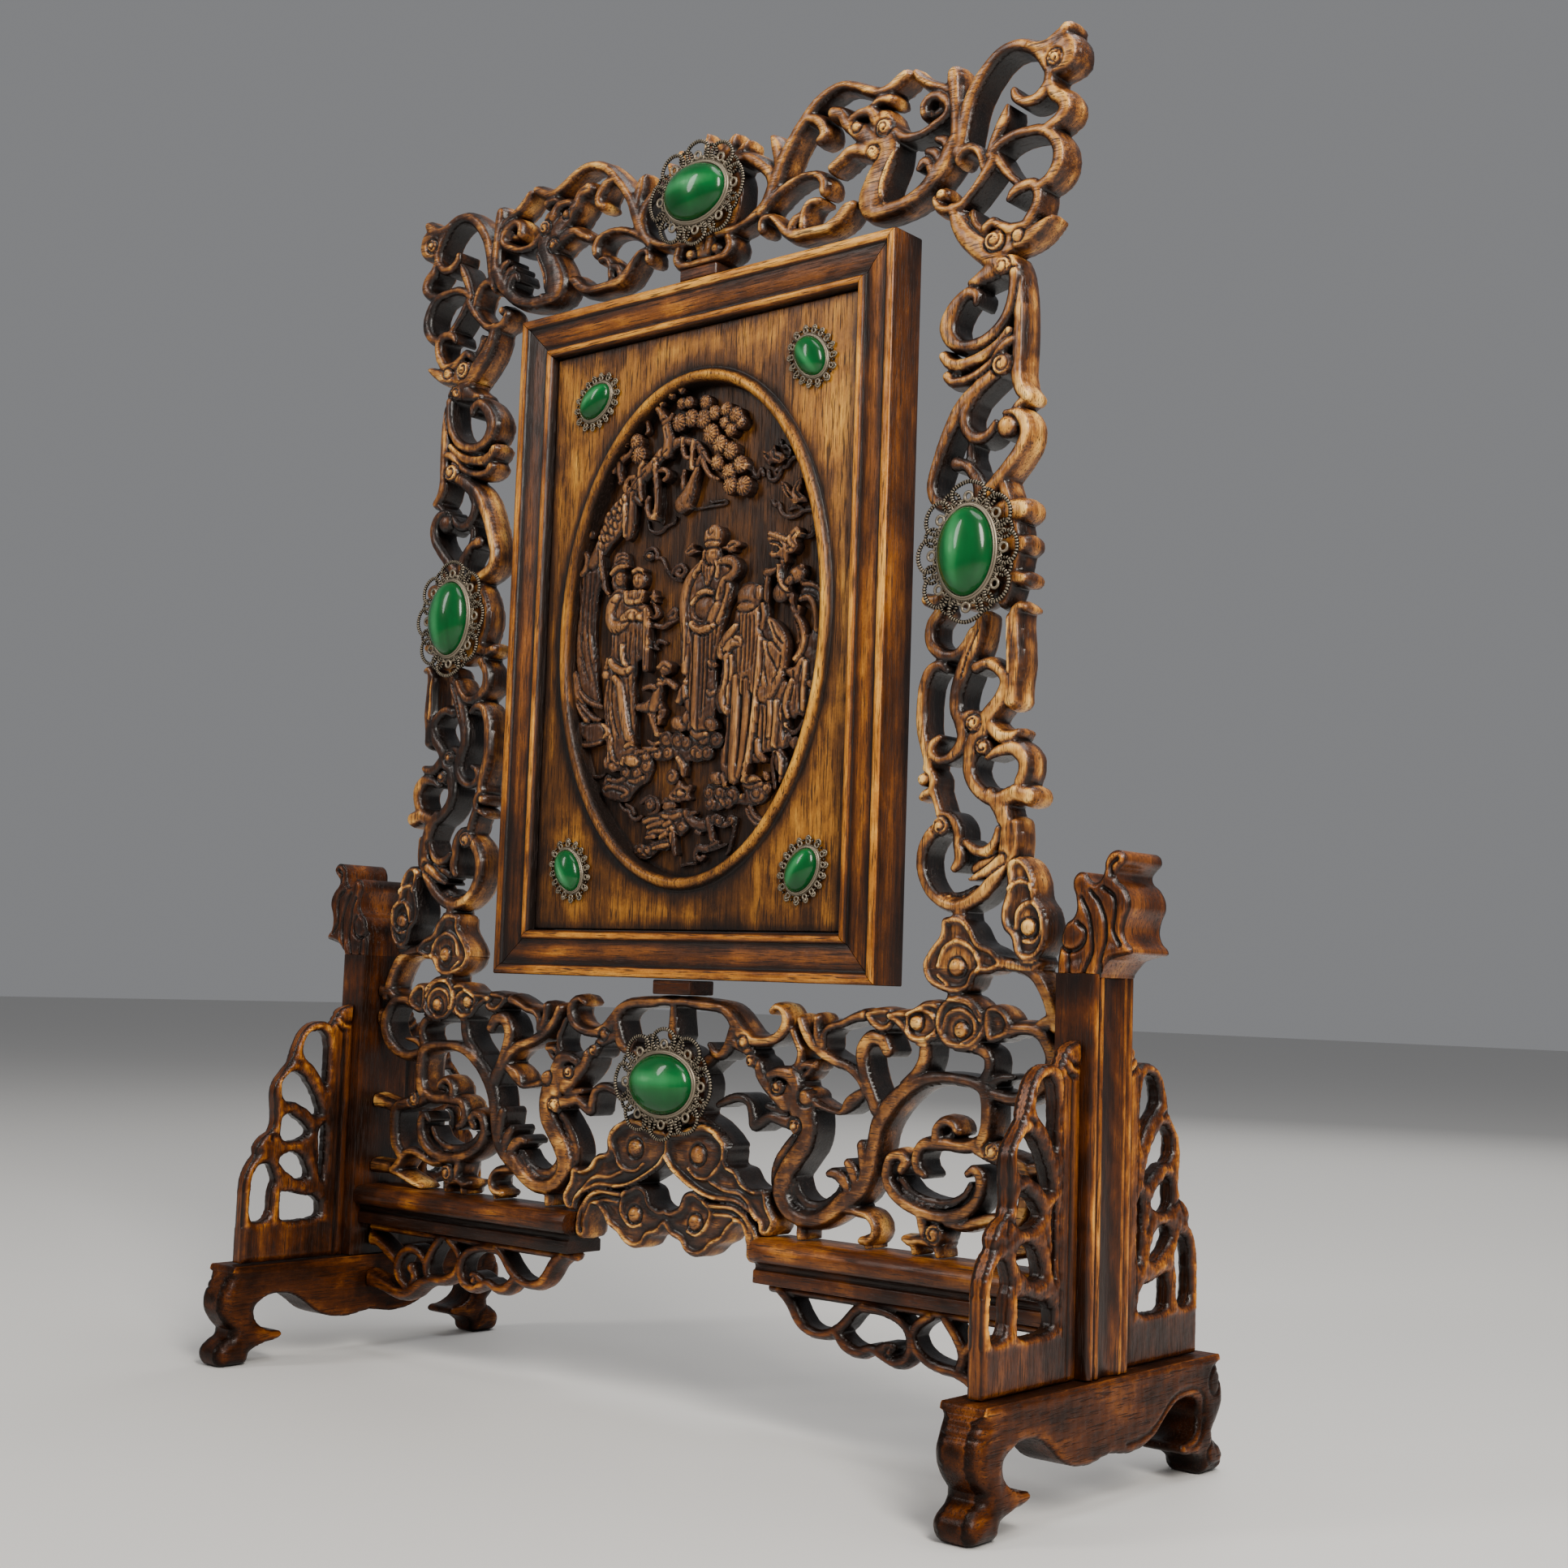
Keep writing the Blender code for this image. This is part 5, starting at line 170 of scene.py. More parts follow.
# stile: scrolls, feather leaves, volutes, side gem seat
STILE = [
    ('R', 2.2, [(112.1, 332.9, 3), (110.6, 328.9, 3.5), (105.6, 326.4, 2.4), (102.6, 325.2, 1.8)]),
    ('R', 2.2, [(113.1, 331.9, 2.8), (116.6, 327.4, 2.3), (118.3, 320.8, 2.1), (118.9, 312.8, 2.1),
        (118.9, 304.8, 2.1), (118.5, 298.2, 2.2), (119.6, 293, 2.1), (121.9, 290.2, 1.8)]),
    ('V', 1.6, [(113.2, 328.3, 2.7)]),
    ('G', 1, [(116.4, 325.8, 0.3), (117.3, 317.8, 0.3), (117.1, 309.8, 0.3), (115.2, 305.8, 0.3)]),
    ('R', 3.4, [(95.6, 300.7, 2), (102.6, 303.8, 2.5), (110.6, 304.8, 3), (115.6, 308.8, 2.5)]),
    ('o', 2.6, [(94.6, 300.1, 1.6), (96.8, 298.2, 1.5), (101.6, 298.1, 1.4), (106.6, 299.7, 1.3),
        (111.6, 302.7, 1.1)]),
    ('o', 2.4, [(93.4, 306.1, 1.8), (95.6, 303.9, 1.9), (100.1, 302.7, 1.8), (105.6, 303.6, 1.7),
        (111.1, 306, 1.5), (115.6, 309.8, 1.1)]),
    ('o', 2.1, [(104.6, 319.3, 1), (104.4, 321.8, 1.8), (101.1, 322.8, 2), (97.2, 319.8, 2.6),
        (94.6, 314.8, 3), (96.2, 310.3, 2.5), (100.6, 307.8, 1.8), (106.1, 307.9, 1.7),
        (111.1, 310.2, 1.7), (114.8, 314.3, 1.6), (116.6, 319.8, 1.6), (117, 325.8, 1.7)]),
    ('R', 2, [(111.4, 298.2, 2), (105.8, 294.9, 2.5), (100, 290.2, 2.7), (95.6, 283.2, 2.2),
        (92.5, 275.6, 2), (90.8, 269.6, 1.9), (91.9, 265.1, 2), (96.1, 262.6, 2), (100.6, 262.1, 2)]),
    ('R', 2.2, [(111.6, 302.7, 1.5), (114.1, 305.8, 1.5), (117.2, 306.8, 1.5)]),
    ('V', 1.4, [(113.9, 300.3, 3.3)]),
    ('R', 2.1, [(103.1, 291.7, 2), (101.4, 287.5, 1.8), (102.4, 283.3, 1.9), (105.9, 280.7, 1.9),
        (109.6, 281.2, 1.6), (112.2, 284.1, 0.9)]),
    ('R', 1.9, [(115.6, 286, 1.3), (119.7, 285.3, 2.1), (121.9, 281.7, 2.1), (121.1, 277.1, 2.1),
        (117.5, 272.4, 2.1), (113.4, 268.4, 2.2), (110.1, 265.1, 2.2)]),
    ('K', 1.2, [(115.8, 282.5, 3.4)]),
    ('R', 2.6, [(118.5, 287.7, 1.2), (120.5, 289.3, 1.4)]),
    ('R', 2.2, [(98.9, 274.4, 2.2), (102.1, 273.4, 1.5), (104.6, 271.1, 1.9), (106.6, 268.1, 2.2),
        (107.6, 263.6, 2.8)]),
    ('L', 3.6, [(103.6, 280.3, 1.2), (103, 277, 1.2), (104.1, 273.1, 1.4)]),
    ('P', 3.2, [(105.3, 263.1), (113.6, 260.1), (118.3, 253.5), (119.2, 247.9), (118.3, 241.5),
        (113.6, 236), (105.3, 232.9), (97.1, 236.5), (93.6, 242.5), (92.5, 247.9), (93.6, 253.5),
        (97.6, 260.1)]),
    ('R', 2.4, [(89.5, 236.9, 1.8), (92.5, 236.3, 2), (96.6, 237.5, 2.4)]),
    ('R', 1.9, [(114.6, 259.1, 3), (119, 258.9, 3.4), (120.8, 258.8, 3.3)]),
    ('R', 1.9, [(115.6, 249.8, 2.6), (121.4, 249.3, 2.7)]),
    ('R', 2.1, [(115.1, 241, 2.2), (119.7, 240.2, 2.2), (122.3, 239.6, 1.9)]),
    ('R', 2.6, [(115.6, 234.5, 2.4), (119.2, 245.5, 2.2), (118.7, 254.5, 2.2), (116.1, 262.6, 2),
        (114.6, 266.6, 2)]),
    ('R', 2, [(123.1, 231.6, 0.8), (120.7, 232, 1.6), (119.3, 228.4, 2.4), (119.6, 222.4, 2.6),
        (119.8, 216.4, 2.7), (119.1, 210.9, 2.6), (119, 206.9, 2.7)]),
    ('E', 1.2, [(117.7, 230.4, 0.4), (118.3, 222.4, 0.4), (118.5, 214.4, 0.4)]),
    ('R', 2.1, [(94.6, 233, 2), (91.9, 229.4, 2.1), (91.9, 224.4, 2.2), (95.4, 221, 2),
        (100.1, 220.3, 1.8), (103.6, 222.7, 1.8), (106.1, 226.4, 1.8)]),
    ('R', 2, [(109, 230.4, 1.6), (107, 223.9, 2.5), (103.6, 216.9, 2.7), (101.3, 210.4, 2.4),
        (101, 205.3, 2.2), (102.6, 201.8, 2.3), (103.6, 197.3, 2.1), (101.9, 193.7, 2),
        (98.9, 191.6, 1.5), (95.6, 191.4, 1.3), (93.2, 193.5, 1.3), (93.9, 196.1, 1.2),
        (96.1, 197.5, 0.9)]),
    ('G', 1, [(108.2, 226.4, 0.3), (104.9, 219.4, 0.3), (102.9, 213.4, 0.3)]),
    ('R', 2, [(98, 216, 0.9), (95.6, 217.8, 1.5), (92.1, 216.8, 1.9), (89.9, 212.4, 1.9),
        (89.3, 206.3, 1.9), (89.5, 200.3, 1.9), (90.8, 195.3, 1.8), (91.9, 191.3, 1.6),
        (91.9, 188.3, 1.6)]),
    ('R', 2.2, [(91.5, 189.3, 1.6), (93.8, 186.2, 1.5), (93.8, 183.2, 1.5), (95.4, 179.2, 1.4),
        (96.6, 175.8, 1.5)]),
    ('R', 2.2, [(93.6, 182.8, 1.3), (91.5, 182.2, 1.5), (89.9, 181.2, 1)]),
    ('K', 1.6, [(90.5, 186.1, 1.9)]),
    ('R', 1.9, [(107.6, 216.3, 1.9), (111.1, 217.3, 1.8), (114.9, 215.4, 1.7), (117.4, 211.9, 2),
        (115.6, 207.1, 2.3), (112.1, 203.3, 2.5), (109.6, 199.3, 3), (107.2, 195.3, 3),
        (106, 190.8, 2.3)]),
    ('R', 2.2, [(103.6, 202.8, 1.8), (106.6, 203.5, 1.4), (109.6, 202.3, 1.4)]),
    ('V', 1.3, [(107.5, 200.9, 2.4)]),
    ('R', 2.1, [(112.1, 200.3, 2), (115.6, 197.3, 2.1), (119.3, 196.9, 1.8), (121.5, 197.9, 0.9)]),
    ('R', 1.9, [(106.6, 192.8, 2.4), (105.8, 188.3, 2), (107.6, 184.2, 2), (111.1, 181.2, 2.1),
        (115.6, 179.8, 2.4), (120.2, 181, 2.6)]),
    ('R', 1.9, [(112.2, 191.7, 1.2), (116.1, 193.1, 1.6), (120.3, 193.6, 2.3), (123.5, 190.9, 2.3),
        (123.9, 187.3, 2), (122.7, 184.2, 2)]),
    ('V', 1.3, [(110.8, 194.2, 2.4)]),
    ('R', 1.6, [(121.5, 181.5, 2.6), (125.5, 180.4, 2.8)]),
    ('R', 1.9, [(113.1, 181.2, 2.2), (116.6, 177.2, 2.7), (118.3, 172.2, 2.4), (118.5, 167.2, 2.3),
        (117.3, 162.1, 2.3), (114.3, 157.6, 2.2), (109.7, 153.4, 2.1), (104, 151, 1.9),
        (98.5, 151.7, 1.8), (93.8, 155.1, 1.8), (91.1, 160.1, 1.8), (90.8, 165.7, 1.9),
        (93, 170.2, 2.1), (96.1, 172.8, 2.2)]),
    ('R', 2, [(96.6, 175.8, 1.5), (100.1, 175.4, 1.5), (102.5, 172.5, 1.7), (103, 168.2, 1.8),
        (103.6, 163.9, 1.8), (102.1, 161.3, 1.2)]),
    ('V', 1.3, [(97.4, 172.8, 2.8)]),
    ('L', 4.2, [(107.7, 161.1, 1.6), (112.2, 163.1, 2.2), (116.2, 164.1, 2.2)]),
    ('o', 2.4, [(105.4, 168.2, 1.2), (108.6, 166.1, 1.5), (112.2, 166.1, 1.4), (114.8, 168.4, 1.3),
        (116, 171.8, 1)]),
    ('o', 2.6, [(107.2, 158.3, 0.5), (110.4, 159.5, 1.3), (113.7, 161.2, 1.5), (117.3, 163.7, 1.9)]),
    ('L', 4.6, [(97.9, 153.7, 1.2), (102.9, 153.4, 1.6), (107.9, 155.4, 1.4)]),
]

# ruyi clouds that tie the stile to the lower board
CLOUDS = [
    ('R', 2.6, [(120.2, 163.1, 2.2), (120.8, 168.1, 2.2), (120.7, 173.1, 2)]),
    ('D', 0.9, [(120.5, 157), (119.8, 153.5), (118.6, 149), (119.5, 145), (122, 142.5), (123.1, 138.6),
        (125.5, 136.6), (129.5, 137), (132.3, 140.5), (133.1, 145.5), (132, 150), (129.5, 153.5),
        (128.8, 158), (126.7, 162.1), (123.5, 164.1), (120.2, 162.1)]),
    ('E', 0.5, [(121.1, 155.5, 0.6), (123.5, 157.4, 0.6), (126.9, 156.8, 0.6), (129.5, 154, 0.5)]),
    ('E', 0.4, [(123.1, 145.2, 0.6), (123.8, 149.4, 0.7), (127.1, 151.9, 0.7), (130.7, 149.8, 0.6),
        (131.3, 145, 0.5), (129.1, 141.6, 0.5), (125.5, 141.6, 0.4)]),
    ('K', 0.3, [(127.1, 145.4, 2.4)]),
    ('D', 1.3, [(99, 147.6), (98.2, 143.2), (94.6, 138.8), (92.6, 135), (93.8, 131), (97.2, 128.6),
        (103.2, 127.2), (108.2, 128.4), (110.7, 132.4), (115.3, 133), (118.9, 135.6), (115.8, 139.4),
        (111.2, 141.4), (108.6, 145.4), (105.2, 147.8)]),
    ('E', 0.6, [(98, 134.6, 0.6), (99.8, 139.4, 0.7), (104.2, 141.4, 0.7), (109.2, 139.2, 0.7),
        (111.4, 134.8, 0.6), (109.8, 131, 0.4)]),
    ('E', 0.9, [(101.2, 129.6, 0.4), (97.8, 132, 0.5)]),
    ('K', 0.6, [(104.2, 134.4, 2.6)]),
    ('R', 2, [(103.8, 149, 2.4), (103.8, 145, 3)]),
    ('R', 2.2, [(114.3, 136.3, 2.2), (119.5, 135.6, 1.9), (125.5, 134.4, 2), (129.7, 131.6, 2.2),
        (133, 126, 2.2), (135.2, 119.5, 2.2)]),
    ('R', 2.4, [(126.1, 138, 1.8), (127.1, 134.8, 2), (129.5, 136, 1.6)]),
    ('R', 2.6, [(103.8, 131, 2.6), (103.7, 126, 2.6)]),
]

# lower board: arch, dragon, comb leaf, ring scroll, cloud band
BOARD = [
    ('R', 1.6, [(0, 121.9, 1.4), (4.5, 122, 1.4), (9.5, 121.5, 1.7), (14.6, 121.2, 1.7),
        (19.6, 120.5, 1.8), (23, 118.4, 2.1), (25.6, 115.3, 2.6), (28.6, 112.8, 2.4),
        (32.6, 111.5, 1.7), (37.6, 111.8, 1.6), (42.1, 113.8, 1.8), (44.3, 117.5, 1.9),
        (43, 120.8, 1.5), (40.2, 121.6, 1.2), (38.4, 120.4, 0.9)]),
    ('R', 1.8, [(24.2, 114.5, 2), (22.6, 109.9, 2.2), (19.8, 106.9, 1.7), (17.2, 107.4, 1.3),
        (15.3, 109.6, 0.9)]),
    ('R', 1.8, [(23.6, 111, 2), (27.6, 109.6, 1.8), (31.6, 107.8, 1.6)]),
    ('K', 1.2, [(28.6, 111, 1.8)]),
    ('R', 1.8, [(0, 112, 2.4), (0, 116.5, 1.7), (0, 120.4, 1.2)]),
    ('P', 3, [(0, 110), (7.5, 107.5), (13, 101), (14.1, 96), (11.5, 88.5), (5.5, 84.5), (0, 83.5)]),
    ('R', 2.4, [(11.5, 103, 2.4), (16.1, 106, 2), (18.6, 107, 1.4)]),
    ('R', 1.8, [(49.6, 118.4, 1.5), (51.1, 115.2, 1.6), (53.6, 112, 1.8), (57.6, 109.3, 1.8),
        (62.6, 107, 1.7), (67.6, 105.6, 1.7), (71.6, 103, 2), (75.1, 99, 2.2), (77.6, 94.5, 2.3)]),
    ('R', 1.8, [(55.6, 118.9, 1.5), (55.8, 115.3, 1.5), (57.2, 111.4, 1.6)]),
    ('R', 1.8, [(72.2, 120.4, 1.8), (69.1, 119.6, 1.5), (64.6, 117.8, 1.3), (60.6, 116.8, 1.2),
        (58.4, 114.5, 1.2), (58.1, 111.3, 1.4)]),
    ('R', 2.4, [(46.6, 115, 1.2), (48.2, 112, 1.2), (49.6, 109.3, 1.3), (49.2, 106.2, 1.3),
        (47.6, 104, 1.3)]),
    ('R', 2.4, [(49.2, 103.6, 1.3), (51.4, 105.6, 1.2), (54.8, 105.4, 1.2)]),
    ('R', 2.6, [(49.6, 101.5, 1.3), (52.6, 103.2, 1.2), (55.2, 106.5, 0.8)]),
    ('R', 1.4, [(51.1, 95, 4.4), (53.6, 88.5, 3.2), (52.6, 83.5, 3.2), (49.6, 79.4, 3.2),
        (46.5, 75.4, 3.2), (44.5, 71.4, 3.1), (44.6, 67.4, 2.9), (47.6, 63.7, 2.6), (52.6, 61.9, 2.3),
        (58.1, 62.3, 2.4), (63.1, 65, 2.6), (67.6, 68.7, 2.9), (72.1, 71.9, 3.3), (75.4, 76.9, 2.9),
        (77.2, 84, 2.6), (78.6, 90, 2.8), (81.6, 95, 2.9), (86.1, 99.3, 2.6), (91.6, 102.6, 2.2),
        (97.6, 104.2, 1.8), (103.6, 104.3, 1.7), (109.7, 103.7, 1.8), (113.7, 101.8, 2.2),
        (114.7, 97.5, 2.3), (114.6, 92, 2.3), (113.3, 88, 2.3)]),
    ('L', 3.6, [(49, 86.5, 1), (45, 81.9, 1.4), (41.9, 77.4, 1.7), (40.9, 72.9, 1.8), (41.4, 68.9, 1.5)]),
    ('L', 4, [(47.8, 73.9, 1.2), (49.1, 68.9, 1.7), (53.2, 65.9, 1.8), (58.6, 66.1, 1.8),
        (63.2, 69.1, 1.5), (65, 71.9, 1)]),
    ('R', 1.2, [(45.6, 94.6, 3.2), (48.2, 97.6, 3.6), (49.6, 92.6, 3)]),
    ('R', 0.9, [(32.4, 105.6, 2.1), (35, 104.4, 1.9), (36.2, 101.6, 2), (39, 99, 2.4),
        (42.2, 96.4, 2.4), (45, 94.3, 2.4)]),
    ('V', 0.6, [(32.3, 105.8, 2.1)]),
    ('R', 0.8, [(39.6, 102, 1.5), (43.2, 103, 1.9), (47, 102.3, 2.3), (49.4, 99.4, 2.2)]),
    ('V', 0.5, [(42.7, 98.8, 2.2)]),
    ('R', 1.6, [(19.6, 92.3, 0.9), (23.6, 94, 1.4), (28.1, 94.9, 1.4), (31.6, 93.3, 1.4),
        (32.9, 90, 1.6), (33.6, 87.3, 1.9), (36.3, 88.3, 1.8), (39.6, 90, 1.7), (44.1, 89.3, 2),
        (48.6, 88.6, 2.2)]),
    ('R', 2.2, [(38.2, 93, 1), (41.2, 92.4, 1.2), (44.2, 92, 1.2)]),
    ('V', 0.9, [(49.4, 88, 2.2)]),
    ('K', 0.5, [(53, 96.4, 2.5)]),
    ('R', 1.5, [(69.6, 71.4, 2), (67.4, 74.1, 2.1), (64.1, 75.9, 1.7), (62, 75.7, 1)]),
    ('R', 1.5, [(72.1, 73.4, 1.9), (70.4, 76.9, 2), (68.6, 79.1, 1.4)]),
    ('R', 1.4, [(75, 75.9, 2.2), (74.1, 80.9, 2.1), (73.3, 84.2, 1.8)]),
    ('G', 0.9, [(70.4, 71.9, 0.3), (68.8, 75.3, 0.3), (67.1, 77.3, 0.3)]),
    ('G', 0.9, [(72.8, 74.9, 0.3), (72.2, 78.9, 0.3), (70.9, 81.3, 0.3)]),
    ('R', 2, [(60.6, 64.1, 1.2), (66.6, 65.9, 1.4), (71.6, 65.9, 1.4), (76.1, 64.9, 1.4),
        (78.1, 61.7, 1.4), (76.6, 58.8, 1.4), (73.2, 58.2, 1.1)]),
    ('R', 2.2, [(55.1, 95, 1.5), (60.1, 93.6, 0.9), (65.1, 93, 0.9), (67.6, 95.4, 2.3),
        (70.1, 97.2, 2.3), (73.2, 99, 1.6)]),
    ('R', 1.6, [(78.6, 94, 2.1), (75.1, 100.5, 1.9), (72.8, 106, 2.1), (72.3, 110.5, 2.3),
        (75, 114, 2.3), (78.9, 113.8, 2.3), (81.1, 110.9, 1.9)]),
    ('D', 1.3, [(73.6, 121.2), (77.6, 122.6), (82, 122.4), (83.6, 119.6), (82.6, 117), (79.2, 116),
        (75.6, 117.6)]),
    ('D', 0.9, [(81.2, 120.4), (85.6, 117.6), (89.6, 114), (93.6, 113.4), (98.1, 114.6),
        (101.2, 116.5), (100.6, 121), (98.6, 124.6), (94.1, 125), (89.6, 122.6), (83.6, 122)]),
    ('E', 0.5, [(88.9, 116.6, 0.6), (88.4, 120.2, 0.6), (91.6, 122.6, 0.7), (96.4, 121.4, 0.7),
        (98, 117.6, 0.6), (95.6, 115.2, 0.5)]),
    ('K', 0.3, [(91.5, 119, 2.1)]),
    ('D', 0.7, [(98.2, 119), (100, 114.6), (103.6, 112.5), (109.7, 112.9), (113.3, 115.4),
        (114.7, 119), (113.3, 123), (108.7, 126.6), (104.1, 126.8), (99.6, 124.4)]),
    ('E', 0.3, [(100.6, 117, 0.6), (101.8, 121.4, 0.7), (106.3, 123, 0.7), (110.5, 120.6, 0.7),
        (110.7, 116.4, 0.6), (107.1, 114.2, 0.5)]),
    ('E', 0.5, [(102.6, 125.6, 0.4), (108.7, 124.4, 0.5), (112.7, 120, 0.4)]),
    ('K', 0.2, [(106.5, 117.6, 2.3)]),
    ('D', 1.6, [(113.5, 123.2), (117.7, 124.4), (121.3, 121.8), (121.9, 118), (119.1, 115.4),
        (114.3, 115.2)]),
    ('R', 1.8, [(121.2, 118, 2.1), (124.7, 118.8, 1.8), (128.7, 118.5, 1.8), (132.2, 116.2, 2),
        (134.7, 111, 2.3), (132.9, 105.5, 2.5), (128.5, 101.8, 2.3), (122.7, 100, 1.8),
        (115.7, 101, 1.8)]),
    ('R', 2.2, [(129.7, 119, 2), (133.7, 121, 2.2), (138.3, 121.5, 2.4)]),
    ('R', 2.4, [(134.3, 113, 2.4), (139.2, 112.4, 3)]),
    ('R', 1.9, [(93.9, 114.5, 2.1), (93.4, 109, 2.1), (91.4, 105.2, 2.2), (87.6, 101.4, 2.4)]),
    ('R', 1.8, [(105.6, 113.2, 1.5), (111.2, 112.8, 1.7), (114.5, 111, 1.7), (115, 107.5, 1.6),
        (113.3, 104, 2)]),
    ('R', 2.4, [(114.7, 103.5, 1.7), (118.7, 105.3, 1.2), (122.9, 105.8, 0.7)]),
    ('R', 1.8, [(113.3, 88.4, 2.2), (108.2, 86.6, 1.9), (102.6, 86.7, 1.8), (97.6, 86.6, 1.9),
        (93.6, 85.9, 1.9), (91.8, 83, 1.8), (92.4, 79.7, 1.7), (94.6, 78.1, 1.2)]),
    ('R', 1.7, [(98.2, 87.5, 1.9), (98.6, 91, 1.7), (101.1, 92.9, 1.5), (104, 92.2, 1.4),
        (105.2, 90.4, 1.1)]),
    ('L', 3.8, [(101.6, 88.5, 1.2), (103.4, 90.2, 1.2)]),
    ('R', 1.8, [(111.7, 86.6, 2.2), (116.7, 84.8, 2.2), (121.7, 84, 2.2), (126.7, 81.9, 2.3),
        (127.3, 75.9, 2.3), (126.1, 69.9, 2.2), (122.7, 66.3, 2)]),
    ('R', 2.2, [(126.7, 81.9, 2.2), (132.7, 83.2, 2), (139.2, 84, 2.4)]),
    ('V', 1.2, [(116.9, 86, 2.6)]),
    ('R', 1.6, [(87, 78.9, 1.5), (88.4, 81.1, 1.7), (86.4, 82.8, 1.6), (83.2, 81.7, 1.7),
        (81.9, 78.1, 1.8), (82.6, 74.3, 1.9), (86, 70.9, 1.9), (90.6, 68.8, 1.8), (96.1, 67.5, 1.8),
        (101.6, 67.3, 1.9), (106.7, 68.5, 1.9), (110.7, 71.1, 1.8), (113.1, 74.9, 1.8),
        (113.1, 78.9, 1.8), (111.1, 80.7, 1.4), (109.1, 79.5, 1)]),
    ('L', 3.8, [(85.6, 76.3, 1), (89.6, 72.5, 1.3), (95.6, 70.8, 1.3), (101.6, 70.9, 1.2),
        (106.7, 73.2, 1), (109.1, 76.5, 0.9)]),
    ('R', 2, [(102.6, 65.9, 1.7), (107.7, 65.5, 1.5), (112.2, 66.9, 1.6), (117.2, 68.2, 1.7),
        (121.2, 67.1, 1.7), (124.2, 63.9, 1.8), (127.2, 61.3, 1.5)]),
    ('R', 2.2, [(112.7, 56.9, 1.2), (117.7, 58.3, 1.4), (122.7, 59.9, 1.4), (127.2, 60.9, 1.4)]),
    ('R', 2.4, [(126.7, 61.4, 2), (132.7, 61.9, 2), (139.2, 61.9, 2.4)]),
    ('R', 1.9, [(93.6, 67.4, 1.9), (94.6, 63.5, 1.8), (96.2, 60.7, 1.6)]),
    ('R', 1.9, [(99.1, 60.1, 1.8), (93.6, 60.3, 1.4), (90.1, 59.7, 1.4), (88, 60.3, 0.9)]),
    ('V', 1.2, [(98.7, 62.6, 3)]),
    ('R', 2.4, [(98.6, 59.9, 1.4), (99.6, 56.9, 1.4)]),
    ('R', 2.4, [(91.6, 59.9, 1.3), (91.6, 56.9, 1.4)]),
    ('R', 2.4, [(75.6, 58.9, 1.3), (75.6, 55.9, 1.4)]),
    ('R', 2.4, [(51.6, 61.9, 1.6), (51.6, 55.9, 1.8)]),
    ('R', 2.2, [(9.5, 87, 3), (16, 85.6, 1.8), (20.1, 83, 1.7), (23.2, 80.5, 1.5)]),
    ('D', 0.9, [(-1.1, 80.5), (-1, 76.3), (1.1, 72.7), (3.9, 70.8), (8.5, 68.1), (14.6, 65.3),
        (21.6, 64.1), (28.6, 63.9), (36.4, 59.9), (37.6, 56.5), (41, 56.1), (43.4, 60.3), (40.8, 64.9),
        (39.2, 69.3), (34.8, 69.1), (31.4, 70.7), (28.6, 74.1), (24.6, 75.3), (24.6, 78.9),
        (23.4, 82.2), (19.2, 84.8), (13.6, 86), (5.5, 84), (0, 83)]),
    ('E', 0.3, [(19.8, 83.4, 0.6), (23, 79.5, 0.7), (21.4, 74.9, 0.7), (17.6, 70.8, 0.6),
        (12.5, 70.5, 0.5), (9.1, 72.9, 0.5)]),
    ('E', 0.4, [(18, 69.7, 0.5), (23.6, 67.7, 0.6), (29.6, 67.1, 0.6), (33.6, 64.3, 0.6),
        (36.6, 60.5, 0.5)]),
    ('E', 0.4, [(0.1, 75.9, 0.6), (3.5, 72.3, 0.6), (8.5, 69.1, 0.6), (14.6, 66.3, 0.6),
        (20.6, 65.1, 0.5)]),
    ('E', 0.5, [(25, 74.3, 0.5), (28.6, 72.7, 0.6), (31.2, 69.7, 0.6), (35.6, 68.3, 0.5)]),
    ('K', 0.2, [(12.9, 77.2, 3.1)]),
    ('D', 1.2, [(0, 60.3), (2.5, 59.9), (5.9, 61.5), (7.7, 65.1), (11.5, 66.5), (15.6, 64.9),
        (19.6, 63.7), (26.6, 64.2), (31, 62.9), (34.6, 59.9), (37.2, 54.9), (37, 48.9), (33, 48.7),
        (32.2, 53.9), (30.6, 57.7), (29.2, 58.5), (25.8, 56.1), (23.6, 53.1), (19.6, 51.1),
        (16.6, 48.5), (12.5, 47.3), (8.5, 48.5), (6.5, 51.1), (2.5, 52.5), (0, 54.9)]),
    ('E', 0.6, [(16.2, 63.9, 0.6), (18.2, 60.5, 0.7), (17, 56.5, 0.7), (13.6, 53.9, 0.6),
        (9.5, 54.5, 0.5)]),
    ('E', 0.6, [(18.6, 62.9, 0.5), (25.6, 62.9, 0.6), (30.6, 61.3, 0.7), (33.6, 57.5, 0.7),
        (34.8, 51.9, 0.8)]),
    ('E', 0.9, [(19.6, 60.3, 0.5), (25.6, 60.5, 0.6), (30, 58.9, 0.5)]),
    ('K', 0.6, [(12.4, 57.3, 2.7)]),
]

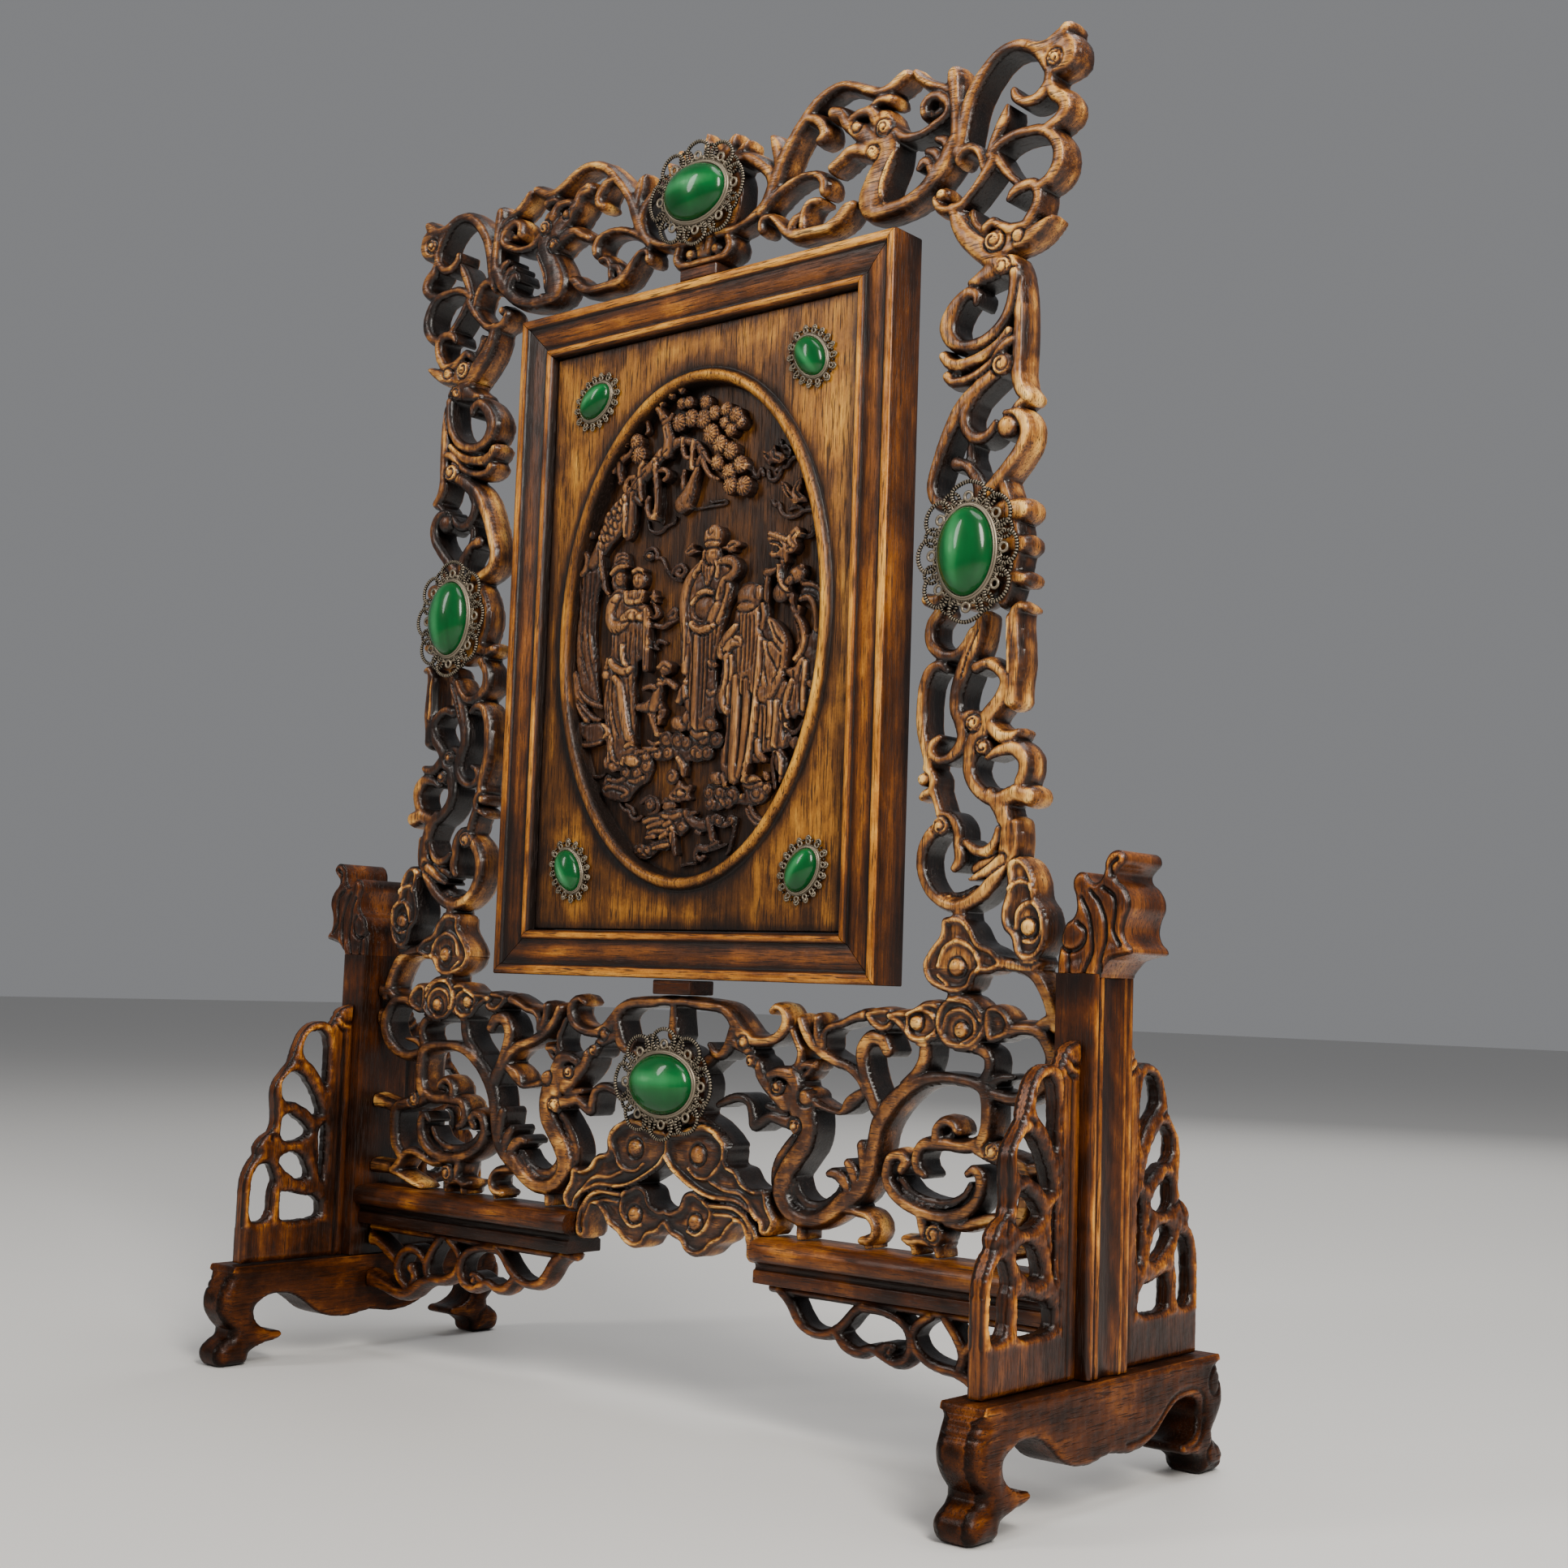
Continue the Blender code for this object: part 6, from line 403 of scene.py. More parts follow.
# pierced apron bracket below the rail (right side)
APRON = [
    ('R', 1, [(40.7, 41.6, 1.1), (78.9, 41.6, 1.1), (138.6, 41.6, 1.1)]),
    ('R', 0.6, [(44.3, 41.7, 1.6), (48.3, 38.5, 1.7), (51.4, 34.1, 1.7), (54.8, 31.6, 1.4),
        (59.3, 30.9, 1.2), (63.8, 31.9, 1.3), (67.8, 34.7, 1.3), (71.3, 38.5, 1.2), (74.9, 40.7, 1.2)]),
    ('R', 0.4, [(65.3, 32.2, 1.3), (68.8, 28.9, 1.6), (73.3, 27.8, 1.4), (77.9, 29.3, 1.2),
        (81.9, 27.9, 1.3), (86.4, 26.8, 1.4), (89.9, 28.5, 1.4), (91.2, 31.7, 1.3), (90.3, 35.7, 1.2),
        (86.9, 38.5, 1.1), (80.9, 40.1, 1.1), (74.9, 40.1, 1.1)]),
    ('R', 0.5, [(79.9, 29.3, 1.1), (82.5, 30.4, 1.3), (85.1, 30.9, 1.1)]),
    ('R', 0.6, [(91.2, 34.9, 1.2), (93.4, 38.1, 1.2), (97.4, 40.7, 1.2)]),
    ('R', 0.4, [(91.3, 34.9, 1.2), (92.9, 31.3, 1.3), (96.5, 28.7, 1.4), (100.9, 27.5, 1.4),
        (106, 26.9, 1.4), (111, 25, 1.6), (116, 22, 1.9), (122, 20.9, 1.9), (129, 22.5, 2),
        (138.6, 24.2, 2.4)]),
    ('R', 0.6, [(107, 27.3, 1.2), (108.2, 31.7, 1.4), (106, 36.2, 1.3), (102.4, 40.5, 1.3)]),
    ('R', 0.5, [(108.2, 32.1, 1.3), (112, 35.2, 1.3), (117, 36, 1.3), (121.2, 33.5, 1.4),
        (123, 29.3, 1.4), (121.4, 25.7, 1.3), (118, 23.7, 1.3)]),
    ('R', 0.6, [(122.6, 30.7, 1.4), (128, 33.7, 1.6), (133, 36.5, 1.6), (138.6, 37.7, 2.2)]),
    ('K', 0.3, [(84.3, 29.3, 1)]),
    ('K', 0.3, [(115.6, 29.9, 1.5)]),
    ('R', 0.9, [(115.6, 29.9, 1.2), (114.4, 26.7, 1.2), (116.4, 23.3, 1.3)]),
]

# The carving in the oval: (kind, height above the floor of the oval or depth of cut,
# rounding of the edge, points), from the back of the scene to the front.
#   B closed plate   T limb (x, z, half width)   C dome (x, z, half axes, turn)
#   F head   N pine-needle tuft   S cloud curl   O bark scale   P pit   G incised fold
RELIEF = [
    ("T", 0.9, 0, [(-5.7, 277, 0.45), (-3.9, 275.5, 0.5), (-2.1, 274.6, 0.45), (3.2, 274.7, 0.4),
          (9.8, 274.7, 0.4), (9.9, 275.9, 0.4), (5, 276, 0.35)]),
    ("T", 0.9, 0, [(3.6, 276.3, 0.45), (4.5, 275.8, 0.35)]),
    ("T", 1.2, 0, [(-22.6, 272.9, 0.5), (-21.9, 270.4, 0.6), (-19.4, 269, 0.7), (-16.5, 269.2, 0.7),
          (-14.7, 270.4, 0.6), (-11.5, 271.3, 0.5), (-10.6, 272.9, 0.4)]),
    ("T", 1.2, 0, [(-17.1, 276.2, 0.4), (-16.6, 273.6, 0.7), (-16.4, 271.8, 0.6)]),
    ("T", 1.6, 0, [(-23.6, 262, 0.5), (-21.8, 263.8, 0.6), (-19.3, 263.8, 0.7), (-17.9, 262, 0.6),
          (-18.3, 260.7, 0.5), (-15.8, 260.4, 0.6), (-14.3, 258.1, 0.6), (-13.3, 255.9, 0.6),
          (-11.1, 255.2, 0.6)]), ("C", 2, 0, [(-21.1, 261.5, 2, 1.5, 0)]),
    ("C", 2.3, 0, [(-20.8, 261.4, 0.9, 0.8, 0)]),
    ("T", 1.8, 0, [(-10.9, 255.2, 0.7), (-9.2, 256.9, 0.8), (-6.7, 257.1, 0.8), (-5.4, 255.2, 0.8),
          (-7, 253.7, 0.8), (-9.2, 254.8, 0.7), (-7.7, 255.7, 0.6)]),
    ("T", 1.2, 0, [(-13.6, 256, 0.5), (-10.8, 253.5, 0.5), (-7.2, 252.4, 0.5)]),
    ("T", 1.4, 0, [(18, 285.9, 0.6), (20.1, 285.1, 0.6), (21.2, 282.9, 0.7), (22.6, 281.6, 0.7),
          (24, 283.8, 0.7), (25.1, 281.8, 0.6)]),
    ("T", 1.4, 0, [(26.9, 282.9, 0.6), (27.6, 280.2, 0.7), (29.5, 279.6, 0.7), (31.2, 280.8, 0.7),
          (32.3, 282.9, 0.6), (34.4, 283.2, 0.6), (36, 285.1, 0.6), (38.8, 285.8, 0.5)]),
    ("T", 1.4, 0, [(31.5, 291.5, 0.6), (32.3, 289.4, 0.6), (34, 289.5, 0.5), (35.5, 287.8, 0.5),
          (34.8, 285.8, 0.5)]), ("T", 1.4, 0, [(31.5, 282.9, 0.5), (29.5, 282.2, 0.5), (30.5, 280.8, 0.4)]),
    ("T", 1.5, 0, [(29.1, 273.2, 0.6), (30.1, 271.7, 0.7), (31.8, 272, 0.7), (32.3, 270, 0.7),
          (34.1, 268.1, 0.7), (36.6, 267.4, 0.7), (39.5, 267.7, 0.7), (41.3, 268.7, 0.6), (45.3, 268.4, 0.5)]),
    ("T", 1.3, 0, [(35.7, 269.7, 0.5), (38.2, 270.2, 0.5), (40.7, 269.7, 0.5)]),
    ("T", 1.6, 0, [(46.4, 266.7, 0.9), (46.7, 264.5, 0.9), (45.3, 263.1, 0.9), (45.3, 261.2, 0.8),
          (42.8, 260.7, 0.7), (40.4, 261.9, 0.6)]),
    ("B", 2.8, 1, [(25.6, 288.9), (27.3, 288.3), (29.1, 288.9), (30.1, 290.2), (30.8, 288.2), (33.4, 287.2),
          (34.4, 285.5), (32.6, 284.2), (29.3, 284.8), (28.3, 283.9), (26.8, 285.3), (26.1, 287)]),
    ("P", 1.2, 0, [(25.8, 287.6, 0.8, 0.6, 40)]), ("G", 0.9, 0, [(26.7, 287.7, 0.35), (28.2, 286.4, 0.4)]),
    ("G", 0.9, 0, [(29.9, 288.3, 0.35), (30.7, 286.4, 0.4), (32.7, 285.4, 0.3)]),
    ("B", 2.8, 1, [(33.3, 278.7), (35.7, 277), (37.3, 274.7), (38.7, 276.7), (41.4, 278.7), (41, 275.9),
          (40.6, 274.2), (43.3, 272.4), (43.6, 270.9), (41, 271.3), (38.7, 271), (36.4, 273.1), (34.7, 274.7),
          (33.7, 276.7)]), ("G", 0.9, 0, [(34.5, 277.1, 0.35), (36.2, 274.2, 0.4), (38.2, 272.5, 0.3)]),
    ("G", 0.9, 0, [(40.4, 277.4, 0.35), (39.2, 274.8, 0.45), (41.2, 272.5, 0.35)]),
    ("G", 0.8, 0, [(37.1, 272.5, 0.3), (36.2, 274.5, 0.3)]),
    ("B", 2.6, 1.6, [(-54.3, 257.8), (-52.3, 259.6), (-49.5, 260.2), (-45.2, 261.7), (-42.6, 265.3),
          (-41.9, 261.7), (-40.8, 258.2), (-40.5, 254.9), (-42.3, 251.7), (-43.2, 246.7), (-43.5, 240.2),
          (-43.3, 234.4), (-42.5, 229.5), (-41.5, 222.3), (-39.8, 215.2), (-38.1, 213.7), (-43.1, 215.2),
          (-46.9, 217.3), (-49.5, 222.3), (-51.1, 228.1), (-51.8, 234.4), (-51.6, 240.2), (-51.1, 246.7),
          (-51.5, 252.1), (-53.5, 253.9)]),
    ("B", 3.6, 2.2, [(-47.8, 260.2), (-46.3, 264.2), (-43.9, 267.9), (-42.3, 271.6), (-41, 274.5),
          (-39.8, 277.5), (-37.1, 279.5), (-33.9, 282.2), (-31.6, 283.6), (-30.1, 285.1), (-27.7, 286.1),
          (-25, 289.2), (-21.4, 290.9), (-18.6, 291.4), (-18.8, 288.6), (-21.4, 286.5), (-25, 283.6),
          (-26.3, 281.1), (-29.3, 279.6), (-30.6, 275.8), (-31.7, 272.2), (-33.6, 269.2), (-36.4, 267.2),
          (-38.9, 265), (-41, 262.5), (-42.8, 260.6), (-45, 259.3)]),
    ("T", 4, 0, [(-27, 284.9, 1.9), (-23.2, 288.5, 2), (-19.3, 290.6, 2), (-16, 293.5, 2.2), (-12.5, 295.5, 2.1),
          (-8.2, 296.4, 1.6), (-4.6, 295.9, 1.3), (-1, 294.6, 1.1), (1.5, 292.1, 0.9)]),
    ("T", 4.3, 0, [(-13.6, 293.4, 1.9), (-12.8, 297, 2.3), (-13.5, 300.5, 2.1), (-14.8, 303.5, 1.7),
          (-16, 306.1, 1.3), (-17.8, 308.4, 1), (-19, 309.4, 0.5)]),
    ("T", 3.8, 0, [(-15.2, 303.4, 1.2), (-12.7, 304.3, 0.8), (-11.6, 305.6, 0.5)]),
    ("T", 3.4, 0, [(-37.3, 290.9, 1), (-35, 293.4, 1.3), (-33.6, 294.3, 1.3), (-30.7, 295.3, 0.9),
          (-28.7, 297.1, 0.6)]),
    ("T", 3.2, 0, [(-35, 293.1, 1.2), (-34.8, 290.2, 1), (-33.8, 287.5, 0.8), (-34.1, 286.5, 0.5)]),
    ("T", 3, 0, [(-37.7, 292.4, 0.8), (-36.1, 295.3, 0.6), (-33.4, 298.2, 0.6), (-33, 300.2, 0.5)]),
    ("T", 2.8, 0, [(-24.6, 307.9, 0.6), (-23.6, 305.4, 0.5), (-22.7, 302.2, 0.4), (-23.6, 301.1, 0.3)]),
    ("T", 3.6, 0, [(0, 293.6, 1), (1.3, 290.1, 0.9), (3.3, 286.1, 0.8), (5.9, 283.3, 0.7), (8.9, 282.1, 0.4)]),
    ("T", 3.2, 0, [(1.8, 291.6, 0.8), (3.9, 288.8, 0.6), (7.5, 286.6, 0.5), (10, 285.2, 0.4)]),
    ("T", 3.4, 0, [(-1.6, 285.1, 1.4), (-0.7, 288, 1.2), (0.5, 290.1, 1)]),
    ("T", 3.9, 0, [(-0.3, 286.4, 0.9), (-2.2, 283, 1.5), (-3.6, 280, 2.4), (-5.6, 277.2, 3.1),
          (-6.7, 276.4, 3.2)]), ("t", 3.3, 0, [(-5.8, 286.9, 0.5), (-6.5, 284.4, 0.7), (-6.3, 281.6, 0.8)]),
    ("P", 2.2, 0, [(-9.6, 278.6, 1.2, 1.5, -25)]),
    ("T", 3.4, 0, [(-28.2, 282.3, 1.2), (-28.2, 278, 1.6), (-28.5, 273, 1.7), (-29.2, 269.5, 1.5),
          (-29.9, 268.5, 1.2)]),
    ("T", 3.9, 0, [(-27, 287.4, 0.6), (-29.7, 287.2, 0.7), (-31, 285, 0.7), (-31.1, 279.2, 0.7),
          (-30.7, 272.8, 0.7), (-30.3, 268.7, 0.6)]),
    ("T", 4.3, 0, [(-23.2, 291.6, 0.6), (-24.5, 289.8, 0.7), (-24.6, 286.3, 0.7), (-23.8, 282, 0.7),
          (-22.9, 279.4, 0.5)]),
    ("T", 4.6, 0, [(-17.9, 291.9, 0.7), (-17.3, 287.6, 0.8), (-16.6, 281.9, 0.8), (-16.3, 276.9, 0.8),
          (-16.9, 273.9, 0.8), (-18.7, 273.3, 0.8), (-20.1, 275.4, 0.7), (-20.5, 278.2, 0.7),
          (-19.5, 279.7, 0.6)]), ("T", 3.2, 0, [(-26.9, 280.9, 1.4), (-25.4, 279.5, 1.2), (-24.1, 278.4, 0.7)]),
    ("T", 4.2, 0, [(-15.9, 287.9, 0.6), (-14.3, 288.1, 0.8), (-12.6, 287.3, 0.8), (-12.3, 285.7, 0.7),
          (-13.6, 284.6, 0.6)]),
    ("T", 4.4, 0, [(-6.2, 296.9, 0.6), (-6.2, 293.9, 0.6), (-4.8, 290.8, 0.7), (-2.2, 290.5, 0.5)]),
    ("T", 4.4, 0, [(-1.8, 295.4, 0.6), (-2.1, 291.9, 0.6), (-2.2, 288.4, 0.6), (-1.8, 286.6, 0.5)]),
    ("T", 3.9, 0, [(-41.4, 269.6, 0.7), (-41.1, 264.9, 0.7), (-40.3, 259.9, 0.7), (-39.1, 255.7, 0.7),
          (-38.6, 252.9, 0.7), (-36.7, 250.7, 0.4)]), ("O", 0.55, 0, [(-38.4, 269.2, 1, 1.7, 25)]),
    ("O", 0.55, 0, [(-36.6, 271, 1, 1.7, 25)]), ("O", 0.55, 0, [(-39.4, 272.2, 1, 1.7, 25)]),
    ("O", 0.55, 0, [(-37.1, 274.5, 1, 1.7, 25)]), ("O", 0.55, 0, [(-35, 272.9, 1, 1.7, 25)]),
    ("O", 0.55, 0, [(-33.9, 275.4, 1, 1.7, 25)]), ("O", 0.55, 0, [(-38, 276.5, 1, 1.7, 25)]),
    ("O", 0.55, 0, [(-35.6, 277, 1, 1.7, 25)]), ("O", 0.55, 0, [(-33.4, 278.1, 1, 1.7, 25)]),
    ("O", 0.55, 0, [(-32.7, 280.1, 1, 1.7, 25)]), ("O", 0.55, 0, [(-31.1, 281.3, 1, 1.7, 25)]),
    ("O", 0.55, 0, [(-35, 279.6, 1, 1.7, 25)]), ("O", 0.55, 0, [(-39.8, 269, 1, 1.7, 25)]),
    ("O", 0.55, 0, [(-40.7, 266.8, 1, 1.7, 25)]),
    ("G", 0.6, 0, [(-48.4, 257.7, 0.3), (-48.4, 250.9, 0.4), (-49, 243.7, 0.4), (-48.4, 236.6, 0.3)]),
    ("G", 0.6, 0, [(-45.9, 258.8, 0.3), (-46.1, 252.3, 0.45), (-46.5, 244.4, 0.4), (-45.8, 235.1, 0.3)]),
    ("G", 0.6, 0, [(-43.8, 257.7, 0.3), (-44.5, 250.9, 0.4), (-44.8, 242.3, 0.4), (-44, 234.3, 0.3)]),
    ("G", 0.6, 0, [(-50, 258, 0.3), (-49.7, 253.8, 0.3)]),
    ("G", 0.6, 0, [(-29.1, 283.3, 0.3), (-25.5, 286.3, 0.4), (-22, 288.8, 0.3)]),
    ("G", 0.6, 0, [(-19.1, 290.1, 0.3), (-16.3, 292.1, 0.35), (-12.7, 294.2, 0.3)]),
    ("G", 0.6, 0, [(-16, 301, 0.3), (-15.4, 298.2, 0.4), (-16.3, 295.3, 0.3)]),
    ("G", 0.6, 0, [(-13.7, 301, 0.3), (-12.8, 298.2, 0.35)]),
    ("G", 0.6, 0, [(-49.5, 239, 0.3), (-48.1, 231.8, 0.4), (-45.2, 223.9, 0.3)]),
    ("G", 0.6, 0, [(-46.6, 239.7, 0.3), (-45.2, 232.5, 0.4), (-42.3, 223.2, 0.3)]),
    ("G", 0.6, 0, [(-44.2, 238.2, 0.3), (-42.7, 230.3, 0.4)]),
    ("G", 0.6, 0, [(-48.8, 231.1, 0.3), (-46.9, 226, 0.3)]),
    ("T", 3.4, 0, [(-53.6, 257.6, 1.2), (-50.9, 258.1, 1), (-48.3, 259.9, 1), (-47.5, 262.7, 1),
          (-48.7, 265.1, 1), (-50.9, 265.5, 0.9), (-51.9, 264, 0.8), (-51.6, 262.1, 0.7)]),
    ("P", 1.4, 0, [(-51.7, 263.2, 1.1, 1.3, 0)]), ("C", 3.2, 0, [(-46.8, 271.2, 1.7, 1.6, 0)]),
    ("N", 4.6, 0, [(-32.3, 299.4, 1.8)]), ("N", 4.6, 0, [(-28.7, 302.7, 1.2)]),
    ("N", 4.6, 0, [(-26.9, 298.9, 2.6)]), ("N", 4.6, 0, [(-25.5, 294.4, 2.9)]), ("N", 4.6, 0, [(-16.2, 310, 1.2)]),
    ("N", 4.6, 0, [(-11.9, 311.8, 1.5)]), ("N", 4.6, 0, [(-7.5, 312.8, 1.4)]), ("N", 4.6, 0, [(-7.5, 308.3, 1.9)]),
    ("N", 4.6, 0, [(-4.4, 308.3, 1.9)]), ("N", 4.6, 0, [(2.4, 307.3, 2.3)]), ("N", 4.6, 0, [(-3.3, 303.1, 2.8)]),
    ("N", 4.6, 0, [(-8.2, 302.4, 2.9)]), ("N", 4.6, 0, [(6.3, 303.4, 2.3)]), ("N", 4.6, 0, [(1.7, 302.1, 3)]),
    ("N", 4.6, 0, [(11.3, 303.7, 2.3)]), ("N", 4.6, 0, [(10.8, 299.6, 1.9)]), ("N", 4.6, 0, [(17.1, 298.9, 2.1)]),
    ("N", 4.6, 0, [(15.2, 301.3, 2.6)]), ("N", 4.6, 0, [(13.5, 296.9, 2.1)]), ("N", 4.6, 0, [(5.2, 296.9, 3.1)]),
    ("N", 4.6, 0, [(9.2, 293.1, 2.8)]), ("N", 4.6, 0, [(13.8, 290.3, 2.7)]), ("N", 4.6, 0, [(8.1, 287.4, 2.4)]),
    ("N", 4.6, 0, [(17.5, 285.6, 2.7)]), ("N", 4.6, 0, [(13.1, 283.7, 2.7)]), ("N", 4.6, 0, [(19.5, 278.6, 3)]),
    ("N", 4.6, 0, [(13.8, 279.4, 2.7)]),
    ("T", 3.2, 0, [(-18.9, 309.4, 0.7), (-16.1, 310.4, 0.5), (-13.9, 311.7, 0.5)]),
    ("B", 3, 1.2, [(-36.4, 257.7), (-35.5, 262.3), (-34, 263.9), (-30.4, 263.6), (-29.4, 261.6), (-29.1, 258.8),
          (-30.7, 257.7), (-30.3, 253.8), (-31.3, 250.5), (-34.5, 250.9), (-36.1, 253.8)]),
    ("T", 3.8, 0, [(-35.9, 257, 0.5), (-34.2, 258.3, 0.9), (-31.8, 259, 0.9), (-28.5, 258.8, 0.5)]),
    ("G", 0.5, 0, [(-34.4, 260.5, 0.3), (-31.9, 261.4, 0.3), (-29.2, 260.8, 0.3)]),
    ("G", 0.5, 0, [(-33.7, 262.3, 0.3), (-31.8, 262.8, 0.3), (-29.9, 262.3, 0.3)]),
    ("F", 3.9, 0, [(-32.1, 255.1, 2.2, 2.6, 8)]),
    ("B", 3.2, 1.2, [(-34.3, 251.9), (-30.7, 251.9), (-28.9, 248), (-20.4, 245.8), (-19.8, 243.7),
          (-19.9, 234.2), (-18.9, 229.4), (-23.2, 227.9), (-23.9, 225.1), (-24.8, 220.8), (-23.9, 216.5),
          (-23.2, 210.7), (-23.2, 202.2), (-21.8, 197.9), (-28.9, 193.6), (-35.4, 195.4), (-35.4, 200.7),
          (-36.2, 207.9), (-37.1, 215), (-36.6, 222.2), (-35.4, 229.4), (-34.9, 236.5), (-37.5, 243.7),
          (-37.5, 248)]), ("F", 4.1, 0, [(-23.7, 254, 3, 3.3, 0)]),
    ("T", 4.3, 0, [(-25.4, 256.7, 0.6), (-23.5, 257.3, 0.7), (-21.5, 256.7, 0.6)]),
    ("B", 3.9, 1, [(-29.1, 250.3), (-26.9, 250.7), (-21.1, 250.3), (-20.8, 247.8), (-22.2, 246.2),
          (-27.6, 246.4), (-29.4, 247.8)]),
    ("T", 4.3, 0, [(-28.5, 250, 0.9), (-27.9, 247.5, 1), (-25.6, 247, 0.9)]),
    ("T", 4.2, 0, [(-20.9, 249.7, 0.7), (-21.9, 247.4, 0.8), (-23.9, 246.9, 0.8)]),
    ("B", 3.6, 0.7, [(-18.8, 248.2), (-17.6, 248.6), (-16.8, 250.4), (-16.1, 248.6), (-14.6, 247.9),
          (-15.8, 247.2), (-15.7, 245.9), (-17, 246.7), (-18.4, 246.2), (-17.7, 247.3)]),
    ("T", 2.6, 0, [(-17.7, 246.5, 0.5), (-16.6, 244.5, 0.7), (-15.8, 242.4, 0.9), (-17.2, 241.4, 0.6)]),
    ("T", 2.2, 0, [(-20.2, 239.8, 0.7), (-17, 239, 0.8), (-13.4, 238.2, 0.8), (-10.6, 239.3, 0.7),
          (-7, 240.3, 0.5)]),
    ("T", 2.4, 0, [(-11.1, 241.7, 0.9), (-9.2, 243.2, 1), (-7.7, 242.4, 0.9), (-8.4, 241, 0.8),
          (-10.4, 240.7, 0.7)]),
    ("T", 4.5, 0, [(-32.6, 249.1, 1.3), (-35, 246.8, 1.9), (-35.4, 242.6, 2.2), (-33.7, 239.8, 2.2),
          (-30.7, 239.8, 2), (-27.7, 242.1, 1.7)]),
    ("T", 4.6, 0, [(-29.1, 241.9, 1.7), (-25.8, 243.3, 1.7), (-22.5, 242, 1.6), (-19.3, 242.5, 1.4)]),
    ("C", 4.8, 0, [(-25.3, 242.3, 1.6, 1.4, 0)]), ("C", 4.8, 0, [(-21.7, 241.7, 1.5, 1.3, 0)]),
    ("G", 0.6, 0, [(-32.9, 246.1, 0.35), (-34, 244.1, 0.4), (-33.3, 241.7, 0.35)]),
    ("G", 0.6, 0, [(-29.4, 240.6, 0.3), (-26.6, 241.1, 0.35), (-20.9, 240.6, 0.3)]),
    ("G", 0.6, 0, [(-34.3, 247.7, 0.3), (-33, 247, 0.3)]), ("G", 0.6, 0, [(-24, 243.5, 0.3), (-24.2, 241.4, 0.3)]),
    ("T", 4.3, 0, [(-19.5, 243.8, 1), (-19.2, 239.1, 1.1), (-19, 234, 1.2), (-18.8, 229.1, 1.3),
          (-18.8, 225.4, 1.3)]), ("G", 0.6, 0, [(-19.1, 238.4, 0.3), (-19, 232, 0.35), (-18.9, 226.3, 0.3)]),
    ("T", 4.5, 0, [(-29, 233.4, 0.6), (-28.9, 230.6, 0.8), (-28.3, 228.1, 0.9), (-26.9, 226.4, 0.7)]),
    ("T", 4.5, 0, [(-34.1, 228.6, 1), (-32.7, 226.8, 1.4), (-29.3, 225.2, 1.5), (-26.3, 225.2, 1.1),
          (-25.1, 225.9, 0.5)]), ("C", 4.2, 0, [(-36.4, 224.4, 1.5, 1.5, 0)]),
    ("T", 3.6, 0, [(-35.8, 229.4, 0.5), (-36.6, 226.6, 0.5)]),
    ("T", 4.4, 0, [(-32, 223.1, 1.2), (-29.8, 220, 1.7), (-28.4, 214.2, 1.8), (-27, 208.5, 1.7),
          (-25.1, 203.9, 1.6), (-23.8, 202, 1.2)]),
    ("T", 3.9, 0, [(-26.4, 200.9, 0.6), (-24.7, 201.8, 0.9), (-23.1, 202.2, 0.5)]),
    ("G", 0.8, 0, [(-33.4, 222.3, 0.35), (-33.6, 216.5, 0.45), (-32.4, 210.1, 0.45), (-29.7, 204, 0.35)]),
    ("G", 0.8, 0, [(-35, 223, 0.35), (-35.1, 215.8, 0.45), (-34.1, 208.7, 0.45), (-32, 203, 0.35)]),
    ("G", 0.8, 0, [(-36, 218.7, 0.3), (-35.8, 211.5, 0.4), (-34.7, 205.8, 0.3)]),
    ("G", 0.8, 0, [(-27.1, 224.8, 0.35), (-26.3, 218.7, 0.4), (-25.3, 211.5, 0.4), (-24.3, 205.8, 0.3)]),
    ("G", 0.8, 0, [(-26.3, 237.3, 0.35), (-26.6, 231.6, 0.4), (-26.3, 228, 0.3)]),
    ("G", 0.8, 0, [(-28.6, 238, 0.3), (-28.3, 233, 0.3)]),
    ("G", 0.8, 0, [(-32, 238, 0.3), (-31.7, 233, 0.35), (-31.1, 229.4, 0.3)]),
    ("G", 0.8, 0, [(-24.3, 238, 0.3), (-24, 229.4, 0.4), (-24.7, 221.5, 0.3)]),
    ("G", 0.8, 0, [(-33.8, 238.7, 0.3), (-33.6, 233, 0.3)]),
    ("G", 0.8, 0, [(-22.8, 237.3, 0.3), (-22.4, 230.1, 0.3)]),
    ("B", 3.6, 1, [(-34.4, 205.8), (-32.7, 204.4), (-32, 200.1), (-30.3, 197.2), (-28.6, 195.8), (-31.4, 194.4),
          (-35, 194.4), (-35.8, 196.5), (-34.6, 200.1)]),
    ("G", 0.7, 0, [(-33.6, 203.7, 0.3), (-33.4, 199.4, 0.35), (-32.8, 195.8, 0.3)]),
    ("G", 0.7, 0, [(-32.4, 201.5, 0.3), (-31.3, 197.9, 0.35), (-30.1, 196.4, 0.3)]),
    ("G", 0.7, 0, [(-34.4, 200.1, 0.3), (-34.6, 196.5, 0.3)]),
    ("T", 3.6, 0, [(-37.4, 208.1, 0.8), (-35.8, 207.5, 1), (-34.6, 205.8, 0.9), (-36, 205, 0.8),
          (-37.8, 204.7, 0.7), (-39, 203.2, 0.6)]),
    ("T", 3.8, 0, [(-18.4, 213.5, 1.6), (-16.2, 211.1, 1.5), (-14.7, 207.5, 1.1), (-12.7, 203.5, 0.8)]),
    ("T", 3.6, 0, [(-13.7, 214.4, 1.5), (-12, 211.2, 1.1), (-12.4, 207.6, 0.6)]),
    ("T", 3.2, 0, [(-12.4, 211.2, 1), (-10.9, 211.5, 0.8), (-11.2, 209.8, 0.6)]),
    ("T", 3.9, 0, [(-14.7, 214.9, 2.2), (-17.9, 213.2, 1.9), (-21.5, 213.1, 1.1)]),
